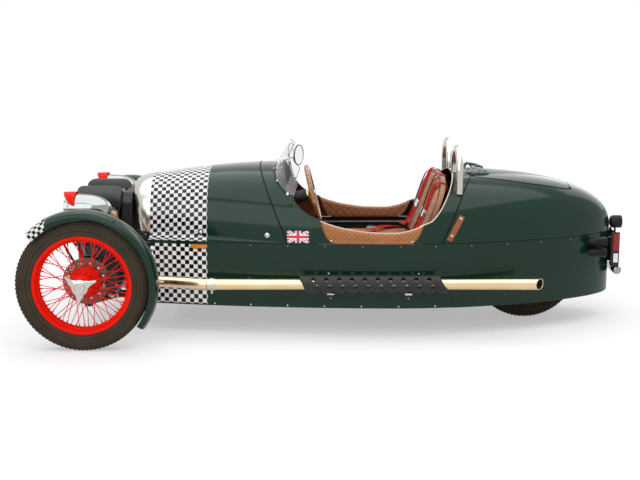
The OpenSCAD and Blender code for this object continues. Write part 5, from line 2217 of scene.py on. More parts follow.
@dataclass
class Engine:
    """The V-twin ahead of the nose, with its air box."""

    crank: Point = (1.32, 0.0, 0.365)
    half_vee: float = 28.0
    barrel_foot: float = 0.172
    head_foot: float = 0.292
    cover_foot: float = 0.3725

    def bank(self, side: Side) -> Matrix:
        """Turns a bank's own frame, Z up the cylinder, into the car's."""
        return Matrix.Translation(self.crank) @ Matrix.Rotation(radians(-side.value * self.half_vee), 4, "X")

    def placed(self, solid: Solid, side: Side) -> Solid:
        """Moves a solid from a bank's frame into the car's.

        Args:
            solid: what is moved.
            side: the bank's side.

        Returns:
            The same solid.
        """
        turn = self.bank(side)
        solid.points = [tuple(turn @ Vector(p)) for p in solid.points]
        return solid

    def build(self) -> None:
        """Makes the barrels, heads, covers, tubes and the air box."""
        for side in Side:
            self.barrel(side)
            self.cover(side)
        self.case()
        self.air_box()

    def barrel(self, side: Side) -> None:
        """One finned barrel and head, and the chrome tubes beside it.

        Args:
            side: the bank's side.
        """
        profile: list[Pair] = [(0.0, self.barrel_foot + 0.0004), (0.066, self.barrel_foot + 0.0004)]
        fins = 9
        pitch = (self.head_foot - self.barrel_foot) / fins
        for i in range(fins):
            z = self.barrel_foot + i * pitch + 0.003
            profile += [(0.058, z), (0.0775, z + 0.0006), (0.0798, z + 0.0016), (0.0798, z + 0.003),
                        (0.0775, z + 0.0042), (0.058, z + 0.0056)]
        profile += [(0.058, self.head_foot), (0.0, self.head_foot)]
        nodes = ("cylinders",) if side is Side.LEFT else ()
        barrels = Solid().lathe(profile, segments=64)
        piece(f"barrel_{side.word}", self.placed(barrels, side), ENGINE_BLACK, fixed(Slot.ALLOY, *nodes),
              sharp=Crease.CAST)
        head = Solid().box((-0.094, -0.068, self.head_foot + 0.0004), (0.094, 0.068, self.cover_foot - 0.001))
        head.lathe([(0, 0.06), (0.034, 0.06), (0.034, 0.0855), (0.03, 0.0865), (0, 0.0865)],
                   (-0.08, 0.0, mix(self.head_foot, self.cover_foot, 0.5)), (0, side.value, 0), 32)
        piece(f"head_{side.word}", self.placed(head, side), CAST, fixed(Slot.ALLOY), bevel=0.004)
        turn = self.bank(side)
        fin = self.placed(self.fin_stack(), side)
        piece(f"head_fins_{side.word}", fin, CAST, fixed(Slot.ALLOY), bevel=0.0008)
        tubes = Solid()
        for x in (-0.026, 0.026):
            tubes.tube([(0.0965, x, 0.15), (0.0965, x, 0.21), (0.0945, x, 0.3)], 0.0085, 14)
            for z in (0.15, 0.262):
                tubes.lathe([(0, 0), (0.0125, 0), (0.0135, 0.004), (0.0125, 0.012), (0.0, 0.012)],
                            (0.0965, x, z), UP, 16)
        piece(f"pushrod_tubes_{side.word}", self.placed(tubes, side), CHROME, fixed(Slot.POLISHED))
        out = turn.to_3x3() @ Vector((0, side.value, 0.45)).normalized()
        bolt = [(turn @ Vector((-0.012, side.value * 0.0625, self.cover_foot + 0.047)), out)]
        Repeat(f"cover_bolt_{side.word}", dome(0.0125, 0.008, 20, washer=0.003), CHROME).piece(
            f"cover_bolt_{side.word}", bolt, fixed(Slot.POLISHED))

    def fin_stack(self) -> Solid:
        """The head's flat fins.

        Returns:
            The fins in a bank's frame.
        """
        stack = Solid()
        for i in range(6):
            z = mix(self.head_foot + 0.006, self.cover_foot - 0.01, i / 5)
            stack.box((-0.0995, -0.0735, z - 0.0018), (0.0995, 0.0735, z + 0.0018))
        return stack

    def cover(self, side: Side) -> None:
        """The smooth black rocker cover with sloped ends.

        Args:
            side: the bank's side.
        """
        z = self.cover_foot
        steps = [(0.128, 0.066, 0.0), (0.128, 0.066, 0.026), (0.127, 0.0655, 0.034), (0.124, 0.064, 0.042),
                 (0.119, 0.061, 0.05), (0.112, 0.056, 0.058), (0.104, 0.05, 0.065), (0.094, 0.043, 0.0702),
                 (0.082, 0.034, 0.0732), (0.066, 0.022, 0.0745)]
        rows = []
        for hx, hy, dz in steps:
            corner, row = min(0.016, hy * 0.5), []
            for cx, cy, start in ((1, 1, 0), (-1, 1, 90), (-1, -1, 180), (1, -1, 270)):
                for k in range(5):
                    a = radians(start + 90 * k / 4)
                    row.append((cx * (hx - corner) + corner * cos(a), cy * (hy - corner) + corner * sin(a),
                                z + dz))
            rows.append(row)
        solid = Solid().grid(rows, wrap=True, caps=True)
        nodes = ("rocker_covers",) if side is Side.LEFT else ()
        piece(f"rocker_cover_{side.word}", self.placed(solid, side), ENGINE_BLACK,
              fixed(Slot.ENGINE, *nodes), bevel=0.0014, sharp=Crease.MOULDED)

    def case(self) -> None:
        """Round covers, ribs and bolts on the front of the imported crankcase."""
        x = self.crank[0] + 0.133
        profile = [(0.0, 0.0005), (0.03, 0.0), (0.0445, -0.003), (0.048, -0.008), (0.048, -0.034),
                   (0.05, -0.034), (0.058, -0.031), (0.0595, -0.033)]
        solid = Solid().lathe(profile, (x, 0, self.crank[2]), AHEAD, 64)
        piece("timing_cover", solid, POLISHED, fixed(Slot.POLISHED), sharp=Crease.CAST)
        face = self.crank[0] + 0.118
        bolts = [(p, AHEAD) for p in ring_spots((face, 0, self.crank[2]), "X", 0.122, 14, 8)]
        Repeat("case_bolt", hexagon(0.009, 0.007), POLISHED).piece("case_bolts", bolts, fixed(Slot.POLISHED))
        middle = Vector((face, 0, self.crank[2]))
        feet = ring_spots((face + 0.001, 0, self.crank[2]), "X", 0.07, 12, 15)
        ribs = [(p, (p - middle).normalized()) for p in feet]
        rib = Solid().box((-0.0028, -0.0028, 0.0), (0.0028, 0.0028, 0.04))
        Repeat("case_rib", rib, CAST).piece("case_ribs", ribs, fixed(Slot.ALLOY))

    def air_box(self) -> None:
        """The ribbed black box behind the covers, and the bright intake elbows to the heads."""
        low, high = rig.box("air_box")
        y, z0, z1 = high[1], low[2], high[2]
        outline = [(-y, z0), (y, z0), (y, z1 - 0.048), (y - 0.048, z1), (-y + 0.048, z1), (-y, z1 - 0.048)]
        solid = Solid().prism(outline, from_ahead, low[0], high[0])
        piece("air_box_shell", solid, PLASTIC, fixed(Slot.PLASTIC, "air_box"), bevel=0.006, steps=3)
        rib = Solid().box((-0.0018, -0.0022, 0.0), (0.0018, 0.0022, 1.0))
        xs = [mix(low[0] + 0.008, high[0] - 0.008, i / 5) for i in range(6)]
        spots = [(Vector((x, e * (y + 0.0012), z0 + 0.012)), Vector(UP)) for e in (-1, 1) for x in xs]
        Repeat("air_box_rib", rib, PLASTIC).piece("air_box_ribs", spots, fixed(Slot.PLASTIC),
                                                  sizes=[(1, 1, z1 - z0 - 0.072)] * len(spots))
        elbows = Solid()
        for side in Side:
            turn = self.bank(side)
            mouth = turn @ Vector((-0.088, 0.0, 0.335))
            start = Vector((high[0] - 0.006, mouth.y * 0.86, mouth.z + 0.012))
            elbows.tube(curve([start, start.lerp(mouth, 0.5) + Vector((0.0, 0.0, 0.006)), mouth], 12),
                        0.019, 20)
        piece("intake_elbows", elbows, CHROME, fixed(Slot.POLISHED))


@dataclass
class Lamps:
    """Headlamps on their stems, side markers, tail pods and the plate's lamps."""

    form: BodyForm
    centre: Point = (1.332, 0.448, 0.69)
    radius: float = 0.082
    fog_z: float = 0.548

    def build(self) -> None:
        """Makes every lamp."""
        self.headlamps()
        self.markers()
        self.tail()
        self.plate()

    def headlamps(self) -> None:
        """Chrome bullet lamps with a bowl, bulb, fluted lens and rim."""
        r = self.radius
        shell, bowls, lenses, stems, rims = Solid(), Solid(), Solid(), Solid(), Solid()
        body = [(0, -0.132), (0.01, -0.1312), (0.02, -0.128), (0.034, -0.118), (0.05, -0.096),
                (0.058, -0.08), (0.064, -0.064), (0.069, -0.045), (0.073, -0.024), (0.0755, 0.005),
                (0.077, 0.03), (0.0785, 0.055), (r - 0.0005, 0.084), (r - 0.003, 0.0845), (0.074, 0.055),
                (0.07, 0.0), (0.056, -0.06), (0.0, -0.09)]
        rim = [(r, 0.083), (r + 0.0035, 0.086), (r + 0.0042, 0.092), (r + 0.0042, 0.102),
               (r + 0.003, 0.1062), (r, 0.108), (r - 0.004, 0.1075), (r - 0.0052, 0.104),
               (r - 0.0052, 0.098), (r - 0.003, 0.09), (r - 0.002, 0.084)]
        bowl = [(0.01, 0.02), (0.03, 0.03), (0.052, 0.05), (0.068, 0.078), (0.0762, 0.098),
                (0.0768, 0.0965), (0.069, 0.076), (0.053, 0.048), (0.03, 0.027), (0.01, 0.017)]
        lens = [(0, 0.118), (0.022, 0.1172), (0.04, 0.115), (0.06, 0.111), (r - 0.006, 0.106),
                (r - 0.006, 0.101), (0.06, 0.1075), (0.04, 0.1115), (0.022, 0.114), (0, 0.1148)]
        bulb = [(0.0, 0.056), (0.006, 0.055), (0.009, 0.048), (0.009, 0.036), (0.007, 0.03), (0.007, 0.014),
                (0.0, 0.014)]
        for side in Side:
            c = (self.centre[0], self.centre[1] * side.value, self.centre[2])
            shell.lathe(body, c, AHEAD, 64)
            rims.lathe(rim, c, AHEAD, 64, closed=True)
            bowls.lathe(bowl, c, AHEAD, 48, closed=True).lathe(bulb, c, AHEAD, 16)
            lenses.lathe(lens, c, AHEAD, 64)
            foot = (self.centre[0] + 0.098, side.value * 0.301, 0.4825)
            head = (self.centre[0] + 0.02, c[1], c[2] - 0.074)
            stems.tube(curve([foot, (self.centre[0] + 0.07, side.value * 0.352, 0.545), head], 16), 0.009, 16)
            stems.lathe([(0, -0.006), (0.016, -0.006), (0.019, 0.0), (0.014, 0.012), (0, 0.014)],
                        (head[0], head[1], head[2] - 0.004), UP, 24)
        peaks = Solid()

        def hood(k: int, t: float, lift: float) -> Point:
            """A point of the red peak over the left lamp's rim.

            Args:
                k: step round the rim.
                t: share of the peak's reach.
                lift: height above the rim.

            Returns:
                The point.
            """
            a = pi * (0.1 + 0.8 * k / 32)
            reach = max(0.0, sin((a - pi * 0.1) / 0.8)) ** 0.6
            x = mix(0.052, 0.058 + 0.06 * reach, t)
            return (self.centre[0] + x, self.centre[1] + (r + lift) * cos(a), self.centre[2] + (r + lift)
                    * sin(a))

        peaks.shell([[hood(k, t / 6, 0.0088 - 0.002 * (t / 6) ** 2) for k in range(33)] for t in range(7)],
                    [[hood(k, t / 6, 0.0052) for k in range(33)] for t in range(7)])
        piece("headlamp_peaks", peaks.mirrored(), RED, fixed(Slot.RED), sharp=Crease.PANEL)
        chrome = fixed(Slot.POLISHED)
        piece("headlamp_shells", shell, DIMMED_REFLECTION_CHROME, fixed(Slot.POLISHED, "headlamps"), sharp=Crease.TURNED)
        piece("headlamp_rims", rims, DIMMED_REFLECTION_CHROME, chrome, sharp=Crease.TURNED)
        piece("headlamp_bowls", bowls, CHROME, chrome)
        piece("headlamp_lens_glass", lenses, LENS, fixed(Slot.CLEAR, "headlamp_lenses"), sharp=Crease.PANEL)
        piece("headlamp_stems", stems, CHROME, chrome)

    def markers(self) -> None:
        """Amber lenses on black bases, one on each side of the nose."""
        f = self.form
        base, lens = Solid(), Solid()
        x0, x1 = f.x_nose - 0.303, f.x_nose - 0.215
        for depth, inset, solid in ((0.003, 0.0, base), (0.01, 0.003, lens)):
            rows = []
            for i in range(13):
                x = mix(x0 + inset, x1 - inset, i / 12)
                pinch = 0.0 if 0 < i < 12 else 0.003
                y = f.plan(x)
                rows.append([(x, y + 0.0004, 0.4635 + inset), (x, y + depth - pinch, 0.4648 + inset),
                             (x, y + depth - pinch * 0.6, 0.4775), (x, y + depth - pinch, 0.49 - inset),
                             (x, y + 0.0004, 0.4908 - inset)])
            solid.grid(rows, wrap=True, caps=True).mirrored()
        piece("side_marker_bases", base, PLASTIC, fixed(Slot.PLASTIC, "side_markers"))
        piece("side_marker_lenses", lens, AMBER_LENS, fixed(Slot.AMBER), bevel=0.0012)

    def tail(self) -> None:
        """Two stacked black bullets on each side of the stern with lenses in their rear ends."""
        f = self.form
        x = f.x_tail + 0.066
        y = f.plan(x + 0.108) + 0.022
        pods, red, amber = Solid(), Solid(), Solid()
        shell = [(0, 0.003), (0.019, 0.003), (0.019, 0.0006), (0.0215, 0.0), (0.0232, 0.002),
                 (0.0245, 0.01), (0.0245, 0.046), (0.0232, 0.064), (0.0212, 0.077), (0.0165, 0.092),
                 (0.0118, 0.101), (0.006, 0.1065), (0, 0.108)]
        lens = [(0, -0.0001), (0.007, 0.0002), (0.014, 0.0012), (0.0186, 0.003), (0.0186, 0.006), (0, 0.006)]
        for z, glass in ((0.407, red), (0.47, amber)):
            pods.lathe(shell, (x, y, z), AHEAD, 36)
            glass.lathe(lens, (x, y, z), AHEAD, 32)
        inside = f.plan(x + 0.058) + 0.0006
        pods.box((x + 0.03, inside, 0.4), (x + 0.058, y - 0.004, 0.477))
        piece("tail_lamp_pods", pods.mirrored(), GLOSS_BLACK, fixed(Slot.PLASTIC, "tail_lamps"),
              bevel=0.001, sharp=Crease.CAST)
        piece("tail_lamp_red", red.mirrored(), RED_LENS, fixed(Slot.RED))
        piece("tail_lamp_amber", amber.mirrored(), AMBER_LENS, fixed(Slot.AMBER))

    def plate(self) -> None:
        """The rear bracket with its bare plate, round fog lamp, reflectors and plate lamp."""
        low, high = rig.box("plate_bracket")
        x = low[0] + 0.03
        bracket = Solid().box((x, -0.095, 0.3), (x + 0.005, 0.095, 0.49))
        bracket.box((x + 0.004, -0.022, 0.4), (high[0] - 0.0004, 0.022, 0.46)).box(
            (x, -0.012, 0.48), (x + 0.006, 0.012, 0.52))
        bracket.box((x, -0.02, 0.276), (x + 0.005, 0.02, 0.306))
        piece("plate_holder", bracket, PLASTIC, fixed(Slot.PLASTIC, "plate_bracket"), bevel=0.0015)
        plate = Solid().box((x - 0.0022, -0.0925, 0.308), (x - 0.0004, 0.0925, 0.4825))
        piece("blank_plate", plate, BLANK_PLATE, fixed(Slot.PLASTIC), bevel=0.0008)
        lamp = [(0, 0.002), (0.0335, 0.002), (0.0345, 0.0), (0.0365, 0.001), (0.037, 0.006), (0.037, 0.038),
                (0.0352, 0.051), (0.0285, 0.061), (0.016, 0.0665), (0, 0.068)]
        piece("fog_lamp_shell", Solid().lathe(lamp, (low[0], 0, self.fog_z), AHEAD, 48), GLOSS_BLACK,
              fixed(Slot.PLASTIC), sharp=Crease.CAST)
        lens = [(0, 0.0002), (0.016, 0.0006), (0.028, 0.0014), (0.033, 0.0026), (0.033, 0.005), (0, 0.005)]
        piece("fog_lamp_lens", Solid().lathe(lens, (low[0], 0, self.fog_z), AHEAD, 48), RED_LENS,
              fixed(Slot.RED))
        bar = [(0, -0.085), (0.012, -0.085), (0.021, -0.081), (0.025, -0.072), (0.025, 0.072),
               (0.021, 0.081), (0.012, 0.085), (0, 0.085)]
        piece("plate_lamp", Solid().lathe(bar, (x - 0.001, 0, 0.277), LEFTWARD, 32), DIMMED_REFLECTION_CHROME,
              fixed(Slot.POLISHED), sharp=Crease.TURNED)
        folds = Solid().box((x - 0.003, 0.091, 0.3), (x + 0.045, 0.095, 0.5)).mirrored()
        red = Solid().box((x + 0.002, 0.0954, 0.392), (x + 0.036, 0.102, 0.492)).mirrored()
        patch = Solid().box((x + 0.004, 0.0954, 0.326), (x + 0.03, 0.0975, 0.378)).mirrored()
        piece("plate_folds", folds, PLASTIC, fixed(Slot.PLASTIC), bevel=0.0012)
        piece("plate_side_lenses", red, RED_LENS, fixed(Slot.RED), bevel=0.003, steps=3)
        piece("plate_side_reflectors", patch, BLANK_PLATE, fixed(Slot.PLASTIC), bevel=0.0008)


@dataclass
class Exhaust:
    """The swept headers, long side pipes and perforated shields."""

    form: BodyForm
    y: float = 0.545
    z: float = 0.297
    radius: float = 0.03
    front: float = 0.688
    end: float = -1.104
    slant: float = 40.0
    shield_y: float = 0.587
    shield_tall: float = 1.19
    clamp_x: tuple[float, ...] = (0.032, -0.385)
    axle_x: float = 1.302
    crank_z: float = 0.365
    half_vee: float = 28.0
    port_x: float = 1.24
    port_up: float = 0.332
    port_out: float = 0.089
    bend: float = 0.046

    def build(self) -> None:
        """Makes both sides."""
        self.headers()
        self.pipes()
        self.shields()

    def headers(self) -> None:
        """Bright pipes that sweep down from the heads, growing wider, each with a dark slot."""
        x_f, half = self.axle_x, radians(self.half_vee)
        out, down = cos(half), sin(half)
        port = (self.port_x, self.port_up * down + self.port_out * out,
                self.crank_z + self.port_up * out - self.port_out * down)
        route = [port, (port[0] - 0.008, port[1] + self.bend * out, port[2] - self.bend * down),
                 (x_f - 0.128, 0.366, 0.52), (x_f - 0.206, 0.428, 0.41), (x_f - 0.272, 0.456, 0.326),
                 (x_f - 0.34, 0.472, 0.299), (x_f - 0.43, 0.494, 0.297),
                 (self.front + 0.095, self.y - 0.024, self.z), (self.front + 0.03, self.y - 0.003, self.z),
                 (self.front + 0.0006, self.y, self.z)]
        sizes = [0.022, 0.023, 0.024, 0.026, 0.028, 0.03, 0.03, 0.03, 0.03, 0.03]
        count = 90
        path = curve(route, count)
        radii = [smooth_table(list(enumerate(sizes)), k / (count - 1) * (len(sizes) - 1))
                 for k in range(count)]
        solid = Solid().tube(path, radii, 28)
        way = (path[1] - path[0]).normalized()
        solid.lathe([(0.022, 0.0), (0.034, 0.0), (0.0345, 0.004), (0.033, 0.008), (0.022, 0.008)],
                    path[0] + way * 0.001, way, 24, closed=True)
        slot = [(p.x, p.y + r - 0.0022, p.z + 0.006) for p, r in zip(path, radii) if 0.838 < p.x < 0.93]
        piece("header_slots", Solid().tube(slot, 0.0046, 10).mirrored(), SOOT, fixed(Slot.EXHAUST))
        piece("header_pipes", solid.mirrored(), PIPE_STEEL, fixed(Slot.EXHAUST, "exhaust_headers"))

    def pipes(self) -> None:
        """Side pipes with a slanted, sooty tail, a banded sleeve joint and hangers."""
        rows, segments, wall = 40, 40, 0.0025
        cut = tan(radians(self.slant))

        def ring(i: int, r: float) -> list[Point]:
            """One ring; the rear ones lean over to the slanted tail.

            Args:
                i: number of the row.
                r: the ring's radius.

            Returns:
                The ring's points.
            """
            row = []
            for k in range(segments):
                a = 2 * pi * k / segments
                y = self.y + r * cos(a)
                tail = self.end + (y - self.y + self.radius) * cut
                row.append((mix(self.front, tail, i / rows), y, self.z + r * sin(a)))
            return row

        outer = [ring(i, self.radius) for i in range(rows + 1)]
        inner = [ring(i, self.radius - wall) for i in range(rows, -1, -1)]
        solid = Solid().grid(outer + inner, wrap=True, loop=True)
        piece("side_pipes", solid.mirrored(), PIPE_STEEL, fixed(Slot.EXHAUST, "exhaust_pipes"),
              sharp=Crease.TURNED)
        sooty = [ring(i, self.radius - wall - 0.0003) for i in range(34, rows + 1)]
        sooty += [ring(i, self.radius - wall - 0.001) for i in range(rows, 33, -1)]
        soot = Solid().grid([[(p[0] + 0.001, p[1], p[2]) for p in row] for row in sooty], wrap=True,
                            loop=True)
        piece("pipe_soot", soot.mirrored(), SOOT, fixed(Slot.EXHAUST), sharp=Crease.TURNED)
        sleeve = [(0.0305, 0.0), (0.0335, 0.0005), (0.034, 0.003), (0.034, 0.029), (0.0335, 0.0315),
                  (0.0305, 0.032)]
        cuff = Solid().lathe(sleeve, (self.front - 0.044, self.y, self.z), AHEAD, 48, closed=True)
        x = self.front - 0.03
        band = [(0.0342, 0.0), (0.0368, 0.0006), (0.0368, 0.0104), (0.0342, 0.011)]
        cuff.lathe(band, (x, self.y, self.z), AHEAD, 48, closed=True)
        cuff.box((x + 0.001, self.y - 0.008, self.z - 0.05), (x + 0.01, self.y + 0.008, self.z - 0.034))
        piece("pipe_sleeves", cuff.mirrored(), POLISHED, fixed(Slot.POLISHED), sharp=Crease.TURNED)
        hangers = Solid()
        for x in (self.front - 0.218, self.form.x_wide):
            start = self.form.plan(x) + 0.0006
            hangers.tube([(x, start, self.z), (x, self.y - self.radius + 0.001, self.z)], 0.009, 14)
            hangers.lathe([(0, 0), (0.02, 0), (0.02, 0.004), (0.012, 0.01), (0, 0.01)], (x, start, self.z),
                          LEFTWARD, 24)
        piece("pipe_hangers", hangers.mirrored(), FRAME_BLACK, fixed(Slot.FRAME), sharp=Crease.TURNED)

    def shields(self) -> None:
        """Half-round shields with rows of holes over a band of heat stain and painted shade, on stubs and brackets."""
        thin, count, turns, reach, tall = 0.0022, 60, 30, self.shield_y - self.y, self.shield_tall

        def spot(i: int, k: int, r: float) -> Point:
            """A point of the left shield; both its ends slant.

            Args:
                i: step along the shield.
                k: step round it.
                r: distance from the pipe's axis.

            Returns:
                The point.
            """
            a = radians(mix(100.0, -78.0, k / turns))
            lean = (1 - sin(a)) / 2
            x = mix(mix(0.198, 0.16, lean), mix(-0.543, -0.594, lean), i / count)
            return (x, self.y + r * cos(a), self.z + r * tall * sin(a))

        solid = Solid().shell([[spot(i, k, reach) for k in range(turns + 1)] for i in range(count + 1)],
                              [[spot(i, k, reach - thin) for k in range(turns + 1)]
                               for i in range(count + 1)])
        holes = Solid()
        for turn, shift in ((40.0, 0.0), (-4.0, -0.019), (-57.0, -0.038)):
            across, up = cos(radians(turn)), sin(radians(turn))
            way = Vector((0.0, across * tall, up)).normalized()
            for i in range(10):
                centre = Vector((0.124 - i * 0.068 + shift, self.y + reach * across,
                                 self.z + reach * tall * up))
                holes.rod(0.0122, -0.007, 0.007, centre, way, 20)
        for side in Side:
            plate = Solid().add(solid.points, solid.faces).handed(side)
            nodes = ("heat_shields",) if side is Side.LEFT else ()
            obj = piece(f"pipe_shield_{side.word}", plate, SHIELD, fixed(Slot.SHIELD, *nodes))
            carve(obj, Solid().add(holes.points, holes.faces).handed(side), SHIELD)
        # The band darkens the pipe inside the shield with heat stain and painted shade, so the holes show dark.
        band = [(0.0296, 0.0), (0.0304, 0.0008), (0.0304, 0.6392), (0.0296, 0.64)]
        sleeve = Solid().lathe(band, (-0.52, self.y, self.z), AHEAD, 40, closed=True)
        piece("heat_stained_bands", sleeve.mirrored(), HEAT_STAIN_AND_SHADE, fixed(Slot.EXHAUST), sharp=Crease.TURNED)
        tabs, clips, rivets = Solid(), Solid(), []
        tab = [(-0.025, 0.244), (0.025, 0.244), (0.023, 0.229), (0.011, 0.205), (0.006, 0.2005),
               (-0.006, 0.2005), (-0.011, 0.205), (-0.023, 0.229)]
        for x in self.clamp_x:
            wall = self.form.plan(x) + 0.0005
            tabs.prism([(x + u, v) for u, v in tab], from_side, wall, wall + 0.0035)
            tabs.box((x - 0.022, wall + 0.003, 0.244), (x + 0.022, self.y - 0.006, 0.247))
            tabs.tube([(x, self.y - 0.012, 0.246), (x, self.y - 0.009, self.z - self.radius + 0.002)],
                      0.007, 12)
            tabs.tube([(x - 0.029, self.y + self.radius - 0.001, self.z),
                       (x - 0.029, self.shield_y - 0.001, self.z)], 0.006, 12)
            clips.box((x - 0.02, wall + 0.0038, 0.2285), (x + 0.02, wall + 0.02, 0.2436))
            rivets += [((x, e * (wall + 0.0036), 0.2085), (0, e, 0)) for e in (-1, 1)]
        piece("shield_brackets", tabs.mirrored(), FRAME_BLACK, fixed(Slot.FRAME), bevel=0.0008)
        piece("shield_clips", clips.mirrored(), POLISHED, fixed(Slot.POLISHED), bevel=0.003, steps=3)
        Repeat("bracket_rivet", dome(0.0042, 0.0024, 10), POLISHED).piece(
            "bracket_rivets", rivets, fixed(Slot.POLISHED))


def plump(name: str, solid: Solid, finish: Finish, berth: Berth, cap: float,
          groove: Callable[[Vector, Vector], Vector], fill: float,
          voxel: float = 0.0055) -> bpy.types.Object:
    """Makes a padded piece: remeshed, blown up as cloth, held to a cap, then sewn.

    Args:
        name: the piece's name.
        solid: its shape, a little smaller than the finished pad.
        finish: its leather.
        berth: where it belongs.
        cap: how far a point may move.
        groove: moves a point for the sewn channels, from its place and normal.
        fill: how full the pad is.
        voxel: size of the remesh.

    Returns:
        The piece.
    """
    scene = bpy.context.scene
    obj = bpy.data.objects.new(name, solid.mesh(name))
    scene.collection.objects.link(obj)
    cells = obj.modifiers.new("cells", "REMESH")
    cells.mode, cells.voxel_size = "VOXEL", voxel
    held = bpy.context.evaluated_depsgraph_get()
    obj.data = bpy.data.meshes.new_from_object(obj.evaluated_get(held), depsgraph=held)
    obj.modifiers.remove(cells)
    start = [v.co.copy() for v in obj.data.vertices]
    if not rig.quick():
        cloth = obj.modifiers.new("blow", "CLOTH")
        cloth.settings.use_pressure = True
        cloth.settings.uniform_pressure_force = 4.0
        cloth.settings.effector_weights.gravity = 0.0
        cloth.settings.quality = 4
        for frame_no in range(1, 21):
            scene.frame_set(frame_no)
        held = bpy.context.evaluated_depsgraph_get()
        blown = obj.evaluated_get(held).to_mesh()
        moved = [v.co.copy() for v in blown.vertices]
        obj.evaluated_get(held).to_mesh_clear()
        obj.modifiers.remove(cloth)
        scene.frame_set(1)
        for v, a, b in zip(obj.data.vertices, start, moved):
            step = b - a
            v.co = a + (step if step.length <= cap else step.normalized() * cap)
    obj.data.update()
    normals = [v.normal.copy() for v in obj.data.vertices]
    for v, normal in zip(obj.data.vertices, normals):
        v.co = v.co + groove(v.co, normal)
    obj.data.materials.clear()
    obj.data.materials.append(finish.material())
    fine = obj.modifiers.new("fine", "SUBSURF")
    fine.levels = fine.render_levels = 1
    shade(obj, 80)
    fit(obj, berth)
    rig.padded(obj, fill)
    return obj


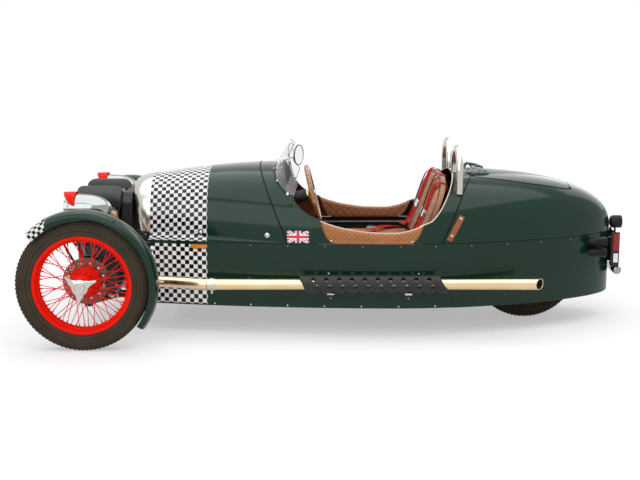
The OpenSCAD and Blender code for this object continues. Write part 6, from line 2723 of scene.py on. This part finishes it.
@dataclass
class Cockpit:
    """Seats, pads, harness, dash, steering wheel, screens, mirror and hoops."""

    form: BodyForm
    seat_base: Point = (-0.472, 0.0, 0.4404)
    seat_lean: float = 19.5
    back_half: float = 0.405
    back_height: float = 0.412
    back_power: float = 3.2
    shoulder: float = 0.19
    seat_mid: float = 0.2145
    flute: float = 0.033
    channel: float = 0.0046
    column: Point = (0.128, 0.22, 0.74)
    column_angle: float = 13.6
    pad_top: tuple[Pair, ...] = ((-0.464, 0.604), (-0.443, 0.594), (-0.38, 0.572), (-0.311, 0.561),
                                 (-0.2, 0.563), (-0.06, 0.581), (0.04, 0.607), (0.088, 0.626))
    pad_front: tuple[Pair, ...] = ((0.0, 0.004), (0.05, 0.022), (0.12, 0.036), (0.3, 0.053), (0.6, 0.07),
                                   (1.0, 0.087))
    pad_back: tuple[Pair, ...] = ((0.0, -0.375), (0.05, -0.398), (0.12, -0.411), (0.3, -0.427),
                                  (0.6, -0.445), (1.0, -0.463))

    def build(self) -> None:
        """Makes everything in and round the cockpit."""
        self.linings()
        self.pads()
        self.cushions()
        self.backs()
        self.harness()
        self.edges()
        self.dash()
        self.steering()
        self.screens()
        self.mirror()
        self.hoops()

    def linings(self) -> None:
        """Dark linings inside the scuttle, the sides and behind the seat."""
        f = self.form
        dark = fixed(Slot.PLASTIC)
        piece("scuttle_lining", f.upper_panel(f.moved(f.bonnet_joint, -0.01),
                                              f.moved(f.scuttle_edge, 0.003), 14, 48, 0.0075, 0.0015),
              LINING, fixed(Slot.LEATHER))
        piece("deck_lining", f.upper_panel(f.moved(f.deck_edge, -0.003), f.moved(f.tail_joint, 0.006), 10,
                                           48, 0.0075, 0.0015), DARK, dark)
        solid = Solid()
        xs = [mix(0.6, -0.61, i / 40) for i in range(41)]
        solid.shell([[(x, f.plan(x, 0.0075), z) for z in (0.5, 0.4, 0.3, 0.166)] for x in xs],
                    [[(x, f.plan(x, 0.0105), z) for z in (0.5, 0.4, 0.3, 0.166)] for x in xs])
        piece("side_linings", solid.mirrored(), DARK, dark)
        rail = [(x, f.plan(x) - 0.0225, 0.472) for x in (mix(0.1, -0.45, i / 30) for i in range(31))]
        piece("cockpit_rails", Solid().tube(rail, 0.006, 12).mirrored(), EDGE, fixed(Slot.POLISHED))
        w = f.plan(-0.612) - 0.024
        wall = Solid().prism([(-w, 0.225), (w, 0.225), (w, 0.6), (w * 0.86, 0.74), (w * 0.5, 0.8),
                              (-w * 0.5, 0.8), (-w * 0.86, 0.74), (-w, 0.6)], from_ahead, -0.612, -0.608)
        piece("seat_bulkhead", wall, DARK, dark)

    def pad_spot(self, t: float, share: float, dy: float) -> Point:
        """A point of a side pad, t along it and share up it.

        Args:
            t: share of the pad's length.
            share: share of its height.
            dy: distance out from the body's side.

        Returns:
            The point.
        """
        f = self.form
        x = mix(smooth_table(self.pad_front, share), smooth_table(self.pad_back, share), t)
        return (x, f.plan(x) + dy, mix(f.belt + 0.0012, smooth_table(self.pad_top, x), share))

    def seam(self, x: float, z: float, size: float) -> float:
        """How near a place lies to a seam between diamonds of a size, from 0 to 1."""
        return max(abs(((x + z) / size) % 2 - 1) ** 5, abs(((x - z) / size) % 2 - 1) ** 5)

    def pads(self) -> None:
        """Quilted leather pads along the cockpit's sides, with piping and corner studs."""
        section = [(0.01, 0.0), (0.25, 0.0025), (0.5, 0.004), (0.82, 0.002), (0.96, -0.006), (1.0, -0.017),
                   (1.0, -0.027), (0.93, -0.038), (0.8, -0.043), (0.01, -0.043)]
        around, along = 60, 224
        shares = smooth_ring([p[0] for p in section], around)
        depths = smooth_ring([p[1] for p in section], around)
        rows, uvs = [], []
        for i in range(along + 1):
            row = []
            for share, dy in zip(shares, depths):
                x, y, z = self.pad_spot(i / along, share, dy)
                out = clamp01((dy + 0.012) / 0.008) * clamp01(share / 0.06)
                dent = 0.0012 * self.seam(x, z, QUILT.quilt) * out
                back = clamp01((-0.034 - dy) / 0.006) * clamp01(share / 0.06)
                row.append((x, y - dent + 0.0024 * self.seam(x, z, QUILT.quilt * QUILT.wide) * back, z))
                uvs.append((x, z))
            rows.append(row)
        solid = Solid().grid(rows, wrap=True, caps=True, uvs=uvs).mirrored()
        obj = piece("quilted_pads", solid, QUILT, fixed(Slot.LEATHER, "cockpit_pads"), sharp=Crease.PAD)
        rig.padded(obj, 0.8)
        piping, dark = Solid(), Solid()
        count = 60
        piping.tube([self.pad_spot(i / count, 0.985, -0.0095) for i in range(count + 1)], 0.0036, 10)
        dark.tube([self.pad_spot(i / count, 0.028, 0.001) for i in range(count + 1)], 0.0036, 10)
        for t in (0.004, 0.996):
            dark.tube([self.pad_spot(t, 0.03 + 0.93 * k / 14, 0.0025) for k in range(15)], 0.0032, 10)
        piece("pad_top_piping", piping.mirrored(), PALE, fixed(Slot.LEATHER))
        piece("pad_low_piping", dark.mirrored(), STRAP_TAN, fixed(Slot.LEATHER))
        studs = [(Vector(self.pad_spot(t, 0.17, 0.0045)), Vector(LEFTWARD)) for t in (0.03, 0.97)]
        studs += [(Vector((p.x, -p.y, p.z)), Vector((0, -1, 0))) for p, _ in studs]
        Repeat("pad_stud", dome(0.0042, 0.0026, 14, washer=0.001), CHROME).piece(
            "pad_studs", studs, fixed(Slot.POLISHED))

    def cushions(self) -> None:
        """Two fluted seat cushions on a dark base that leaves the middle tunnel free."""
        base = Solid().box((-0.474, 0.074, 0.2012), (-0.004, 0.426, 0.332))
        piece("seat_base", base.mirrored(), DARK, fixed(Slot.PLASTIC), bevel=0.008)
        for side in Side:
            middle = self.seat_mid * side.value
            solid = rounded_block((-0.468, middle - 0.2055, 0.335), (-0.008, middle + 0.2055, 0.438), 0.03)

            def sew(p: Vector, n: Vector, middle: float = middle) -> Vector:
                """Channels along the car on the cushion's top.

                Args:
                    p: the point.
                    n: its normal.
                    middle: the cushion's middle.

                Returns:
                    How far the point moves.
                """
                off = abs((p.y - middle) / self.flute - round((p.y - middle) / self.flute)) * self.flute
                inside = clamp01((0.175 - abs(p.y - middle)) / 0.01)
                inside *= clamp01((p.x + 0.45) / 0.02) * clamp01((-0.03 - p.x) / 0.02)
                return -n * (0.0055 * exp(-(off / self.channel) ** 2) * inside * clamp01(n.z * 2 - 0.6))

            nodes = ("seat_cushion",) if side is Side.LEFT else ()
            plump(f"seat_cushion_{side.word}", solid, TAN, fixed(Slot.LEATHER, *nodes), 0.009, sew, 0.75)

    def lean(self) -> Matrix:
        """Turns the seat back's own frame, X forward and Z up the back, into the car's."""
        return Matrix.Translation(self.seat_base) @ Matrix.Rotation(radians(-self.seat_lean), 4, "Y")

    def back_outline(self, drop: float) -> list[Pair]:
        """The back's left half as (across, up), moved in by drop, from its foot to the middle.

        Args:
            drop: how far inside the edge.

        Returns:
            The outline's points.
        """
        w, h = self.back_half - drop, self.back_height - drop
        points, power = [(w, drop)], 2 / self.back_power
        for i in range(15):
            a = pi / 2 * i / 14
            points.append((w * cos(a) ** power, self.shoulder + (h - self.shoulder) * sin(a) ** power))
        return points

    def backs(self) -> None:
        """Two fluted pads on a trimmed shell, with piping of the same tan leather round them."""
        turn = self.lean()

        def put(u: float, v: float, d: float) -> Point:
            """A point on the seat back, d ahead of it, in the car's frame."""
            return tuple(turn @ Vector((d, u, v)))

        half = self.back_outline(0.0)
        shell = Solid().prism(half + [(-u, v) for u, v in reversed(half[:-1])], put, 0.0, 0.024)
        piece("seat_back_shell", shell, SEAT_TAN, fixed(Slot.LEATHER, "seat_back"), bevel=0.006, steps=3)
        line = self.back_outline(0.004)
        path = [put(u, v, 0.025) for u, v in line + [(-u, v) for u, v in reversed(line[:-1])]]
        piece("seat_back_piping", Solid().tube(path, 0.0034, 10), SEAT_TAN, fixed(Slot.LEATHER))
        back = turn.inverted()
        for side in Side:
            outline = [(u, v) for u, v in self.back_outline(0.014) if u > 0.012]
            outline += [(0.01, outline[-1][1]), (0.01, 0.014)]
            outline = [(u * side.value, v) for u, v in outline]
            solid = Solid()
            middle = Vector((0.2 * side.value, 0.22))
            rows = []
            for d, shrink in ((0.0252, 0.012), (0.029, 0.0), (0.034, 0.0), (0.038, 0.01)):
                rows.append([put(u + (middle.x - u) * shrink * 4, v + (middle.y - v) * shrink * 4, d)
                             for u, v in outline])
            solid.grid(rows, wrap=True, caps=True)

            def sew(p: Vector, n: Vector, side: Side = side) -> Vector:
                """Upright channels on the pad's front.

                Args:
                    p: the point.
                    n: its normal.
                    side: which side of the car.

                Returns:
                    How far the point moves.
                """
                at = back @ p
                front = back.to_3x3() @ n
                across = at.y * side.value - 0.2
                off = abs(across / self.flute - round(across / self.flute)) * self.flute
                inside = clamp01((0.16 - abs(across)) / 0.01)
                inside *= clamp01((at.z - 0.03) / 0.02) * clamp01((self.back_height - 0.052 - at.z) / 0.02)
                return -n * (0.006 * exp(-(off / self.channel) ** 2) * inside * clamp01(front.x * 2 - 0.6))

            plump(f"seat_back_pad_{side.word}", solid, SEAT_TAN, fixed(Slot.LEATHER), 0.008, sew, 0.7)

    def back_top(self, u: float) -> float:
        """Height of the seat back, along itself, at a place across it."""
        share = max(0.0, 1 - (abs(u) / self.back_half) ** self.back_power) ** (1 / self.back_power)
        return self.shoulder + (self.back_height - self.shoulder) * share

    def harness(self) -> None:
        """Red webbing over each back with bright adjusters and a round buckle."""
        turn = self.lean()
        belts, metal, buckles = Solid(), Solid(), Solid()
        for side in Side:
            centre = self.seat_mid * side.value
            for e in (-1, 1):
                u = centre + e * 0.075
                top = self.back_top(abs(u) + 0.022)
                face = (-0.35, e, 0)
                route = [(-0.006, u, top - 0.11), (-0.005, u, top - 0.01), (0.006, u, top + 0.0045),
                         (0.026, u, top + 0.006), (0.044, u, top + 0.001), (0.054, u, top - 0.03),
                         (0.0565, centre + e * 0.07, 0.27), (0.058, centre + e * 0.05, 0.15),
                         (0.075, centre + e * 0.024, 0.05), (0.102, centre + e * 0.01, 0.034)]
                path = curve([turn @ Vector(p) for p in route], 48)
                belts.tube(path, 0.0185, 12, flat=0.09, side=face)
                spot = path[35]
                way = (path[36] - path[34]).normalized()
                metal.tube([spot - way * 0.022, spot - way * 0.012, spot + way * 0.012, spot + way * 0.022],
                           [0.021, 0.023, 0.023, 0.021], 16, flat=0.14, side=face)
                lap = [(-0.395, centre + e * 0.19, 0.452), (-0.33, centre + e * 0.15, 0.463),
                       (-0.255, centre + e * 0.07, 0.467), (-0.222, centre + e * 0.022, 0.472)]
                belts.tube(curve(lap, 20), 0.0185, 12, flat=0.09, side=(1, 0, 0.15))
            metal.box((-0.244, centre - 0.026, 0.466), (-0.188, centre + 0.026, 0.484))
            buckles.box((-0.234, centre - 0.014, 0.4844), (-0.198, centre + 0.014, 0.4885))
        piece("harness_webbing", belts, WEBBING, fixed(Slot.RED), sharp=Crease.SHEET)
        piece("harness_metal", metal, CHROME, fixed(Slot.POLISHED), bevel=0.002)
        piece("harness_buckles", buckles, PLASTIC, fixed(Slot.PLASTIC), bevel=0.0012)

    def edges(self) -> None:
        """Dark trim on the scuttle's edge and pale piping on the deck's."""
        f = self.form
        turns = f.angles(120)
        roll = [f.spot(smooth_table(f.scuttle_edge, f.rise(a)) - 0.002, a, 0.003) for a in turns
                if f.rise(a) > 0.3]
        piece("scuttle_edge_trim", Solid().tube(roll, 0.0048, 12), PLASTIC, fixed(Slot.PLASTIC))
        bead = [f.spot(smooth_table(f.deck_edge, f.rise(a)) + 0.001, a, 0.003) for a in turns
                if f.rise(a) > 0.24]
        piece("deck_piping", Solid().tube(bead, 0.004, 12), PALE, fixed(Slot.LEATHER))

    def dash(self) -> None:
        """Dials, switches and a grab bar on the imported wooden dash."""
        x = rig.box("dashboard")[0][0]
        bezels, faces, needles, ticks = Solid(), Solid(), Solid(), []
        for y, z, r in ((0.035, 0.79, 0.052), (-0.095, 0.79, 0.052), (-0.205, 0.765, 0.03),
                        (-0.285, 0.745, 0.026)):
            bezels.lathe([(r, 0.0004), (r + 0.006, 0.0004), (r + 0.0065, 0.006), (r + 0.003, 0.01),
                          (r - 0.002, 0.0085), (r - 0.002, 0.0004)], (x, y, z), ASTERN, 48, closed=True)
            faces.rod(r - 0.002, 0.0004, 0.003, (x, y, z), ASTERN, 48)
            for k in range(25):
                a = radians(-40 + 260 * k / 24)
                step = Vector((0, -cos(a), sin(a)))
                ticks.append((Vector((x - 0.0031, y, z)) + step * (r - 0.012), step))
            needles.tube([(x - 0.0045, y, z), (x - 0.0045, y + r * 0.45, z + r * 0.5)], [0.0024, 0.0006], 8)
            needles.lathe([(0, 0.003), (0.005, 0.003), (0.004, 0.0065), (0, 0.007)], (x, y, z), ASTERN, 16)
        bright = fixed(Slot.POLISHED)
        piece("dial_bezels", bezels, CHROME, bright)
        piece("dial_faces", faces, DIAL, fixed(Slot.WOOD))
        piece("dial_needles", needles, PLASTIC, fixed(Slot.PLASTIC))
        Repeat("dial_tick", Solid().box((-0.0006, -0.0006, 0), (0.0006, 0.0006, 0.0075)), PLASTIC).piece(
            "dial_ticks", ticks, fixed(Slot.PLASTIC))
        toggle = Solid().lathe([(0, 0), (0.007, 0), (0.007, 0.004), (0.0022, 0.006), (0.0022, 0.014),
                                (0.0036, 0.02), (0, 0.022)], segments=12)
        Repeat("toggle", toggle, CHROME).piece("dash_toggles", [((x, -0.02 - 0.032 * i, 0.705), ASTERN)
                                                                for i in range(5)], bright)
        bar = curve([(x, -0.385, 0.69), (x - 0.03, -0.37, 0.69), (x - 0.034, -0.3, 0.69),
                     (x - 0.034, -0.23, 0.69), (x - 0.03, -0.215, 0.69), (x, -0.2, 0.69)], 30)
        piece("grab_bar", Solid().tube(bar, 0.0075, 12), CHROME, bright)

    def steering(self) -> None:
        """The wood-rimmed wheel with three drilled spokes, and trim on the column."""
        turn = Matrix.Translation(self.column) @ Matrix.Rotation(radians(90 + self.column_angle), 4, "Y")

        def put(u: float, v: float, d: float) -> Point:
            """A point of the steering wheel, d along the column, in the car's frame."""
            return tuple(turn @ Vector((u, v, d)))

        big, count, sides = 0.151, 144, 14
        rows = []
        for i in range(count):
            a = 2 * pi * i / count
            r = 0.0128 + 0.0009 * cos(36 * a)
            rows.append([put((big + r * c) * cos(a), (big + r * c) * sin(a), r * s)
                         for c, s in circle(sides)])
        berth = Berth(Body.STEERING, Slot.WOOD, ("steering_wheel",))
        piece("wheel_rim_wood", Solid().grid(rows, wrap=True, loop=True), WOOD, berth)
        spokes, holes = Solid(), Solid()
        for degrees in (90, 210, 330):
            a = radians(degrees)
            along, across = Vector((cos(a), sin(a), 0)), Vector((-sin(a), cos(a), 0))
            outline = [(0.02, -0.017), (0.06, -0.013), (0.11, -0.012), (0.1415, -0.019), (0.1415, 0.019),
                       (0.11, 0.012), (0.06, 0.013), (0.02, 0.017)]
            spokes.prism(outline,
                         lambda u, v, d: tuple(turn @ (along * u + across * v + Vector((0, 0, d)))),
                         -0.0022, 0.0022)
            for u, r in ((0.062, 0.0072), (0.086, 0.0066), (0.109, 0.006)):
                holes.rod(r, -0.01, 0.01, turn @ (along * u), turn.to_3x3() @ Vector(UP), 16)
        metal = Berth(Body.STEERING, Slot.POLISHED)
        carve(piece("wheel_spokes_drilled", spokes, POLISHED, metal), holes, POLISHED)
        axis = tuple(turn.to_3x3() @ Vector((0, 0, -1)))
        hub = [(0.0105, -0.018), (0.026, -0.018), (0.031, -0.01), (0.034, -0.0026), (0.034, 0.0034),
               (0.028, 0.006), (0.024, 0.0105), (0.0105, 0.0115)]
        piece("wheel_hub", Solid().lathe(hub, self.column, axis, 40, closed=True), PLASTIC,
              Berth(Body.STEERING, Slot.PLASTIC), sharp=Crease.TURNED)
        centre = Vector(self.column)
        way = Vector(axis)
        button = [(0, 0.0165), (0.012, 0.0158), (0.019, 0.013), (0.0205, 0.0105), (0, 0.0105)]
        piece("horn_button", Solid().lathe(button, self.column, axis, 32), POLISHED, metal)
        bolts = [(centre + way * 0.0036 + (turn.to_3x3() @ Vector((c, s, 0))) * 0.0295, way)
                 for c, s in circle(6)]
        Repeat("hub_bolt", dome(0.0032, 0.002, 8), CHROME).piece("wheel_hub_bolts", bolts, metal)
        shroud = [(0.0225, -0.035), (0.03, -0.036), (0.033, -0.05), (0.033, -0.135), (0.026, -0.15),
                  (0.0225, -0.15)]
        ring = [(0.0225, -0.15), (0.027, -0.15), (0.0275, -0.162), (0.0225, -0.163)]
        collar = [(0.0225, -0.0225), (0.0285, -0.0228), (0.0295, -0.026), (0.0285, -0.033), (0.0225, -0.0345)]
        for name, profile, finish, slot, sharp in (("column_shroud", shroud, PLASTIC, Slot.PLASTIC, 40),
                                                   ("column_brass", collar, BRASS, Slot.POLISHED, 40),
                                                   ("column_collar", ring, PIPE_STEEL, Slot.POLISHED, 35)):
            solid = Solid().lathe(profile, self.column, axis, 36, closed=True)
            piece(name, solid, finish, fixed(slot), sharp=sharp)

    def screens(self) -> None:
        """Two clear screens raked back from the scuttle, with dark edging and feet."""
        f = self.form
        half, ends, count = 0.192, (84.0, -56.0), 40

        def foot(a: float, s: float) -> Vector:
            """A point on the screen's foot."""
            x, y = 0.222 + (0.12 - s) * cos(a), half + 0.023 + (half - s) * sin(a)
            return Vector((x, y, f.top(x, y) + 0.0008))

        def tip(a: float, s: float) -> Vector:
            """A point on the screen's upper edge."""
            k = cos(a * 0.86)
            return foot(a, s) + Vector((-0.078 * k, -0.026 * sin(a), 0.026 + 0.104 * max(0.0, k) ** 0.8))

        turns = [radians(mix(*ends, j / count)) for j in range(count + 1)]

        def rows(s: float) -> list[list[Vector]]:
            """The pane's surface, moved in by s."""
            return [[tip(a, s).lerp(foot(a, s), i / 8) for a in turns] for i in range(9)]

        solid = Solid().shell(rows(0.0006), rows(0.0042))
        piece("screen_panes", solid.mirrored(), SCREEN, fixed(Slot.CLEAR, "aeroscreens"), sharp=Crease.PANEL)
        top = Solid().tube([tip(a, 0.0024) for a in turns], 0.0017, 10)
        for a in (turns[0], turns[-1]):
            top.tube([tip(a, 0.0024).lerp(foot(a, 0.0024), k / 4) for k in range(5)], 0.0017, 10)
        low = Solid().tube([foot(a, 0.0024) + Vector((0, 0, 0.004)) for a in turns], 0.0048, 10)
        piece("screen_edging", top.mirrored(), EDGE, fixed(Slot.CLEAR))
        piece("screen_gasket", low.mirrored(), PLASTIC, fixed(Slot.PLASTIC))
        spots = []
        for j in (4, 14, 24, 35):
            p = foot(turns[j], -0.003) + Vector((0, 0, 0.012))
            out = Vector((cos(turns[j]) * 1.2, sin(turns[j]), 0.35)).normalized()
            spots += [(p, out), (Vector((p.x, -p.y, p.z)), Vector((out.x, -out.y, out.z)))]
        Repeat("screen_screw", dome(0.006, 0.003, 12, washer=0.0015), CHROME).piece(
            "screen_screws", spots, fixed(Slot.POLISHED))

    def mirror(self) -> None:
        """The round mirror on its stem in the middle of the scuttle."""
        f = self.form
        turn = Matrix.Rotation(radians(-25), 3, "Z")
        axis = turn @ Vector(ASTERN)
        head = Vector((0.226, 0.0, 0.932))
        shell = [(0, -0.0005), (0.02, -0.0002), (0.04, 0.0015), (0.052, 0.006), (0.057, 0.012),
                 (0.058, 0.017), (0.0565, 0.02), (0.054, 0.0196), (0.0535, 0.0175), (0, 0.0175)]
        solid = Solid().lathe(shell, head, axis, 56)
        foot = Vector((0.325, 0.0, f.crown(0.325)))
        solid.tube(curve([foot + Vector((0, 0, 0.006)), foot + Vector((-0.018, 0, 0.02)),
                          head + Vector((0.02, 0, -0.012)), head + Vector((-0.002, 0, -0.006))], 16), 0.005,
                   14)
        solid.lathe([(0, 0.0006), (0.014, 0.0006), (0.0135, 0.005), (0.009, 0.0085), (0, 0.009)], foot, UP,
                    32)
        piece("mirror_shell", solid, CHROME, fixed(Slot.POLISHED, "mirror"), sharp=Crease.TURNED)
        piece("mirror_glass", Solid().lathe([(0, 0.0176), (0.053, 0.0176), (0.0528, 0.0186), (0, 0.019)],
                                            head, axis, 56), MIRROR, fixed(Slot.CLEAR))
        piece("mirror_ring", Solid().lathe([(0.0545, 0.015), (0.059, 0.015), (0.059, 0.0205),
                                            (0.0545, 0.0205)], head, axis, 56, closed=True), PLASTIC,
              fixed(Slot.PLASTIC), bevel=0.0008)

    def hoops(self) -> None:
        """Two bright roll hoops, each leg in a dark grommet on the deck."""
        f = self.form
        x, y, half, r = -0.664, 0.24, 0.12, 0.02
        z = f.top(x, y - half - r) + 0.0006 + 0.0224
        solid, collars = Solid(), Solid()
        for e in (-1, 1):
            legs = {s: f.top(x, e * y + s * half) for s in (-1, 1)}
            arc = [(x, e * y - half * cos(pi * k / 32), z + half * sin(pi * k / 32)) for k in range(33)]
            path = [(x, e * y - half, legs[-1] - 0.002), *arc, (x, e * y + half, legs[1] - 0.002)]
            solid.tube(path, r - 0.0002, 28, side=AHEAD)
            for s in (-1, 1):
                at = Vector((x, e * y + s * half, legs[s]))
                slope = Vector((f.top(x - 0.01, at.y) - f.top(x + 0.01, at.y), f.top(x, at.y - 0.01)
                                - f.top(x, at.y + 0.01), 0.02)).normalized()
                collars.lathe([(0.0195, -0.002), (0.0225, -0.002), (0.0226, 0.001), (0.0218, 0.0022),
                               (0.0195, 0.0026)], at, slope, 40, closed=True)
        piece("roll_hoop_tubes", solid, HOOP_STEEL, fixed(Slot.POLISHED, "roll_hoops"), sharp=Crease.TURNED)
        piece("roll_hoop_grommets", collars, PLASTIC, fixed(Slot.PLASTIC), sharp=Crease.TURNED)


def smooth_ring(values: Sequence[float], count: int) -> list[float]:
    """A closed run of values resampled smoothly to count of them.

    Args:
        values: the run.
        count: how many values are wanted.

    Returns:
        The new run.
    """
    n = len(values)
    made = []
    for k in range(count):
        t = k / count * n
        i = int(t)
        made.append(spline(*(values[(i + j) % n] for j in (-1, 0, 1, 2)), t - i))
    return made


def rounded_block(low: Point, high: Point, corner: float) -> Solid:
    """A block with round corners, as rings stacked up it.

    Args:
        low: its lowest corner.
        high: its highest corner.
        corner: radius of the rounds.

    Returns:
        The block.
    """
    rows = []
    levels = [(0.0, 0.45), (0.12, 0.1), (0.5, 0.0), (0.88, 0.12), (1.0, 0.5)]
    for share, pull in levels:
        z = mix(low[2], high[2], share)
        step = corner * pull
        x0, y0, x1, y1 = low[0] + step, low[1] + step, high[0] - step, high[1] - step
        row = []
        for cx, cy, start in ((x1, y1, 0), (x0, y1, 90), (x0, y0, 180), (x1, y0, 270)):
            for k in range(7):
                a = radians(start + 15 * k)
                ox, oy = (-1 if cx == x1 else 1), (-1 if cy == y1 else 1)
                row.append((cx + ox * corner + corner * cos(a), cy + oy * corner + corner * sin(a), z))
        rows.append(row)
    return Solid().grid(rows, wrap=True, caps=True)


@dataclass
class Running:
    """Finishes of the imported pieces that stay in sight: frame, floor, suspension, dash and rear wheel."""

    plain: tuple[tuple[str, Finish], ...] = (("chassis_frame", FRAME_BLACK), ("floor_pan", DARK),
                                             ("dashboard", DASH_WOOD), ("steering_column", PLASTIC),
                                             ("crankcase", ENGINE_BLACK), ("front_wishbones", FRAME_BLACK),
                                             ("front_dampers", DAMPER), ("rear_suspension", FRAME_BLACK),
                                             ("boot_tray", CARPET), ("track_rod", POLISHED),
                                             ("knuckle_left", ENGINE_BLACK),
                                             ("knuckle_right", ENGINE_BLACK), ("wheel_rear", CAST))

    def build(self) -> None:
        """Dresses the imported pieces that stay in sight."""
        for node, finish in self.plain:
            for slot in frame["nodes"][node].material_slots:
                slot.material = finish.material()
            log.info("dressed %s", node)


@dataclass
class Studio:
    """Pale floor, soft lights and the camera at the photograph's angle."""

    eye: Point = (0.089, 6.28, 1.554)
    pitch: float = 10.07
    lens: float = 62.1
    fill: float = 0.55
    floor_glow: float = 0.42
    floor_half: float = 40.0
    boxes: tuple[tuple[str, Point, Point, Pair, float], ...] = (
        ("top_box", (0.3, 0.4, 5.0), ORIGIN, (9.0, 7.0), 320),
        ("side_box", (3.4, 6.6, 4.0), (0.2, 0, 0.4), (8.0, 5.0), 220),
        ("back_box", (-5.0, -4.8, 4.0), (-0.2, 0, 0.4), (7.0, 5.0), 170))
    floor_tone: float = 0.8

    def build(self) -> None:
        """Makes the floor, the world, the lamps and the camera."""
        scene = bpy.context.scene
        scene.view_settings.view_transform = "Standard"
        self.floor()
        self.world()
        for box in self.boxes:
            self.lamp(*box)
        data = bpy.data.cameras.new("camera")
        data.lens, data.sensor_width = self.lens, 36.0
        camera = bpy.data.objects.new("camera", data)
        camera.location = self.eye
        camera.rotation_euler = (radians(90 - self.pitch), 0, pi)
        scene.collection.objects.link(camera)
        scene.camera = camera

    def nodes(self, tree: bpy.types.NodeTree, *kinds: str) -> list[bpy.types.Node]:
        """Adds shader nodes of these kinds to a tree."""
        return [tree.nodes.new("ShaderNode" + kind) for kind in kinds]

    def wire(self, tree: bpy.types.NodeTree,
             *pairs: tuple[bpy.types.NodeSocket, bpy.types.NodeSocket]) -> None:
        """Links each output to its input."""
        for source, target in pairs:
            tree.links.new(source, target)

    def shown(self, tree: bpy.types.NodeTree) -> bpy.types.NodeSocket:
        """The socket that is 1 where the camera, a mirror or glass looks at the backdrop.

        Args:
            tree: the shader tree.

        Returns:
            The socket.
        """
        path = tree.nodes.new("ShaderNodeLightPath")
        seen: bpy.types.NodeSocket = path.outputs["Is Camera Ray"]
        for ray in ("Is Glossy Ray", "Is Transmission Ray"):
            more = tree.nodes.new("ShaderNodeMath")
            more.operation = "MAXIMUM"
            self.wire(tree, (seen, more.inputs[0]), (path.outputs[ray], more.inputs[1]))
            seen = more.outputs[0]
        return seen

    def floor(self) -> None:
        """A pale floor that shows white to the camera and keeps the shadow."""
        far = self.floor_half
        sheet = Solid().add([(-far, -far, 0), (far, -far, 0), (far, far, 0), (-far, far, 0)], [(0, 1, 2, 3)])
        obj = bpy.data.objects.new("studio_floor", sheet.mesh("studio_floor"))
        bpy.context.scene.collection.objects.link(obj)
        material = bpy.data.materials.new("studio_floor")
        material.use_nodes = True
        tree = material.node_tree
        tree.nodes.clear()
        out, pale, glow, place, length, fade, seen, both = self.nodes(
            tree, "OutputMaterial", "BsdfDiffuse", "Emission", "TexCoord", "VectorMath", "MapRange", "Math",
            "MixShader")
        pale.inputs["Color"].default_value = (self.floor_tone,) * 3 + (1,)
        length.operation = "LENGTH"
        fade.interpolation_type = "SMOOTHSTEP"
        seen.operation = "MULTIPLY"
        for name, value in (("From Min", 1.9), ("From Max", 4.6), ("To Min", self.floor_glow),
                            ("To Max", 1.0)):
            fade.inputs[name].default_value = value
        self.wire(tree, (place.outputs["Object"], length.inputs[0]),
                  (length.outputs["Value"], fade.inputs["Value"]), (self.shown(tree), seen.inputs[0]),
                  (fade.outputs["Result"], seen.inputs[1]), (seen.outputs[0], both.inputs["Fac"]),
                  (pale.outputs[0], both.inputs[1]), (glow.outputs[0], both.inputs[2]),
                  (both.outputs[0], out.inputs["Surface"]))
        obj.data.materials.append(material)
        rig.stage(obj)

    def world(self) -> None:
        """A white world to the camera, metal and glass, dimmer as a light."""
        world = bpy.data.worlds.new("studio")
        world.use_nodes = True
        tree = world.node_tree
        tree.nodes.clear()
        out, sky, level = self.nodes(tree, "OutputWorld", "Background", "MapRange")
        level.inputs["To Min"].default_value = self.fill
        level.inputs["To Max"].default_value = 1.0
        sky.inputs["Color"].default_value = (1, 1, 1, 1)
        self.wire(tree, (self.shown(tree), level.inputs["Value"]),
                  (level.outputs["Result"], sky.inputs["Strength"]),
                  (sky.outputs[0], out.inputs["Surface"]))
        bpy.context.scene.world = world

    def lamp(self, name: str, place: Point, target: Point, size: Pair, power: float) -> None:
        """Adds a soft box that looks at a point.

        Args:
            name: the lamp's name.
            place: where it hangs.
            target: what it looks at.
            size: its width and height.
            power: its power in watts.
        """
        data = bpy.data.lights.new(name, "AREA")
        data.shape, data.size, data.size_y, data.energy = "RECTANGLE", size[0], size[1], power
        obj = bpy.data.objects.new(name, data)
        obj.location = place
        obj.rotation_euler = (Vector(target) - Vector(place)).to_track_quat("-Z", "Y").to_euler()
        bpy.context.scene.collection.objects.link(obj)


def main() -> None:
    """Builds the studio and the car's sub-assemblies in order."""
    logging.basicConfig(level=logging.INFO, format="%(message)s")
    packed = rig.bounds()
    form = BodyForm()
    Studio().build()
    Bodywork(form).build()
    for side in Side:
        FrontWheel(side).build()
    RearWheel().build()
    Engine().build()
    Lamps(form).build()
    Exhaust(form).build()
    Cockpit(form).build()
    Running().build()
    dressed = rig.bounds()
    with open(SIZE_FILE, "w") as out:
        json.dump({"cad": [list(p) for p in packed], "visual": [list(p) for p in dressed]}, out)


if __name__ == "__main__":
    main()
